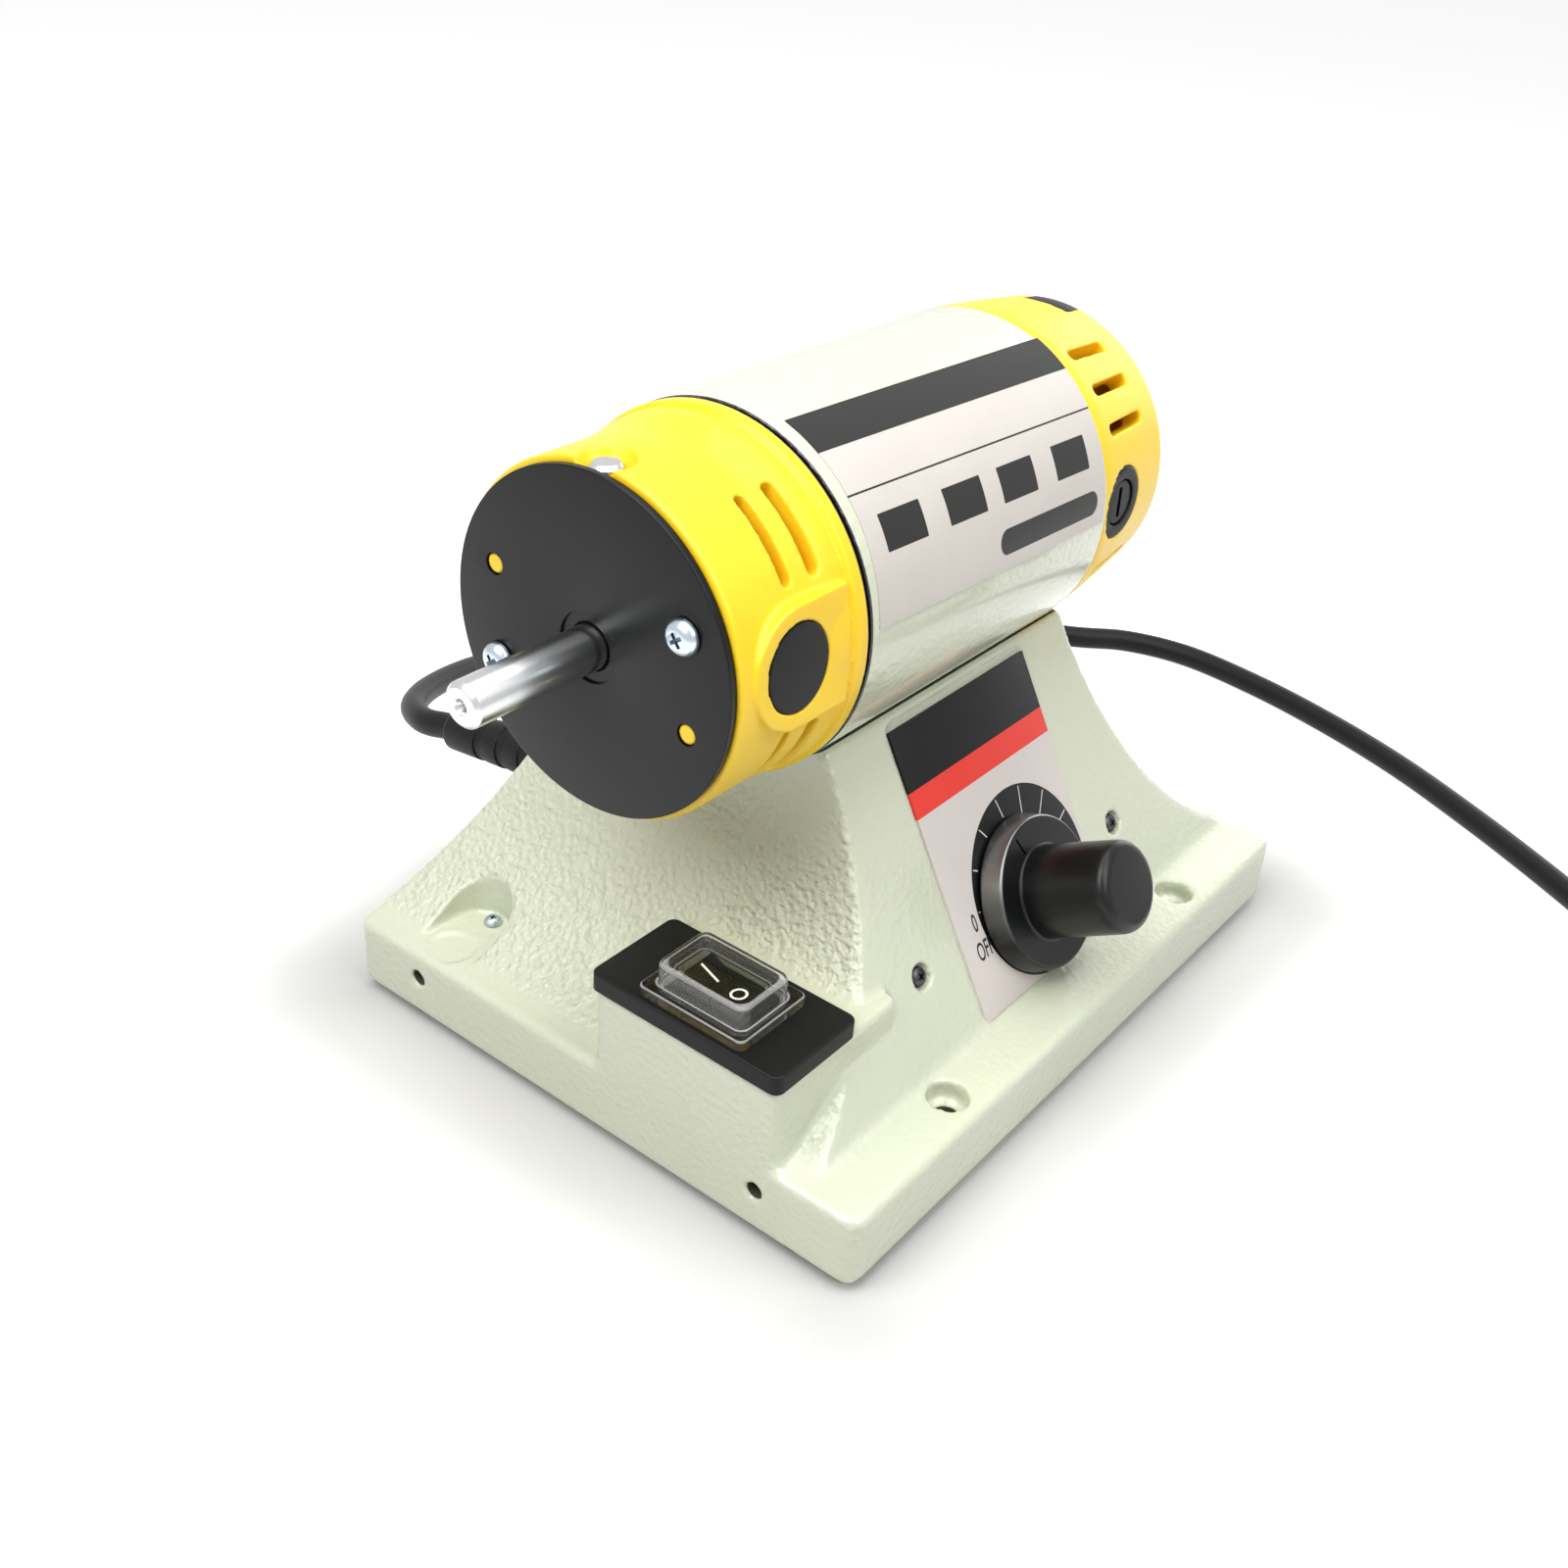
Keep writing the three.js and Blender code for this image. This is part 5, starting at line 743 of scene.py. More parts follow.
edge = add_node(hammer_paint, "ShaderNodeMath", {0: edge, 1: barrel}, operation="MULTIPLY")
glow_or_shade_mask = add_node(hammer_paint, "ShaderNodeMath", {0: glow_or_shade_mask, 1: edge}, operation="MAXIMUM")
tint = over(hammer_paint, glow_or_shade_mask, tint, linear(GAP_SHADE_COLOUR))
# Painted shade: each hole is coloured dark grey from just inside its mouth, where shade falls.
drilled = [((-half_length, y, SIDE_HOLE_Z), (0, 1, 1), (1, 0, 0), SIDE_HOLE_RADIUS) for y in SIDE_HOLE_YS]
drilled += [((x, BOLT_Y, hole_floor), (1, 1, 0), (0, 0, -1), BOLT_RADIUS) for x in BOLT_XS]
for mouth, across, inward, radius in drilled:
    mouth = row_place @ (Vector(mouth) + Vector(inward) * HOLE_SHADE_FROM)
    offset, reach = off_line(hammer_paint, position, mouth, across)
    deep = add_node(hammer_paint, "ShaderNodeVectorMath", {0: offset, 1: inward}, operation="DOT_PRODUCT")
    deep = add_node(hammer_paint, "ShaderNodeMath", {
        0: deep.node.outputs["Value"], 1: 0}, operation="GREATER_THAN")
    inside = add_node(hammer_paint, "ShaderNodeMath", {
        0: reach, 1: (radius + SHADE_BAND_DEPTH) * METRE}, operation="LESS_THAN")
    inside = add_node(hammer_paint, "ShaderNodeMath", {0: inside, 1: deep}, operation="MULTIPLY")
    tint = over(hammer_paint, inside, tint, linear(HOLE_SHADE_COLOUR))
set_looks(hammer_paint, paint, Base_Color=tint, Normal=relief)
finish_piece(casting, hammer_paint, "hammer_paint", "machine", "base_casting", smooth_all=True)

# The motor shell: a rolled steel barrel with the same hammer paint, held in the saddle by two
# screws from below. A thin dark gap shows between it and each end housing; at the front end its
# darkness is painted shade on the barrel's cut edge and on the housing's rim.
SHELL_RADIUS = 42.3
SHELL_WALL = 2.1
SHELL_REAR = 37
SHELL_EDGE = 0.6


def turned(profile, place, steps=FINE_ROUND, ease_steps=4):
    """A solid turned about the Z of its place. Each point is a height, a radius and, where its
    corner is rounded, the size of that round. An outline that ends off the axis is a ring."""
    corners = [Vector(point[:2]) for point in profile]
    line = []
    for i, point in enumerate(profile):
        if len(point) < 3:
            line.append(corners[i])
            continue
        before = corners[i] + (corners[i - 1] - corners[i]).normalized() * point[2]
        after = corners[i] + (corners[(i + 1) % len(corners)] - corners[i]).normalized() * point[2]
        for k in range(ease_steps + 1):
            t = k / ease_steps
            line.append(before.lerp(corners[i], t).lerp(corners[i].lerp(after, t), t))
    shape = bmesh.new()
    knots = [shape.verts.new((radius, 0, height)) for height, radius in line]
    edges = [shape.edges.new(pair) for pair in zip(knots, knots[1:])]
    if corners[0].y > 0:
        edges.append(shape.edges.new((knots[-1], knots[0])))
    bmesh.ops.spin(shape, geom=knots + edges, cent=(0, 0, 0), axis=(0, 0, 1), dvec=(0, 0, 0),
                   angle=math.tau, steps=steps, use_merge=True)
    bmesh.ops.remove_doubles(shape, verts=shape.verts, dist=METRE)
    bmesh.ops.recalc_face_normals(shape, faces=shape.faces)
    shape.transform(place)
    return shape


shell = shape_object(turned([
    (SHELL_FRONT, SHELL_RADIUS, SHELL_EDGE),
    (SHELL_REAR, SHELL_RADIUS, SHELL_EDGE),
    (SHELL_REAR, SHELL_RADIUS - SHELL_WALL),
    (SHELL_FRONT, SHELL_RADIUS - SHELL_WALL),
], motor_axis, 2 * FINE_ROUND), "painted_shell")
finish_piece(shell, hammer_paint, "hammer_paint", "machine", "motor_shell")

# The rating label: a silvery-white printed sticker that is wrapped on the shell a little askew. Its
# print is kept generic: a dark band, a rule, four dark fields and a dark bar, with no words.
LABEL_X = -10.4
LABEL_ANGLE = 36.6
LABEL_WIDTH = 93.6
LABEL_HEIGHT = 50
LABEL_TURN = 2.4
LABEL_FLOAT = 0.05
LABEL_THICKNESS = 0.2
INK_COLOUR = "#121311"
SILVER_COLOUR = "#D3CDC7"
DULL_SILVER_COLOUR = "#CAC3BD"
SHIMMER_PATCHES = 16.7
LABEL_FIELDS = [
    # middle across, middle up, width, height, corner, all from the middle of the label
    (0, 19.7, 95, 10.5, 0.2),
    (0, 3.6, 95, 0.45, 0.1),
    (-33.9, -5.9, 14.4, 8.2, 0.3),
    (-11.1, -5.9, 14.4, 8.2, 0.3),
    (10, -5.9, 14.2, 8.2, 0.3),
    (32.9, -5.9, 14.4, 8.2, 0.3),
    (21.3, -18.6, 43.4, 6, 3),
]


def printed_field(material, place, middle, width, height, corner):
    """A mask that is 1 inside a printed rectangle with round corners. The place is in millimetres."""
    local = add_node(material, "ShaderNodeMapping", {
        "Vector": place, "Location": (*middle, 0)}, vector_type="TEXTURE")
    folded = add_node(material, "ShaderNodeVectorMath", {0: local}, operation="ABSOLUTE")
    inner = (width / 2 - corner, height / 2 - corner, OVERRUN)
    beyond = add_node(material, "ShaderNodeVectorMath", {0: folded, 1: inner}, operation="SUBTRACT")
    beyond = add_node(material, "ShaderNodeVectorMath", {0: beyond, 1: (0, 0, 0)}, operation="MAXIMUM")
    distance = add_node(material, "ShaderNodeVectorMath", {0: beyond}, operation="LENGTH").node
    return add_node(material, "ShaderNodeMath", {
        0: distance.outputs["Value"], 1: corner}, operation="LESS_THAN")


sticker = bmesh.new()
bmesh.ops.create_grid(sticker, x_segments=8, y_segments=48, size=0.5)
uv = sticker.loops.layers.uv.new("label_print")
for face in sticker.faces:
    for corner in face.loops:
        corner[uv].uv = (corner.vert.co.x + 0.5, corner.vert.co.y + 0.5)
bmesh.ops.scale(sticker, vec=(LABEL_WIDTH, LABEL_HEIGHT, 1), verts=sticker.verts)
askew = Matrix.Rotation(math.radians(-LABEL_TURN), 3, "Z")
bmesh.ops.rotate(sticker, cent=(0, 0, 0), matrix=askew, verts=sticker.verts)
skin_radius = SHELL_RADIUS + LABEL_FLOAT
for vert in sticker.verts:
    angle = math.radians(LABEL_ANGLE) + vert.co.y / skin_radius
    vert.co = (LABEL_X + vert.co.x, -skin_radius * math.cos(angle), AXIS_Z + skin_radius * math.sin(angle))
label = shape_object(sticker, "printed_label")
thickness = label.modifiers.new("thickness", "SOLIDIFY")
thickness.thickness = LABEL_THICKNESS
thickness.offset = 1

printed_film, film = new_material(
    "printed_silver_film", Metallic=0.1, Roughness=0.4, Specular_IOR_Level=0.35)
place = add_node(printed_film, "ShaderNodeUVMap", uv_map="label_print")
place = add_node(printed_film, "ShaderNodeMapping", {
    "Vector": place, "Location": (-LABEL_WIDTH / 2, -LABEL_HEIGHT / 2, 0),
    "Scale": (LABEL_WIDTH, LABEL_HEIGHT, 1)})
position = add_node(printed_film, "ShaderNodeTexCoord").node.outputs["Object"]
shimmer = add_node(printed_film, "ShaderNodeTexNoise", {
    "Vector": position, "Scale": 1 / (SHIMMER_PATCHES * METRE), "Detail": 2.0})
tint = over(printed_film, shimmer, linear(SILVER_COLOUR), linear(DULL_SILVER_COLOUR))
for across, up, width, height, corner in LABEL_FIELDS:
    mask = printed_field(printed_film, place, (across, up), width, height, corner)
    tint = over(printed_film, mask, tint, linear(INK_COLOUR))
set_looks(printed_film, film, Base_Color=tint)
finish_piece(label, printed_film, "printed_panel", "machine", "rating_label")

# The front housing: glossy yellow ABS, moulded in one with its vent slots, the flat pad for the
# side plug, the guide of the lock pin and two locating pegs that come through the face disc.
FRONT = -98.9
FRONT_FACE = 3.6
FRONT_RADIUS = 39.5
FRONT_ROUND = 1
FLARE_START = -77
FLARE_END = -69
FLARE_RADIUS = 41.2
FLARE_ROUND = 3
RIM_START = -65.2
RIM_END = -61.4
SPIGOT_END = -57.5
SPIGOT_RADIUS = 39.9
RIM_RADIUS = 42.2
RIM_ROUND = 0.5
RIM_GROOVE_WIDTH = 1.4
RIM_GROOVE_DEPTH = 0.5
HOUSING_WALL = 3
SLOT_WALL = 6
SHAFT_HOLE = 8.1
SLOT_XS = (-80.8, -73)
SLOT_WIDTH = 3
SLOT_SPAN = (25.5, 51.5)
PAD_ANGLE = 5
PAD_X = -82.4
PAD_END = -66.7
PAD_HALF_HEIGHT = 13.4
PAD_REACH = 40.4
PLUG_RADIUS = 9.6
PLUG_DEPTH = 3
PEG_Y = 27
PEG_Z = 9.6
PEG_RADIUS = 2.3
BEARING_SEAT = 15.15
BEARING_FROM = -88.75
BEARING_TO = -79.5
BOSS_WALL = 3
BOSS_ROOT = 1
DISC_THICKNESS = 1.8
DISC_SCREW = (-25.9, 12.1)
SCREW_BOSS_RADIUS = 4.4
SCREW_BOSS_LENGTH = 14
SCREW_HOLE_LENGTH = 12
SCREW_SHANK_RADIUS = 1.85
LOCK_X = -95.1
LOCK_ANGLE = 91
LOCK_RADIUS = 3.7
LOCK_SHOULDER = 24
LOCK_TIP_RADIUS = 2
NOTCH_FLOOR = 35.4
NOTCH_FLOOR_RADIUS = 4.6
NOTCH_RIM = 40.2
NOTCH_RIM_RADIUS = 6.8
GUIDE_RADIUS = 4
GUIDE_WALL = 1.5
GUIDE_FLOOR = 20.2
FIT = 0.15
HOUSING_GRAIN = 0.45
HOUSING_TRIANGLES = 150000


def facing(angle, x=0, reach=0):
    """A place on the motor: its Z points away from the axis at an angle up from the knob side."""
    turn = Matrix.Rotation(math.radians(90 - angle), 4, "X")
    return Matrix.Translation((x, 0, AXIS_Z)) @ turn @ Matrix.Translation((0, 0, reach))


def along_motor(y, z):
    """A place whose Z runs along the motor at an offset from its axis."""
    return Matrix.Translation((0, y, AXIS_Z + z)) @ along_x


def bar_around(section, start, end, steps=12):
    """A bar that follows the round of the motor. Its section is points of x and radius."""
    shape = bmesh.new()
    face = shape.faces.new([shape.verts.new((x, 0, radius)) for x, radius in section])
    shape.transform(facing(start))
    bmesh.ops.spin(shape, geom=[face, *face.edges, *face.verts], cent=(0, 0, AXIS_Z), axis=(1, 0, 0),
                   dvec=(0, 0, 0), angle=math.radians(start - end), steps=steps)
    bmesh.ops.holes_fill(shape, edges=[edge for edge in shape.edges if edge.is_boundary])
    bmesh.ops.recalc_face_normals(shape, faces=shape.faces)
    return shape


def slot_around(x, start, end):
    """Cutters for a slot that runs round the motor and has round ends."""
    inner, outer = SHELL_RADIUS / 2, SHELL_RADIUS + OVERRUN
    half = SLOT_WIDTH / 2
    section = [(x - half, inner), (x + half, inner), (x + half, outer), (x - half, outer)]
    ends = [rod(half, inner, outer, facing(angle, x)) for angle in (start, end)]
    return [bar_around(section, start, end), *ends]


housing = shape_object(turned([
    (FRONT, 0),
    (FRONT, FRONT_RADIUS, FRONT_ROUND),
    (FLARE_START, FRONT_RADIUS, FLARE_ROUND),
    (FLARE_END, FLARE_RADIUS, FLARE_ROUND),
    (RIM_START - RIM_GROOVE_WIDTH, FLARE_RADIUS),
    (RIM_START - RIM_GROOVE_WIDTH / 2, FLARE_RADIUS - RIM_GROOVE_DEPTH),
    (RIM_START, FLARE_RADIUS - RIM_GROOVE_DEPTH),
    (RIM_START, RIM_RADIUS, RIM_ROUND),
    (RIM_END, RIM_RADIUS, RIM_ROUND),
    (RIM_END, SPIGOT_RADIUS),
    (SPIGOT_END, SPIGOT_RADIUS),
    (SPIGOT_END, FRONT_RADIUS - HOUSING_WALL),
    (FLARE_END, FRONT_RADIUS - HOUSING_WALL),
    (FLARE_END, FRONT_RADIUS - SLOT_WALL),
    (FRONT + FRONT_FACE, FRONT_RADIUS - SLOT_WALL),
    (FRONT + FRONT_FACE, 0),
], motor_axis), "yellow_front")
pad_middle = (PAD_REACH + PAD_HALF_HEIGHT) / 2 + HOUSING_WALL
added = []
for turn in (0, 180):
    pad_place = facing(PAD_ANGLE + turn, PAD_X)
    pad = shape_object(rod(PAD_HALF_HEIGHT, pad_middle, PAD_REACH, pad_place, FINE_ROUND), "pad")
    straight = block((0, -PAD_HALF_HEIGHT, pad_middle), (PAD_END - PAD_X, PAD_HALF_HEIGHT, PAD_REACH))
    straight.transform(pad_place)
    added.append(shape_of(combine(pad, [straight], "UNION")))
added.append(rod(BEARING_SEAT + BOSS_WALL, FRONT + BOSS_ROOT, BEARING_TO, motor_axis))
for way in (-1, 1):
    screw_place = along_motor(way * DISC_SCREW[0], way * DISC_SCREW[1])
    peg_place = along_motor(way * PEG_Y, way * PEG_Z)
    added.append(rod(SCREW_BOSS_RADIUS, FRONT + BOSS_ROOT, FRONT + SCREW_BOSS_LENGTH, screw_place))
    added.append(rod(PEG_RADIUS, FRONT - DISC_THICKNESS, FRONT + FRONT_FACE, peg_place))
guide_place = facing(LOCK_ANGLE, FRONT + GUIDE_RADIUS + GUIDE_WALL)
added.append(rod(GUIDE_RADIUS + GUIDE_WALL, BEARING_SEAT, NOTCH_FLOOR + GUIDE_WALL, guide_place))
combine(housing, added, "UNION")
plug_floor = PAD_REACH - PLUG_DEPTH
plug_side = facing(PAD_ANGLE, PAD_X)
cuts = [
    rod(BEARING_SEAT, BEARING_FROM, BEARING_TO + OVERRUN, motor_axis),
    rod(SHAFT_HOLE, FRONT - OVERRUN, BEARING_TO, motor_axis),
    rod(PLUG_RADIUS + FIT, plug_floor - FIT, PAD_REACH + OVERRUN, plug_side, FINE_ROUND),
    rod(PLUG_RADIUS - HOUSING_WALL / 2, BEARING_SEAT + OVERRUN, PAD_REACH, plug_side),
    turned([
        (NOTCH_FLOOR, 0),
        (NOTCH_FLOOR, NOTCH_FLOOR_RADIUS),
        (NOTCH_RIM, NOTCH_RIM_RADIUS),
        (NOTCH_RIM + OVERRUN, NOTCH_RIM_RADIUS),
        (NOTCH_RIM + OVERRUN, 0),
    ], facing(LOCK_ANGLE, LOCK_X)),
    rod(LOCK_RADIUS + FIT, LOCK_SHOULDER, NOTCH_FLOOR + OVERRUN, facing(LOCK_ANGLE, LOCK_X)),
    rod(LOCK_TIP_RADIUS + FIT, 0, LOCK_SHOULDER + OVERRUN, facing(LOCK_ANGLE, LOCK_X)),
    rod(GUIDE_RADIUS, GUIDE_FLOOR, NOTCH_FLOOR - HOUSING_WALL / 2, facing(LOCK_ANGLE, LOCK_X)),
]
for way in (-1, 1):
    cuts.append(rod(SCREW_SHANK_RADIUS, FRONT - OVERRUN, FRONT + SCREW_HOLE_LENGTH,
                    along_motor(way * DISC_SCREW[0], way * DISC_SCREW[1])))
for turn in (0, 180):
    for x in SLOT_XS:
        for way in (-1, 1):
            middle = PAD_ANGLE + turn
            cuts += slot_around(x, middle + way * SLOT_SPAN[0], middle + way * SLOT_SPAN[1])
combine(housing, cuts, "DIFFERENCE")
remoulded(housing, HOUSING_GRAIN, 1, HOUSING_TRIANGLES)

# Yellow ABS: light passes a little way into it, so its slots glow orange, over a fine spark-eroded
# mould grain of about half a millimetre that takes the edge off its shine. A painted shade line
# darkens the seam where the rim meets the painted barrel, for the shadow in the gap.
SEAM_SHADE_WIDTH = 0.6
SEAM_SHADE_COLOUR = "#33280E"
YELLOW_COLOURS = ("#FFD924", "#FFCF1A")
YELLOW_GRAIN = 0.555
YELLOW_PATCHES = 16.7
LIGHT_REACH = 3
yellow_abs, abs_shader, position, tint = skin_material(
    "yellow_abs", YELLOW_GRAIN, YELLOW_PATCHES, YELLOW_COLOURS, 0.12, patch_detail=2.0,
    Roughness=0.38, IOR=1.54, Subsurface_Weight=0.12, Subsurface_Scale=LIGHT_REACH * METRE,
    Subsurface_Radius=(1.0, 0.45, 0.05))
# Painted shade: a dark band on the rim's end stands in for the shadow in the seam.
seam = row_place @ Vector((RIM_END, 0, 0))
along = add_node(yellow_abs, "ShaderNodeSeparateXYZ", {"Vector": position}).node.outputs["X"]
seam_shade = add_node(yellow_abs, "ShaderNodeMath", {
    0: along, 1: seam.x, 2: SEAM_SHADE_WIDTH * METRE}, operation="COMPARE")
set_looks(yellow_abs, abs_shader, Base_Color=over(yellow_abs, seam_shade, tint, linear(SEAM_SHADE_COLOUR)))
finish_piece(housing, yellow_abs, "yellow_plastic", "machine", "front_housing", smooth_all=True)

# The face disc: a flat sheet of satin black plastic on the front housing, cut out round the spindle
# and over the two pegs, held by two pan-head screws.
DISC_RADIUS = 38.14
DISC_GAP = 0.25
PEG_HOLE = 2.45
HUB_HOLE = 5.4
HUB_RECESS = 7.9
HUB_DEPTH = 0.7
HUB_ROUND = 0.25
DISC_FACE_ROUND = 0.35
DISC_BACK_ROUND = 0.2
disc_back = FRONT - DISC_GAP
disc = shape_object(turned([
    (disc_back, HUB_HOLE, HUB_ROUND),
    (disc_back - DISC_THICKNESS + HUB_DEPTH, HUB_HOLE, HUB_ROUND),
    (disc_back - DISC_THICKNESS + HUB_DEPTH, HUB_RECESS),
    (disc_back - DISC_THICKNESS, HUB_RECESS, HUB_ROUND),
    (disc_back - DISC_THICKNESS, DISC_RADIUS, DISC_FACE_ROUND),
    (disc_back, DISC_RADIUS, DISC_BACK_ROUND),
], motor_axis, 2 * FINE_ROUND), "satin_face_disc")
holes = [rod(PEG_HOLE, disc_back - OVERRUN, disc_back + OVERRUN, along_motor(way * PEG_Y, way * PEG_Z))
         for way in (-1, 1)]
combine(disc, holes, "DIFFERENCE")

# Satin black sheet: a mirror that is blurred by the extrusion's own faint skin
SHEET_GRAIN = 0.667
SHEET_SMEARS = 28.6
satin_black, *_ = skin_material(
    "satin_black_sheet", SHEET_GRAIN, SHEET_SMEARS, ("#090A0A", "#0E0F10"), 0.08,
    Roughness=0.28, IOR=1.5, Specular_IOR_Level=0.22)
finish_piece(disc, satin_black, "gloss_black", "machine", "face_disc")

# The disc's two screws: M3.5 pan heads with a cross recess, bright zinc plated with a blue cast.
SCREW_HEAD_RADIUS = 4
SCREW_HEAD_HEIGHT = 2.8
SCREW_LENGTH = 12
FACE_SCREW_TURN = 35
POINT_SHARE = 0.6
HEAD_SIDE_SHARE = 0.45
HEAD_CROWN_SHARE = 0.95
HEAD_FLAT_SHARE = 0.66
RECESS_TOP_SHARE = 0.9
RECESS_SPAN_SHARE = 1.35
RECESS_DEPTH_SHARE = 0.75
WING_SHARE = 0.1
WING_FLOOR_SHARES = (0.45, 0.7, 1)


def cross_recess(top, span, depth):
    """Cutters for a cross recess: two wings that taper towards its floor."""
    arm = span * WING_SHARE
    shapes = []
    for turn in (0, 90):
        wing = block((-span / 2, -arm, top - depth), (span / 2, arm, top + OVERRUN))
        narrow = [vert for vert in wing.verts if vert.co.z < top]
        bmesh.ops.scale(wing, vec=WING_FLOOR_SHARES, verts=narrow)
        wing.transform(Matrix.Rotation(math.radians(turn), 4, "Z"))
        shapes.append(wing)
    return shapes


def pan_screw(name, place, radius, height, shank, length):
    """A pan-head screw whose head sits on 0 of its place and whose shank points down."""
    screw = shape_object(turned([
        (-length, 0),
        (-length, shank * POINT_SHARE, shank / 3),
        (-length + shank, shank, shank / 3),
        (0, shank),
        (0, radius, radius / 10),
        (height * HEAD_SIDE_SHARE, radius, radius / 4),
        (height * HEAD_CROWN_SHARE, radius * HEAD_FLAT_SHARE, radius / 4),
        (height, 0),
    ], Matrix(), FINE_ROUND // 2), name)
    recess_span = radius * RECESS_SPAN_SHARE
    recess = cross_recess(height * RECESS_TOP_SHARE, recess_span, height * RECESS_DEPTH_SHARE)
    combine(screw, recess, "DIFFERENCE")
    screw.data.transform(place)
    return screw


def worked_material(name, grain, colours, roughness, metallic, relief=0.0):
    """A worked surface whose colour, roughness and relief all follow one grain."""
    made, shader = new_material(name, Metallic=metallic)
    position = add_node(made, "ShaderNodeTexCoord").node.outputs["Object"]
    cloud = add_node(made, "ShaderNodeTexNoise", {
        "Vector": position, "Scale": 1 / (grain * METRE), "Detail": 4.0})
    tint = over(made, cloud, *[linear(colour) for colour in colours])
    rough = add_node(made, "ShaderNodeMapRange", {
        "Value": cloud, "To Min": roughness[0], "To Max": roughness[1]})
    set_looks(made, shader, Base_Color=tint, Roughness=rough)
    if relief:
        bumps = add_node(made, "ShaderNodeBump", {
            "Height": cloud, "Strength": relief, "Distance": RELIEF_DEPTH * METRE})
        set_looks(made, shader, Normal=bumps)
    return made


# Bright zinc: blue-clear passivated plating, bright with a fine barrel-plated tooth
ZINC_GRAIN = 2
zinc_plate = worked_material(
    "bright_zinc_plate", ZINC_GRAIN, ("#C9D2DC", "#B4BFCB"), (0.16, 0.32), 1.0, 0.06)

disc_front = disc_back - DISC_THICKNESS - FIT
backwards = Matrix.Rotation(math.radians(-90), 4, "Y")
for name, way in (("knob_side", 1), ("cord_side", -1)):
    seat = at(disc_front, way * DISC_SCREW[0], AXIS_Z + way * DISC_SCREW[1]) @ backwards
    screw = pan_screw("face_screw_" + name, seat @ Matrix.Rotation(math.radians(FACE_SCREW_TURN), 4, "Z"),
                      SCREW_HEAD_RADIUS, SCREW_HEAD_HEIGHT, SCREW_SHANK_RADIUS - FIT, SCREW_LENGTH)
    finish_piece(screw, zinc_plate, "zinc_steel", "machine", "disc_screw_" + name)

# The side plug: a black moulded cap that is pressed into the pad over the side opening.
PLUG_TAPER = 0.4
PLUG_BACK_ROUND = 0.3
PLUG_FACE_ROUND = 0.5
cap = shape_object(turned([
    (0, 0),
    (0, PLUG_RADIUS - PLUG_TAPER, PLUG_BACK_ROUND),
    (PLUG_DEPTH, PLUG_RADIUS, PLUG_FACE_ROUND),
    (PLUG_DEPTH, 0),
], facing(PAD_ANGLE, PAD_X, plug_floor)), "side_plug")

# Black moulded ABS: charcoal with a fine even mould texture, so its shine is broad and grey
BLACK_GRAIN = 0.625
BLACK_PATCHES = 11.1
moulded_black, *_ = skin_material(
    "moulded_black_abs", BLACK_GRAIN, BLACK_PATCHES, ("#090A0B", "#0E0F10"), 0.2,
    Roughness=0.44, IOR=1.54, Specular_IOR_Level=0.17)
finish_piece(cap, moulded_black, "black_plastic", "machine", "front_side_plug")

# The spindle: 10 mm bright turned steel, chamfered at its end, with a lathe centre hole. Inside the
# housing it has four sockets for the lock pin, and steps for the armature and the rear bearing.
SPINDLE_TIP = -135.56
SPINDLE_RADIUS = 5
SPINDLE_CHAMFER = 1
SPINDLE_ROUND = 0.2
CENTRE_HOLE = 1.5
CENTRE_DEPTH = 3.5
CENTRE_DRILL_SHARE = 0.6
CENTRE_MOUTH_SHARE = 1.15
CENTRE_ROUND = 0.15
BODY_FROM = -79.2
BODY_RADIUS = 6
BODY_ROUND = 0.3
REAR_FROM = 58
REAR_RADIUS = 4
REAR_ROUND = 0.5
SPINDLE_END = 69
SOCKET_RADIUS = 2.25
SOCKET_FLOOR = 3.2
spindle = shape_object(turned([
    (SPINDLE_TIP + CENTRE_DEPTH, 0),
    (SPINDLE_TIP + CENTRE_DEPTH - CENTRE_HOLE, CENTRE_HOLE * CENTRE_DRILL_SHARE),
    (SPINDLE_TIP + CENTRE_HOLE, CENTRE_HOLE * CENTRE_DRILL_SHARE),
    (SPINDLE_TIP, CENTRE_HOLE * CENTRE_MOUTH_SHARE, CENTRE_ROUND),
    (SPINDLE_TIP, SPINDLE_RADIUS - SPINDLE_CHAMFER, SPINDLE_ROUND),
    (SPINDLE_TIP + SPINDLE_CHAMFER, SPINDLE_RADIUS, SPINDLE_ROUND),
    (BODY_FROM, SPINDLE_RADIUS),
    (BODY_FROM, BODY_RADIUS, BODY_ROUND),
    (REAR_FROM, BODY_RADIUS, BODY_ROUND),
    (REAR_FROM, REAR_RADIUS),
    (SPINDLE_END, REAR_RADIUS, REAR_ROUND),
    (SPINDLE_END, 0),
], motor_axis), "turned_spindle")
combine(spindle, [rod(SOCKET_RADIUS, SOCKET_FLOOR, SHELL_RADIUS / 2, facing(LOCK_ANGLE + turn, LOCK_X))
                  for turn in (0, 90, 180, 270)], "DIFFERENCE")

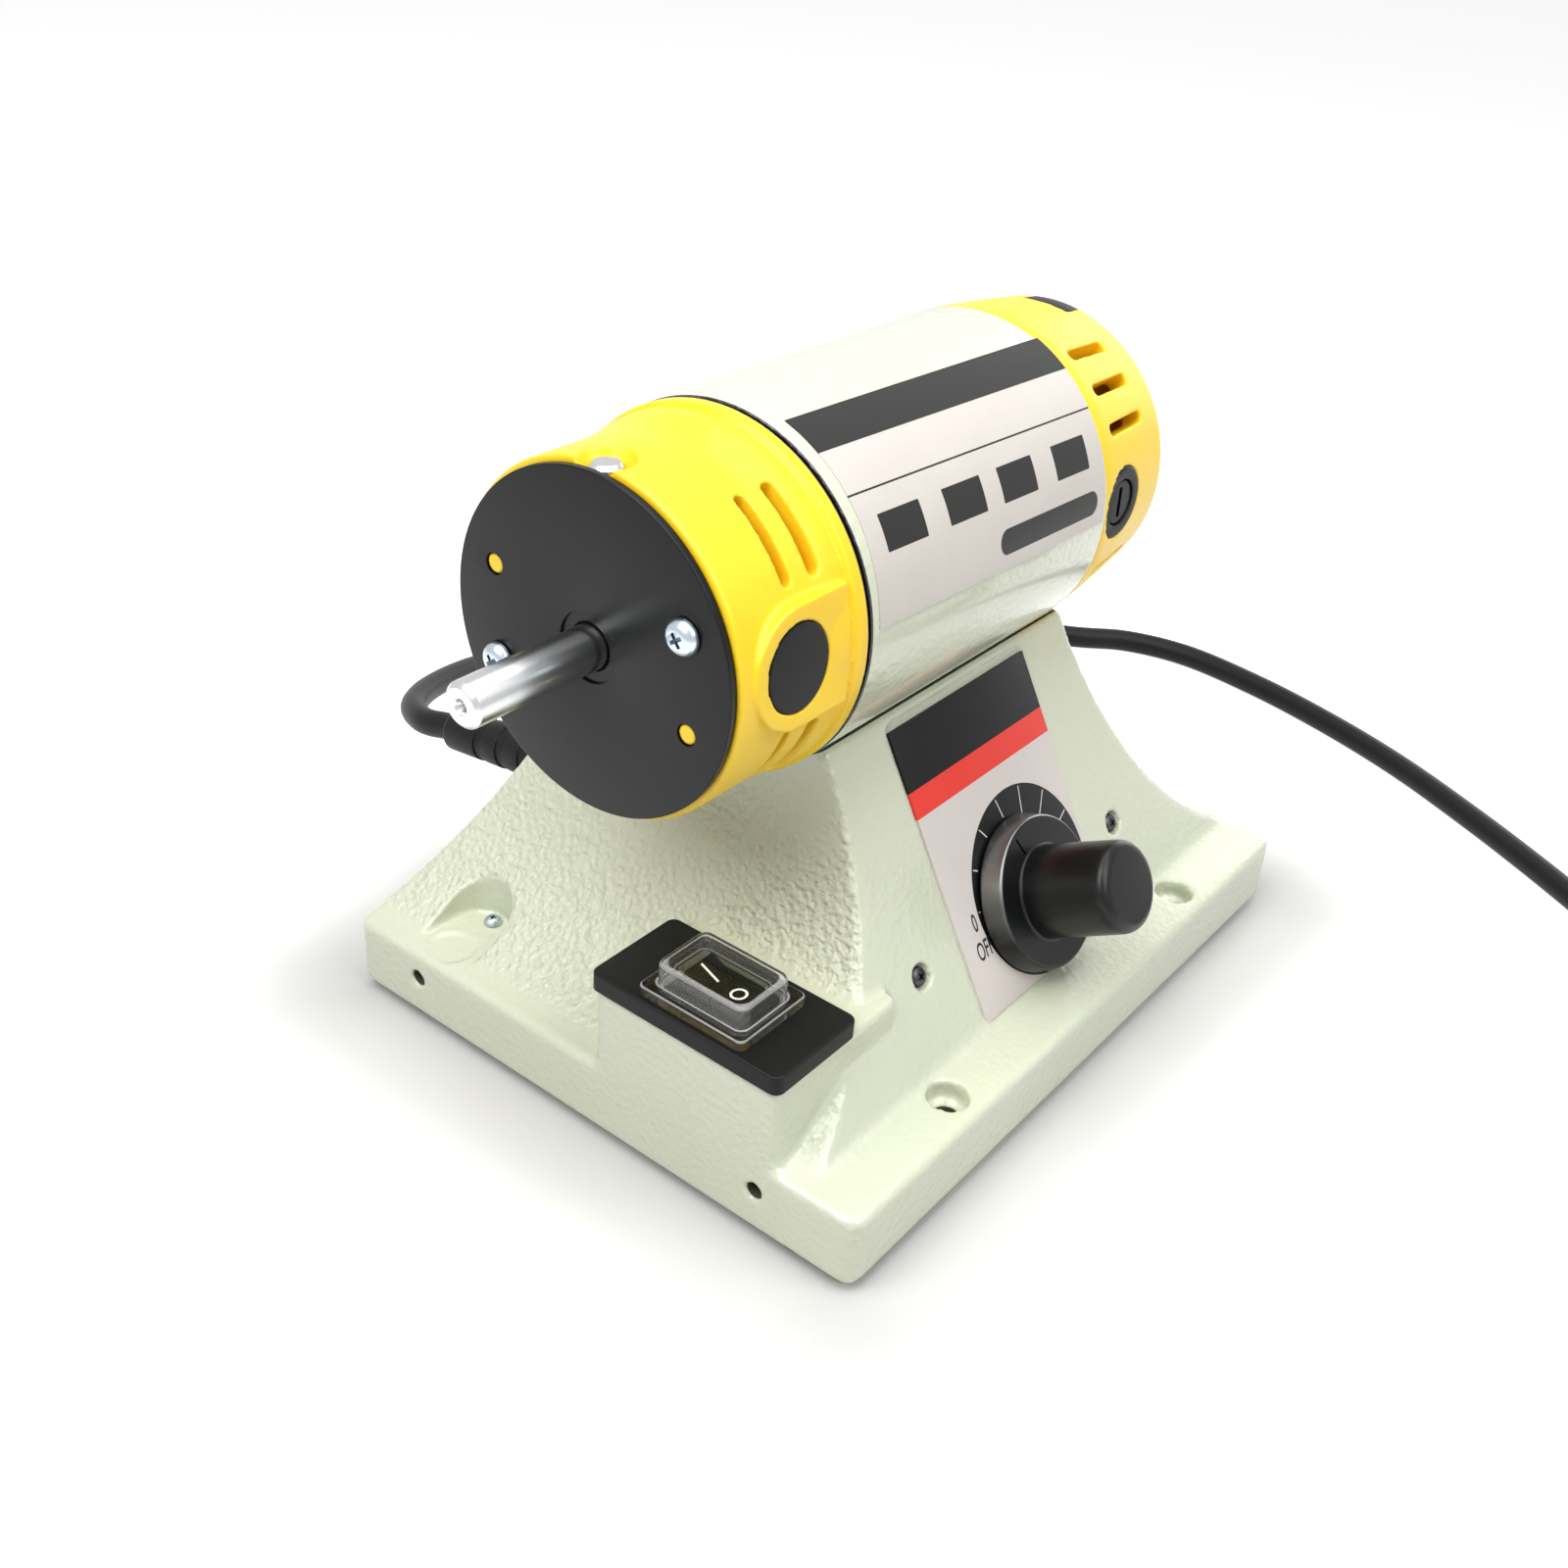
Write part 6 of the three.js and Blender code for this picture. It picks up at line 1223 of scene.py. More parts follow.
# Turned and polished steel: fine rings round it, drawn 0.22 mm apart, as coarse as they need to show
RING_SPACING = 0.222
RING_RUN = 16.7
RING_DEPTH = 0.05
bright_steel, steel = new_material("polished_turned_steel", Metallic=1.0)
position = add_node(bright_steel, "ShaderNodeTexCoord").node.outputs["Object"]
stretched = add_node(bright_steel, "ShaderNodeMapping", {
    "Vector": position, "Scale": [1 / (run * METRE) for run in (RING_SPACING, RING_RUN, RING_RUN)]})
rings = add_node(bright_steel, "ShaderNodeTexNoise", {"Vector": stretched, "Scale": 1.0, "Detail": 3.0})
tint = over(bright_steel, rings, linear("#D6D7D8"), linear("#C2C4C6"))
rough = add_node(bright_steel, "ShaderNodeMapRange", {"Value": rings, "To Min": 0.19, "To Max": 0.28})
relief = add_node(bright_steel, "ShaderNodeBump", {
    "Height": rings, "Strength": 0.02, "Distance": RING_DEPTH * METRE})
set_looks(bright_steel, steel, Base_Color=tint, Roughness=rough, Normal=relief)
finish_piece(spindle, bright_steel, "bright_steel", "rotor", "spindle")

# The lock pin: a polished steel button with a crowned head, sprung in its guide behind the disc.
LOCK_TOP = 38.4
LOCK_TIP = 6.6
LOCK_BEVEL = 0.9
LOCK_TIP_ROUND = 0.4
LOCK_ROUND = 0.2
COLLAR_FROM = 29
COLLAR_TO = 30.5
button = shape_object(turned([
    (LOCK_TIP, 0),
    (LOCK_TIP, LOCK_TIP_RADIUS, LOCK_TIP_ROUND),
    (LOCK_SHOULDER, LOCK_TIP_RADIUS),
    (LOCK_SHOULDER, LOCK_RADIUS, LOCK_ROUND),
    (COLLAR_FROM, LOCK_RADIUS),
    (COLLAR_FROM, GUIDE_RADIUS - FIT),
    (COLLAR_TO, GUIDE_RADIUS - FIT),
    (COLLAR_TO, LOCK_RADIUS),
    (LOCK_TOP - LOCK_BEVEL, LOCK_RADIUS, LOCK_ROUND),
    (LOCK_TOP, LOCK_RADIUS - LOCK_BEVEL, LOCK_ROUND),
    (LOCK_TOP, 0),
], facing(LOCK_ANGLE, LOCK_X), FINE_ROUND // 2), "lock_button")
finish_piece(button, bright_steel, "bright_steel", "lock_pin", "spindle_lock_pin")

# The rear housing: the same yellow ABS, slightly tapered to a rounded end, with three vent slots
# above and below each brush holder and a recess for the black inset on top.
REAR_FRONT = 37.3
REAR_SHOULDER = 41
REAR_SHOULDER_RADIUS = 42
REAR_MIDDLE = 55
REAR_MIDDLE_RADIUS = 40.6
REAR_CURVE_START = 71.5
REAR_CURVE_RADIUS = 38.6
REAR_CURVE = 5
REAR_CURVE_SHARE = 0.3
REAR_END_WALL = 3.2
SEAM_ROUND = 0.4
SHOULDER_ROUND = 0.8
MIDDLE_ROUND = 4
CURVE_ROUND = 3
END_ROUND = 1
VENT_FROM = 43.4
VENT_TO = 62.4
VENT_WIDTH = 3
VENT_ANGLES = (27, 41.5, 56)
VENT_WALL = 7
VENT_ROUND_SHARE = 0.49
INSET_FROM = 65
INSET_TO = 71.8
INSET_SPAN = (78, 98)
INSET_FLOOR = 36.4
INSET_RADIUS = 39.3
INSET_TAPER = 0.75
INSET_ANGLE_GAP = 0.3
REAR_SEAT = 11.15
REAR_SEAT_FROM = 60.5
REAR_SEAT_TO = 67.75
BRUSH_X = 48
BRUSH_ANGLE = 1.5
BRUSH_BOSS_RADIUS = 10.4
BRUSH_BOSS_FROM = 17
BRUSH_FACE = 40.4
HOLDER_RADIUS = 9.2
HOLDER_THICKNESS = 2.2
TUBE_RADIUS = 6.9
TUBE_FROM = 15
rear_end = REAR_CURVE_START + REAR_CURVE
bend = REAR_CURVE * REAR_CURVE_SHARE
rear = shape_object(turned([
    (REAR_FRONT, REAR_SHOULDER_RADIUS, SEAM_ROUND),
    (REAR_SHOULDER, REAR_SHOULDER_RADIUS, SHOULDER_ROUND),
    (REAR_MIDDLE, REAR_MIDDLE_RADIUS, MIDDLE_ROUND),
    (REAR_CURVE_START, REAR_CURVE_RADIUS),
    (rear_end - bend, REAR_CURVE_RADIUS - bend, CURVE_ROUND),
    (rear_end, REAR_CURVE_RADIUS - REAR_CURVE, END_ROUND),
    (rear_end, 0),
    (rear_end - REAR_END_WALL, 0),
    (rear_end - REAR_END_WALL, REAR_CURVE_RADIUS - 2 * HOUSING_WALL),
    (rear_end - REAR_END_WALL - HOUSING_WALL, REAR_CURVE_RADIUS - HOUSING_WALL),
    (VENT_TO + OVERRUN, REAR_CURVE_RADIUS - HOUSING_WALL),
    (VENT_TO + OVERRUN / 2, REAR_MIDDLE_RADIUS - VENT_WALL),
    (REAR_SHOULDER, REAR_MIDDLE_RADIUS - VENT_WALL),
    (REAR_SHOULDER, REAR_SHOULDER_RADIUS - HOUSING_WALL),
    (REAR_FRONT, REAR_SHOULDER_RADIUS - HOUSING_WALL),
], motor_axis), "yellow_rear")
added = [rod(REAR_SEAT + BOSS_WALL, REAR_SEAT_FROM, rear_end - REAR_END_WALL / 2, motor_axis)]
cuts = [
    rod(REAR_SEAT, REAR_SEAT_FROM - OVERRUN, REAR_SEAT_TO, motor_axis),
    rod(REAR_RADIUS + 2 * DISC_GAP, REAR_SEAT_FROM, SPINDLE_END + DISC_GAP, motor_axis),
    bar_around([(INSET_FROM - FIT, INSET_FLOOR), (INSET_TO + FIT, INSET_FLOOR),
                (INSET_TO + FIT, SHELL_RADIUS), (INSET_FROM - FIT, SHELL_RADIUS)], *INSET_SPAN),
]
for turn in (0, 180):
    brush_way = facing(BRUSH_ANGLE + turn, BRUSH_X)
    boss_end = REAR_MIDDLE_RADIUS - HOUSING_WALL / 2
    holder_seat = BRUSH_FACE - HOLDER_THICKNESS - DISC_GAP
    added.append(rod(BRUSH_BOSS_RADIUS, BRUSH_BOSS_FROM, boss_end, brush_way, FINE_ROUND))
    cuts.append(rod(HOLDER_RADIUS + FIT, holder_seat, SHELL_RADIUS + OVERRUN, brush_way, FINE_ROUND))
    cuts.append(rod(TUBE_RADIUS + FIT, BRUSH_BOSS_FROM - OVERRUN, SHELL_RADIUS, brush_way))
    for way in (-1, 1):
        for angle in VENT_ANGLES:
            vent = block((VENT_FROM, -VENT_WIDTH / 2, REAR_CURVE_RADIUS - 2 * VENT_WALL),
                         (VENT_TO, VENT_WIDTH / 2, SHELL_RADIUS + OVERRUN), VENT_WIDTH * VENT_ROUND_SHARE)
            vent.transform(facing(BRUSH_ANGLE + turn + way * angle))
            cuts.append(vent)
combine(rear, added, "UNION")
combine(rear, cuts, "DIFFERENCE")
remoulded(rear, HOUSING_GRAIN, 2, HOUSING_TRIANGLES)
finish_piece(rear, yellow_abs, "yellow_plastic", "machine", "rear_housing", smooth_all=True)

# The black piece on top is a flush inset that follows the round of the housing at its rear edge.
inset = bar_around([(INSET_FROM, INSET_FLOOR + FIT), (INSET_TO, INSET_FLOOR + FIT),
                    (INSET_TO, INSET_RADIUS - INSET_TAPER), (INSET_FROM, INSET_RADIUS)],
                   INSET_SPAN[0] + INSET_ANGLE_GAP, INSET_SPAN[1] - INSET_ANGLE_GAP)
eased_edges(inset, [edge for edge in inset.edges if edge.calc_face_angle(0) > SHARP_ANGLE], FIT, 2)
top_plug = shape_object(inset, "top_plug")
finish_piece(top_plug, moulded_black, "black_plastic", "machine", "rear_top_plug")

# The brush holders sit one on each side of the rear housing: a black bakelite collar and tube with
# a screwed cap that has a slot for a coin or a blade. The carbon and its spring lie behind it.
HOLDER_BORE = 6
CAP_RADIUS = 5.7
CAP_THICKNESS = 4
CAP_RECESS = 0.4
CAP_SLOT_WIDTH = 1.6
CAP_SLOT_LENGTH = 8
CAP_SLOT_DEPTH = 1.4
BAKELITE_ROUND = 0.3
COLLAR_ROUND = 0.7
BORE_ROUND = 0.4
CAP_ROUND = 0.5
CHANNEL_X = 8.4
CHANNEL_Z = 6.4
cap_top = BRUSH_FACE - CAP_RECESS
cap_bottom = cap_top - CAP_THICKNESS
for side, turn in (("knob_side", 0), ("cord_side", 180)):
    brush_way = facing(BRUSH_ANGLE + turn, BRUSH_X)
    collar = shape_object(turned([
        (TUBE_FROM, 0),
        (TUBE_FROM, TUBE_RADIUS, BAKELITE_ROUND),
        (BRUSH_FACE - HOLDER_THICKNESS, TUBE_RADIUS),
        (BRUSH_FACE - HOLDER_THICKNESS, HOLDER_RADIUS, BAKELITE_ROUND),
        (BRUSH_FACE, HOLDER_RADIUS, COLLAR_ROUND),
        (BRUSH_FACE, HOLDER_BORE, BORE_ROUND),
        (cap_bottom - FIT, HOLDER_BORE),
        (cap_bottom - FIT, 0),
    ], brush_way), "bakelite_collar_" + side)
    channel = block((-CHANNEL_X / 2, -CHANNEL_Z / 2, 0), (CHANNEL_X / 2, CHANNEL_Z / 2, cap_bottom + FIT))
    channel.transform(brush_way)
    combine(collar, [channel], "DIFFERENCE")
    finish_piece(collar, moulded_black, "black_plastic", "machine", "brush_holder_" + side)
    cap = shape_object(turned([
        (cap_bottom, 0),
        (cap_bottom, CAP_RADIUS, BAKELITE_ROUND),
        (cap_top, CAP_RADIUS, CAP_ROUND),
        (cap_top, 0),
    ], brush_way), "bakelite_cap_" + side)
    slot = block((-CAP_SLOT_WIDTH / 2, -CAP_SLOT_LENGTH / 2, cap_top - CAP_SLOT_DEPTH),
                 (CAP_SLOT_WIDTH / 2, CAP_SLOT_LENGTH / 2, cap_top + OVERRUN), CAP_SLOT_WIDTH / 3)
    slot.transform(brush_way)
    combine(cap, [slot], "DIFFERENCE")
    finish_piece(cap, moulded_black, "black_plastic", "machine", "brush_cap_" + side)

# The control panel: a thin plate with a printed film in a recess of the slope, screwed down by the
# control's nut. Its print is a dark band, a red strip, a black dial with light ticks, 0 and OFF.
PANEL_UNDER = -0.55
PANEL_FACE = 0.35
PANEL_EASE = 0.15
PRINT_BLEED = 2
PRINT_CORNER = 0.05
BAND_FROM = 62.3
STRIP_FROM = 55.5
BAND_COLOUR = "#0B0C0C"
STRIP_COLOUR = "#E8443A"
FILM_COLOUR = "#DAD2CE"
DULL_FILM_COLOUR = "#D1C9C5"
DIAL_PLACE = (6.8, 24.5)
DIAL_RADIUS = 24.7
DIAL_COLOUR = "#0C0D0E"
TICK_COUNT = 9
TICK_FIRST_ANGLE = 176
TICK_STEP_ANGLE = 25.3
TICK_OUTER = 24.1
TICK_SHORTEST = 0.5
TICK_LONGER = 1.75
TICK_WIDTH = 0.34
INK_FLOAT = 0.03
INK_THICKNESS = 0.03
LETTERING = [
    # words, middle across, middle up the panel
    ("0", -20.1, 24.4),
    ("OFF", -19.4, 17.1),
]
LETTER_HEIGHT = 4.6
CAPITAL_SHARE = 0.69
LETTER_WIDTH_SHARE = 0.56
LETTER_WEIGHT = 0.06

plate = block((PANEL_X - PANEL_WIDTH / 2, PANEL_BOTTOM, PANEL_UNDER),
              (PANEL_X + PANEL_WIDTH / 2, PANEL_TOP, PANEL_FACE), PANEL_CORNER)
top_edges = [edge for edge in plate.edges if min(vert.co.z for vert in edge.verts) > PANEL_FACE / 2]
eased_edges(plate, top_edges, PANEL_EASE, 2)
plate.transform(slope_face)
plate = shape_object(plate, "printed_panel_plate")
combine(plate, [rod(BUSHING_HOLE, -OVERRUN, OVERRUN, slope_face @ at(*KNOB_PLACE))], "DIFFERENCE")

panel_film, film = new_material("printed_panel_film", Metallic=0.1, Roughness=0.4, Specular_IOR_Level=0.22)
panel_spot, panel_lean, panel_scale = (row_place @ slope_face).decompose()
position = add_node(panel_film, "ShaderNodeTexCoord").node.outputs["Object"]
place = add_node(panel_film, "ShaderNodeMapping", {
    "Vector": position, "Location": panel_spot, "Rotation": panel_lean.to_euler(), "Scale": panel_scale},
    vector_type="TEXTURE")
shimmer = add_node(panel_film, "ShaderNodeTexNoise", {
    "Vector": position, "Scale": 1 / (SHIMMER_PATCHES * METRE), "Detail": 2.0})
tint = over(panel_film, shimmer, linear(FILM_COLOUR), linear(DULL_FILM_COLOUR))
band_middle = (PANEL_X, (BAND_FROM + PANEL_TOP + PRINT_BLEED) / 2)
strip_middle = (PANEL_X, (STRIP_FROM + BAND_FROM) / 2)
print_width = PANEL_WIDTH + PRINT_BLEED
prints = [
    (BAND_COLOUR, band_middle, print_width, PANEL_TOP - BAND_FROM + PRINT_BLEED, PRINT_CORNER),
    (STRIP_COLOUR, strip_middle, print_width, BAND_FROM - STRIP_FROM, PRINT_CORNER),
    (DIAL_COLOUR, DIAL_PLACE, 2 * DIAL_RADIUS, 2 * DIAL_RADIUS, DIAL_RADIUS),
]
for colour, middle, width, height, corner in prints:
    mask = printed_field(panel_film, place, middle, width, height, corner)
    tint = over(panel_film, mask, tint, linear(colour))
set_looks(panel_film, film, Base_Color=tint)
finish_piece(plate, panel_film, "printed_panel", "machine", "control_panel_plate")


def merged(shapes):
    """One shape from many."""
    whole = bmesh.new()
    mesh = bpy.data.meshes.new("part")
    for shape in shapes:
        shape.to_mesh(mesh)
        shape.free()
        whole.from_mesh(mesh)
    bpy.data.meshes.remove(mesh)
    return whole


ticks = []
for i in range(TICK_COUNT):
    length = max(TICK_SHORTEST, TICK_LONGER * i)
    tick = block((TICK_OUTER - length, -TICK_WIDTH / 2, 0), (TICK_OUTER, TICK_WIDTH / 2, INK_THICKNESS))
    turn = Matrix.Rotation(math.radians(TICK_FIRST_ANGLE - TICK_STEP_ANGLE * i), 4, "Z")
    tick.transform(slope_face @ at(*DIAL_PLACE, PANEL_FACE + INK_FLOAT) @ turn)
    ticks.append(tick)
light_ink, _ = new_material("light_printing_ink", Base_Color=linear("#D5D6D4"), Roughness=0.5)
finish_piece(shape_object(merged(ticks), "dial_ticks"), light_ink, "printed_panel", "machine")

dark_ink, _ = new_material("dark_printing_ink", Base_Color=linear("#141414"), Roughness=0.5)
for words, across, up in LETTERING:
    letters = bpy.data.curves.new("lettering_" + words, "FONT")
    letters.body = words
    letters.size = LETTER_HEIGHT / CAPITAL_SHARE
    letters.align_x = "CENTER"
    letters.align_y = "CENTER"
    letters.extrude = INK_THICKNESS / 2
    letters.offset = LETTER_WEIGHT
    letters.resolution_u = 6
    drawn = bpy.data.objects.new("lettering_" + words, letters)
    scene.collection.objects.link(drawn)
    bpy.context.view_layer.update()
    mesh = bpy.data.meshes.new_from_object(drawn.evaluated_get(bpy.context.evaluated_depsgraph_get()))
    bpy.data.objects.remove(drawn)
    narrow = Matrix.Diagonal((LETTER_WIDTH_SHARE, 1, 1, 1))
    mesh.transform(slope_face @ at(across, up, PANEL_FACE + INK_FLOAT) @ narrow)
    printed = bpy.data.objects.new("lettering_" + words, mesh)
    scene.collection.objects.link(printed)
    finish_piece(printed, dark_ink, "printed_panel", "machine")

# The speed knob: black ABS moulded in one with its skirt, a plain grip with a rounded end and a
# pointer line cut in the skirt. It pushes on the control's shaft.
KNOB_FLOAT = 0.85
SKIRT_RADIUS = 20.5
SKIRT_FACE_RADIUS = 19.6
SKIRT_HEIGHT = 6.4
SKIRT_ROUND = 0.8
SKIRT_FACE_ROUND = 0.9
GRIP_RADIUS = 12
GRIP_TOP_RADIUS = 11.6
KNOB_HEIGHT = 30.8
GRIP_ROUND = 3.2
KNOB_HOLLOW = 7.5
KNOB_HOLLOW_DEPTH = 9
KNOB_BORE = 3.25
KNOB_BORE_DEPTH = 23
POINTER_ANGLE = 110
POINTER_FROM = 12.9
POINTER_TO = 18.1
POINTER_WIDTH = 0.7
POINTER_DEPTH = 0.45
knob_top = KNOB_FLOAT + KNOB_HEIGHT
skirt_face = KNOB_FLOAT + SKIRT_HEIGHT
knob_place = slope_face @ at(*KNOB_PLACE)
knob = shape_object(turned([
    (KNOB_FLOAT + KNOB_BORE_DEPTH, 0),
    (KNOB_FLOAT + KNOB_BORE_DEPTH, KNOB_BORE),
    (KNOB_FLOAT + KNOB_HOLLOW_DEPTH, KNOB_BORE),
    (KNOB_FLOAT + KNOB_HOLLOW_DEPTH, KNOB_HOLLOW),
    (KNOB_FLOAT, KNOB_HOLLOW),
    (KNOB_FLOAT, SKIRT_RADIUS, SKIRT_ROUND),
    (skirt_face, SKIRT_FACE_RADIUS, SKIRT_FACE_ROUND),
    (skirt_face, GRIP_RADIUS, SKIRT_FACE_ROUND),
    (knob_top, GRIP_TOP_RADIUS, GRIP_ROUND),
    (knob_top, 0),
], knob_place, 2 * FINE_ROUND, 6), "speed_knob_moulding")
pointer = block((POINTER_FROM, -POINTER_WIDTH / 2, skirt_face - POINTER_DEPTH),
                (POINTER_TO, POINTER_WIDTH / 2, skirt_face + OVERRUN))
pointer.transform(knob_place @ Matrix.Rotation(math.radians(POINTER_ANGLE), 4, "Z"))
combine(knob, [pointer], "DIFFERENCE")

# Satin black ABS of the knob: smoother than the other mouldings, so its flank mirrors the room. The
# glossy coat lies only on the upper part of the flank: its reflection is real, its placement is a
# painted highlight where the light falls.
KNOB_PATCHES = 12.5
FLANK_MARGIN = 0.3
SHEEN_FROM = -6.0
SHEEN_FULL = 10.0
knob_black, knob_shader, position, _ = skin_material(
    "satin_black_abs", BLACK_GRAIN, KNOB_PATCHES, ("#090A0A", "#0F1011"), 0.15,
    Roughness=0.3, IOR=1.54, Specular_IOR_Level=0.25, Coat_IOR=2.4, Coat_Roughness=0.32)
knob_spot, knob_lean, knob_scale = (row_place @ knob_place).decompose()
place = add_node(knob_black, "ShaderNodeMapping", {
    "Vector": position, "Location": knob_spot, "Rotation": knob_lean.to_euler(), "Scale": knob_scale},
    vector_type="TEXTURE")
place = add_node(knob_black, "ShaderNodeVectorMath", {0: place, 1: (1, 1, 0)}, operation="MULTIPLY")
reach = add_node(knob_black, "ShaderNodeVectorMath", {0: place}, operation="LENGTH").node.outputs["Value"]
# Painted highlight: the coat band on the skirt's flank, kept to its upper side.
painted_flank_sheen = add_node(knob_black, "ShaderNodeMath", {
    0: reach, 1: SKIRT_RADIUS, 2: SKIRT_RADIUS - SKIRT_FACE_RADIUS + FLANK_MARGIN}, operation="COMPARE")
upper = add_node(knob_black, "ShaderNodeSeparateXYZ", {"Vector": place}).node.outputs["Y"]
upper = add_node(knob_black, "ShaderNodeMapRange", {
    "Value": upper, "From Min": SHEEN_FROM, "From Max": SHEEN_FULL})
painted_flank_sheen = add_node(knob_black, "ShaderNodeMath", {0: painted_flank_sheen, 1: upper}, operation="MULTIPLY")
set_looks(knob_black, knob_shader, Coat_Weight=painted_flank_sheen)
finish_piece(knob, knob_black, "black_plastic", "knob", "speed_knob")

# Two screws hold the control board inside the slope: blackened pan heads in deep round recesses.
PANEL_HEAD_RADIUS = 2.7
PANEL_HEAD_HEIGHT = 1.9
PANEL_SHANK_RADIUS = 1.5
PANEL_SHANK_LENGTH = 14
SLOPE_SCREW_TURN = 20
OXIDE_GRAIN = 1.43

# Black oxide on steel: a dark grey metal with a dull oiled shine that varies from spot to spot
black_oxide = worked_material("black_oxide_steel", OXIDE_GRAIN, ("#3C3D3F", "#505254"), (0.25, 0.42), 1.0)
for name, x in zip(("left", "right"), PANEL_SCREW_XS):
    seat = slope_face @ at(x, PANEL_SCREW_Y, -SCREW_RECESS_DEPTH + FIT)
    screw = pan_screw("slope_screw_" + name, seat @ Matrix.Rotation(math.radians(SLOPE_SCREW_TURN), 4, "Z"),
                      PANEL_HEAD_RADIUS, PANEL_HEAD_HEIGHT, PANEL_SHANK_RADIUS, PANEL_SHANK_LENGTH)
    finish_piece(screw, black_oxide, "black_plastic", "machine", "panel_screw_" + name)

# Two zinc screws stand in the corner pockets, where they hold the bottom plate's brackets.
POCKET_HEAD_RADIUS = 2.3
POCKET_HEAD_HEIGHT = 1.7
POCKET_SHANK_LENGTH = 9
POCKET_SCREW_TURN = 25
for name, side in (("spindle_side", -1), ("rear_side", 1)):
    seat = at(side * POCKET_SCREW_X, POCKET_Y, FLANGE_TOP + FIT)
    seat = seat @ Matrix.Rotation(math.radians(POCKET_SCREW_TURN), 4, "Z")
    screw = pan_screw("corner_screw_" + name, seat, POCKET_HEAD_RADIUS, POCKET_HEAD_HEIGHT,
                      POCKET_SCREW_RADIUS - FIT, POCKET_SHANK_LENGTH)
    finish_piece(screw, zinc_plate, "zinc_steel", "machine", "pocket_screw_" + name)

# The switch plate: a thick black moulded cap on the switch block, with soft edges and a window for
# the rocker switch.
PLATE_UNDER = 45.75
PLATE_TOP = 50.5
PLATE_BACK = -76
PLATE_EASE = 0.6
PLATE_OVERHANG = 0.8
PLATE_CORNER = 2.4
ROCKER_PLACE = (-91, -31.8)
BODY_X = 12.6
BODY_Y = 18.6
WINDOW_GAP = 0.3
lid = block((BLOCK_LOW[0] - PLATE_OVERHANG, BLOCK_LOW[1] - PLATE_OVERHANG, PLATE_UNDER),
            (PLATE_BACK + PLATE_OVERHANG, BLOCK_HIGH[1] + PLATE_OVERHANG, PLATE_TOP), PLATE_CORNER)


def ease_top(shape, top, radius, steps=4):
    """Rounds the edges that lie at the given height."""
    rim = [edge for edge in shape.edges if min(vert.co.z for vert in edge.verts) > top - radius / 2]
    eased_edges(shape, rim, radius, steps)
    return shape


lid = shape_object(ease_top(lid, PLATE_TOP, PLATE_EASE), "switch_cap")
window = block((-BODY_X / 2 - WINDOW_GAP, -BODY_Y / 2 - WINDOW_GAP, 0),
               (BODY_X / 2 + WINDOW_GAP, BODY_Y / 2 + WINDOW_GAP, CROWN_Z))
window.transform(at(*ROCKER_PLACE))
combine(lid, [window], "DIFFERENCE")
finish_piece(lid, moulded_black, "black_plastic", "machine", "switch_plate")

# The rocker switch: a small snap-in body with a bezel, and a rocker that tilts on two pins. The
# end marked I stands up, so the switch is off.
BEZEL_X = 15
BEZEL_Y = 21
BEZEL_HEIGHT = 2
BEZEL_GAP = 0.25
BEZEL_CORNER = 1
BEZEL_EASE = 0.5
BEZEL_FLANGE = 1
BODY_DEPTH = 13
WELL_WALL_X = 1.2
WELL_WALL_Y = 0.6
WELL_DEPTH = 5.8
PIVOT_Z = 51.85
PIVOT_RADIUS = 0.75
ROCKER_TURN = 9
ROCKER_HALF_WIDTH = 4.75
ROCKER_EASE = 0.3
ROCKER_EDGE_ANGLE = math.radians(40)
ROCKER_TIP = (7.9, 4.1)
ROCKER_DIP = (0, 2)
ROCKER_SIDE = [
    # along the rocker, above its pins
    (-5.2, -1.6), (5.2, -1.6), (7.2, -1.1), (7.85, 0.8), ROCKER_TIP, (4, 2.9), ROCKER_DIP, (-4, 2.9),
    (-ROCKER_TIP[0], ROCKER_TIP[1]), (-7.85, 0.8), (-7.2, -1.1),
]
MARK_SLOPE = math.degrees(math.atan2(ROCKER_TIP[1] - ROCKER_DIP[1], ROCKER_TIP[0]))
MARK_PLACE = 4.3
MARK_LENGTH = 5.6
MARK_WIDTH = 0.6
RING_RADIUS = 2.1
RING_STROKE = 0.6
bezel_under = PLATE_TOP + BEZEL_GAP
bezel_top = bezel_under + BEZEL_HEIGHT
bezel = block((-BEZEL_X / 2, -BEZEL_Y / 2, bezel_under),
              (BEZEL_X / 2, BEZEL_Y / 2, bezel_top), BEZEL_CORNER)
snap_in = shape_object(ease_top(bezel, bezel_top, BEZEL_EASE), "snap_in_switch")
body = block((-BODY_X / 2, -BODY_Y / 2, PLATE_TOP - BODY_DEPTH),
             (BODY_X / 2, BODY_Y / 2, bezel_top - BEZEL_FLANGE))
combine(snap_in, [body], "UNION")
well_x, well_y = BODY_X / 2 - WELL_WALL_X, BODY_Y / 2 - WELL_WALL_Y
well = block((-well_x, -well_y, bezel_top - WELL_DEPTH), (well_x, well_y, bezel_top + OVERRUN))
combine(snap_in, [well], "DIFFERENCE")
pin_half = BODY_X / 2 - WELL_WALL_X / 2
combine(snap_in, [rod(PIVOT_RADIUS, -pin_half, pin_half, at(0, 0, PIVOT_Z) @ along_x)], "UNION")
snap_in.data.transform(at(*ROCKER_PLACE))
finish_piece(snap_in, moulded_black, "black_plastic", "machine", "rocker_switch_body")

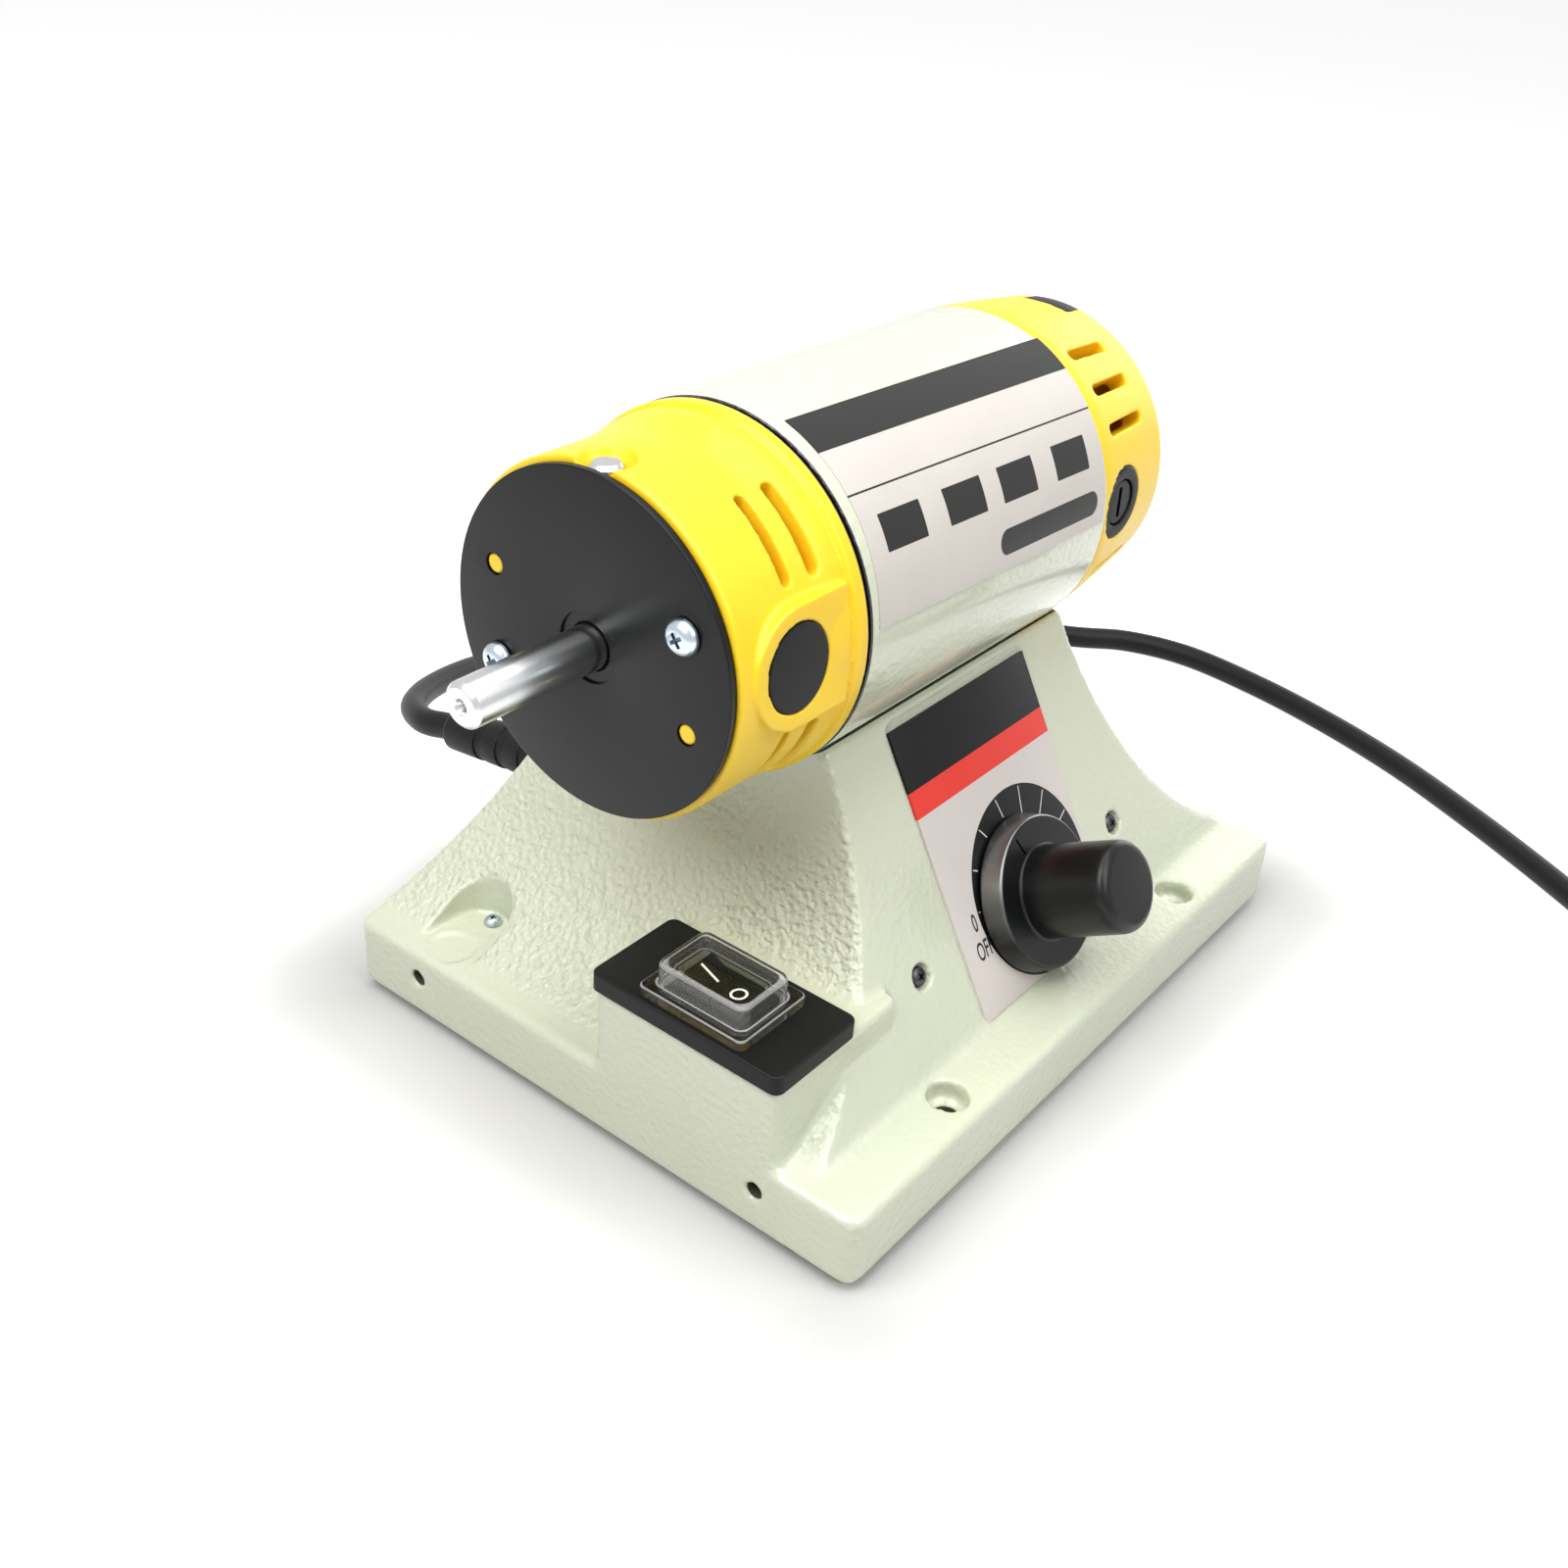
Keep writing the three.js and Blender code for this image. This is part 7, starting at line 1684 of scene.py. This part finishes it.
tilt_place = at(*ROCKER_PLACE, PIVOT_Z) @ Matrix.Rotation(math.radians(ROCKER_TURN), 4, "X")
paddle = extruded([(-ROCKER_HALF_WIDTH, y, z) for y, z in ROCKER_SIDE], (2 * ROCKER_HALF_WIDTH, 0, 0))
corners = [edge for edge in paddle.edges if edge.calc_face_angle(0) > ROCKER_EDGE_ANGLE]
eased_edges(paddle, corners, ROCKER_EASE, 3)
paddle = shape_object(paddle, "rocker_moulding")
combine(paddle, [rod(PIVOT_RADIUS + WINDOW_GAP, -BODY_X, BODY_X, along_x)], "DIFFERENCE")
paddle.data.transform(tilt_place)
finish_piece(paddle, moulded_black, "black_plastic", "rocker", "rocker_paddle")

white_ink, _ = new_material("white_stamped_ink", Base_Color=linear("#F2F2EE"), Roughness=0.45)
bar = block((-MARK_WIDTH / 2, -MARK_LENGTH / 2, 0), (MARK_WIDTH / 2, MARK_LENGTH / 2, INK_THICKNESS))
ring = turned([(0, RING_RADIUS - RING_STROKE), (0, RING_RADIUS), (INK_THICKNESS, RING_RADIUS),
               (INK_THICKNESS, RING_RADIUS - RING_STROKE)], Matrix())
for name, mark, side in (("on_bar", bar, 1), ("off_ring", ring, -1)):
    rise = ROCKER_DIP[1] + MARK_PLACE * math.tan(math.radians(MARK_SLOPE)) + INK_FLOAT
    leaning = Matrix.Rotation(math.radians(side * MARK_SLOPE), 4, "X")
    mark.transform(tilt_place @ at(0, side * MARK_PLACE, rise) @ leaning)
    finish_piece(shape_object(mark, name), white_ink, "black_plastic", "rocker")

# The splash cover: a soft clear PVC hood with a flat rim, stretched over the switch.
COVER_X = 23
COVER_Y = 30.2
COVER_RIM = 2.6
COVER_CORNER = 1.6
COVER_EASE = 0.4
HOOD_X = 17.2
HOOD_Y = 25.6
HOOD_HEIGHT = 8.6
HOOD_WALL = 0.8
HOOD_CORNER = 2.6
HOOD_EASE = 1.5
hood_top = bezel_under + HOOD_HEIGHT
rim_top = bezel_under + COVER_RIM
rim = block((-COVER_X / 2, -COVER_Y / 2, bezel_under), (COVER_X / 2, COVER_Y / 2, rim_top), COVER_CORNER)
cover = shape_object(ease_top(rim, rim_top, COVER_EASE, 3), "clear_hood")
inner_x, inner_y = HOOD_X / 2 - HOOD_WALL, HOOD_Y / 2 - HOOD_WALL
hood = block((-HOOD_X / 2, -HOOD_Y / 2, bezel_under), (HOOD_X / 2, HOOD_Y / 2, hood_top), HOOD_CORNER)
hood = ease_top(hood, hood_top, HOOD_EASE)
room_inside = block((-inner_x, -inner_y, bezel_under - OVERRUN), (inner_x, inner_y, hood_top - HOOD_WALL),
                    HOOD_CORNER - HOOD_WALL)
room_inside = ease_top(room_inside, hood_top - HOOD_WALL, HOOD_EASE - HOOD_WALL)
combine(cover, [hood], "UNION")
combine(cover, [room_inside], "DIFFERENCE")
cover.data.transform(at(*ROCKER_PLACE))

# Clear soft PVC: made pale along its bends and its outer edge and a little in the walls of the hood,
# painted highlights that stand in for the bright lines the lights make on these edges and walls
HOOD_FOOT = 1
WAVE_SPACING = 6.25
WAVE_DEPTH = 0.3
PALE_HIGHLIGHT_LINES = [
    # width, length, corner and thickness of each pale painted highlight line, how much less clear it is
    # made, middle and half height
    (COVER_X, COVER_Y, COVER_CORNER, 0.3, 0.35, rim_top, 0.5),
    (HOOD_X + HOOD_FOOT, HOOD_Y + HOOD_FOOT, HOOD_CORNER, 0.4, 0.4, rim_top, 0.5),
    (HOOD_X, HOOD_Y, HOOD_CORNER, HOOD_WALL, 0.06, rim_top, HOOD_HEIGHT),
    (HOOD_X, HOOD_Y, HOOD_CORNER, HOOD_EASE, 0.22, hood_top - HOOD_EASE / 2, 0.35),
]
clear_pvc, clear = new_material("clear_soft_pvc", Base_Color=linear("#F2F2F0"), Roughness=0.03, IOR=1.16)
position = add_node(clear_pvc, "ShaderNodeTexCoord").node.outputs["Object"]
waves = add_node(clear_pvc, "ShaderNodeTexNoise", {
    "Vector": position, "Scale": 1 / (WAVE_SPACING * METRE), "Detail": 1.0})
relief = add_node(clear_pvc, "ShaderNodeBump", {
    "Height": waves, "Strength": 0.04, "Distance": WAVE_DEPTH * METRE})
place = add_node(clear_pvc, "ShaderNodeMapping", {
    "Vector": position, "Location": row_place @ Vector((*ROCKER_PLACE, 0)), "Scale": (METRE, METRE, METRE)},
    vector_type="TEXTURE")
up = add_node(clear_pvc, "ShaderNodeSeparateXYZ", {"Vector": place}).node.outputs["Z"]
place = add_node(clear_pvc, "ShaderNodeVectorMath", {0: place, 1: FLAT}, operation="MULTIPLY")
clearness = 1.0
# Painted highlight: each line makes the PVC less clear, so it shows pale where the lights catch its edges.
for width, height, corner, line, cloud, level, half_height in PALE_HIGHLIGHT_LINES:
    outer = printed_field(clear_pvc, place, (0, 0), width, height, corner)
    inner = printed_field(clear_pvc, place, (0, 0), width - 2 * line, height - 2 * line, corner)
    ring = add_node(clear_pvc, "ShaderNodeMath", {0: outer, 1: inner}, operation="SUBTRACT")
    there = add_node(clear_pvc, "ShaderNodeMath", {0: up, 1: level, 2: half_height}, operation="COMPARE")
    ring = add_node(clear_pvc, "ShaderNodeMath", {0: ring, 1: there}, operation="MULTIPLY")
    ring = add_node(clear_pvc, "ShaderNodeMath", {0: ring, 1: cloud}, operation="MULTIPLY")
    clearness = add_node(clear_pvc, "ShaderNodeMath", {0: clearness, 1: ring}, operation="SUBTRACT")
set_looks(clear_pvc, clear, Transmission_Weight=clearness, Normal=relief)
finish_piece(cover, clear_pvc, "clear_plastic", "machine", "switch_cover")

# The lead's boot: a tapered black rubber sleeve with three grooves that let it bend. It is moulded
# round the lead and held in the casting's back wall by its neck.
BOOT_LENGTH = 45
BOOT_ROOT_RADIUS = 7
BOOT_END_RADIUS = 5.9
BOOT_NECK_RADIUS = 4.6
BOOT_NECK_LENGTH = 12
BOOT_END_ROUND = 1.3
GROOVE_SHARES = (0.28, 0.48, 0.68)
GROOVE_WIDTH = 2.6
GROOVE_DEPTH = 0.4
GROOVE_EDGE_ROUND = 0.4
GROOVE_FLOOR_ROUND = 0.3
boot_place = Matrix.Translation(BOOT_END) @ BOOT_WAY.to_track_quat("Z", "Y").to_matrix().to_4x4()
neck_end = -BOOT_LENGTH - BOOT_NECK_LENGTH
sleeve_outline = [(neck_end, 0), (neck_end, BOOT_ROOT_RADIUS)]
for share in GROOVE_SHARES:
    middle = -BOOT_LENGTH * (1 - share)
    radius = BOOT_ROOT_RADIUS + (BOOT_END_RADIUS - BOOT_ROOT_RADIUS) * share
    sleeve_outline += [
        (middle - GROOVE_WIDTH / 2, radius, GROOVE_EDGE_ROUND),
        (middle - GROOVE_WIDTH / 2, radius - GROOVE_DEPTH, GROOVE_FLOOR_ROUND),
        (middle + GROOVE_WIDTH / 2, radius - GROOVE_DEPTH, GROOVE_FLOOR_ROUND),
        (middle + GROOVE_WIDTH / 2, radius, GROOVE_EDGE_ROUND),
    ]
sleeve_outline += [(0, BOOT_END_RADIUS, BOOT_END_ROUND), (0, 0)]
sleeve = shape_object(turned(sleeve_outline, boot_place), "lead_boot")
combine(sleeve, [shape_of(pedestal_solid(0, inside_z, CROWN_Z, "pedestal"))], "DIFFERENCE")
combine(sleeve, [rod(BOOT_NECK_RADIUS, neck_end, -BOOT_LENGTH / 2, boot_place)], "UNION")
finish_piece(sleeve, extruded_rubber, "black_rubber", "machine", "cord_boot")

# The plug on the far end of the lead: black ABS moulded round it, wide at the end that is gripped,
# with two round steel pins.
PLUG_LENGTH = 30
PLUG_HALF_OUTLINE = [
    # from its middle, along it from its neck
    (12, 0), (13, 11), (18, 19), (18, PLUG_LENGTH),
]
PLUG_NECK_RADIUS = 5.4
PLUG_NECK_LENGTH = 14
PLUG_NECK_ROUND = 0.8
PLUG_NECK_TAPER = 1
PLUG_EASE = 3
PIN_RADIUS = 2.4
PIN_LENGTH = 19
PIN_ROOT_ROUND = 0.2
PIN_TIP_ROUND = 1.6
PIN_SPACING = 19
PLUG_GAP = 0.25
upwards = Vector((0, 0, 1))
plug_turn = Matrix((upwards.cross(coil_out), upwards, coil_out)).transposed().to_4x4()
plug_place = Matrix.Translation(tail_line[-1] + coil_out * PLUG_GAP) @ plug_turn
half = PLUG_THICKNESS / 2
outline = PLUG_HALF_OUTLINE + [(-x, z) for x, z in reversed(PLUG_HALF_OUTLINE)]
plug = extruded([(x, -half, PLUG_NECK_LENGTH + z) for x, z in outline], (0, PLUG_THICKNESS, 0))
eased_edges(plug, list(plug.edges), PLUG_EASE)
plug = shape_object(plug, "moulded_plug")
neck = turned([
    (0, 0),
    (0, PLUG_NECK_RADIUS, PLUG_NECK_ROUND),
    (PLUG_NECK_LENGTH + PLUG_EASE, PLUG_NECK_RADIUS + PLUG_NECK_TAPER),
    (PLUG_NECK_LENGTH + PLUG_EASE, 0),
], Matrix())
combine(plug, [neck], "UNION")
plug.data.transform(plug_place)
finish_piece(plug, moulded_black, "black_plastic", "machine", "plug_body")
pin_from = PLUG_NECK_LENGTH + PLUG_LENGTH + PLUG_GAP
for i, side in enumerate((-1, 1)):
    pin = shape_object(turned([
        (pin_from, 0),
        (pin_from, PIN_RADIUS, PIN_ROOT_ROUND),
        (pin_from + PIN_LENGTH, PIN_RADIUS, PIN_TIP_ROUND),
        (pin_from + PIN_LENGTH, 0),
    ], plug_place @ at(side * PIN_SPACING / 2, 0), FINE_ROUND // 2), f"plug_contact_{i + 1}")
    finish_piece(pin, bright_steel, "bright_steel", "machine", f"plug_pin_{i + 1}")

# The rubber feet: four soft black pads, each with a pocket for the head of its screw.
FOOT_RADIUS = 10
FOOT_BASE_RADIUS = 9
FOOT_HEIGHT = 2.75
FOOT_POCKET = 4.2
FOOT_POCKET_DEPTH = 1.9
FOOT_HOLE = 2.1
FOOT_POCKET_ROUND = 0.3
FOOT_BASE_ROUND = 0.6
FOOT_TOP_ROUND = 0.5
for i in range(4):
    low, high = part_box(f"rubber_foot_{i + 1}")
    middle = row_place.inverted() @ ((low + high) / 2)
    pad = shape_object(turned([
        (0, FOOT_POCKET, FOOT_POCKET_ROUND),
        (0, FOOT_BASE_RADIUS, FOOT_BASE_ROUND),
        (FOOT_HEIGHT, FOOT_RADIUS, FOOT_TOP_ROUND),
        (FOOT_HEIGHT, FOOT_HOLE),
        (FOOT_POCKET_DEPTH, FOOT_HOLE),
        (FOOT_POCKET_DEPTH, FOOT_POCKET),
    ], at(middle.x, middle.y)), f"rubber_pad_{i + 1}")
    finish_piece(pad, extruded_rubber, "black_rubber", "machine", f"rubber_foot_{i + 1}")

# The pieces behind the surfaces keep their plain solids and get their real materials: turned brass
# and copper, wound enamelled wire, stacked steel sheets, pressed carbon and a green circuit board.


def dress(material, *names):
    for name in names:
        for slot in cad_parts[name].material_slots:
            slot.material = material


BRASS_GRAIN = 1.67
COPPER_GRAIN = 1.11
SHEET_EDGE_GRAIN = 0.833
CARBON_GRAIN = 0.667
BOARD_GRAIN = 3.33
brass = worked_material("turned_brass", BRASS_GRAIN, ("#C9A24A", "#B78F3C"), (0.22, 0.35), 1.0, 0.1)
copper = worked_material(
    "enamelled_copper_wire", COPPER_GRAIN, ("#B5622F", "#8E4620"), (0.3, 0.5), 0.8, 0.4)
bars = worked_material("turned_copper", COPPER_GRAIN, ("#C27A4C", "#A9653B"), (0.2, 0.35), 1.0, 0.1)
laminations = worked_material(
    "laminated_steel", SHEET_EDGE_GRAIN, ("#6F7173", "#58595B"), (0.4, 0.6), 0.8, 0.5)
carbon = worked_material("pressed_carbon", CARBON_GRAIN, ("#2C2C2D", "#3A3A3B"), (0.55, 0.75), 0.1, 0.4)
board = worked_material("green_circuit_board", BOARD_GRAIN, ("#2D5A34", "#27502E"), (0.35, 0.5), 0.0, 0.1)
dress(zinc_plate, "bottom_plate", "foot_screw_1", "foot_screw_2", "foot_screw_3", "foot_screw_4",
      "potentiometer", "motor_screw_front", "motor_screw_rear")
dress(bright_steel, "potentiometer_nut", "front_bearing", "rear_bearing", "brush_spring_knob_side",
      "brush_spring_cord_side")
dress(brass, "potentiometer_shaft")
dress(board, "speed_control_board")
dress(laminations, "stator_core", "armature_core")
dress(copper, "field_coil_top", "field_coil_bottom", "armature_winding")
dress(bars, "commutator")
dress(carbon, "carbon_brush_knob_side", "carbon_brush_cord_side")
dress(moulded_black, "cooling_fan")
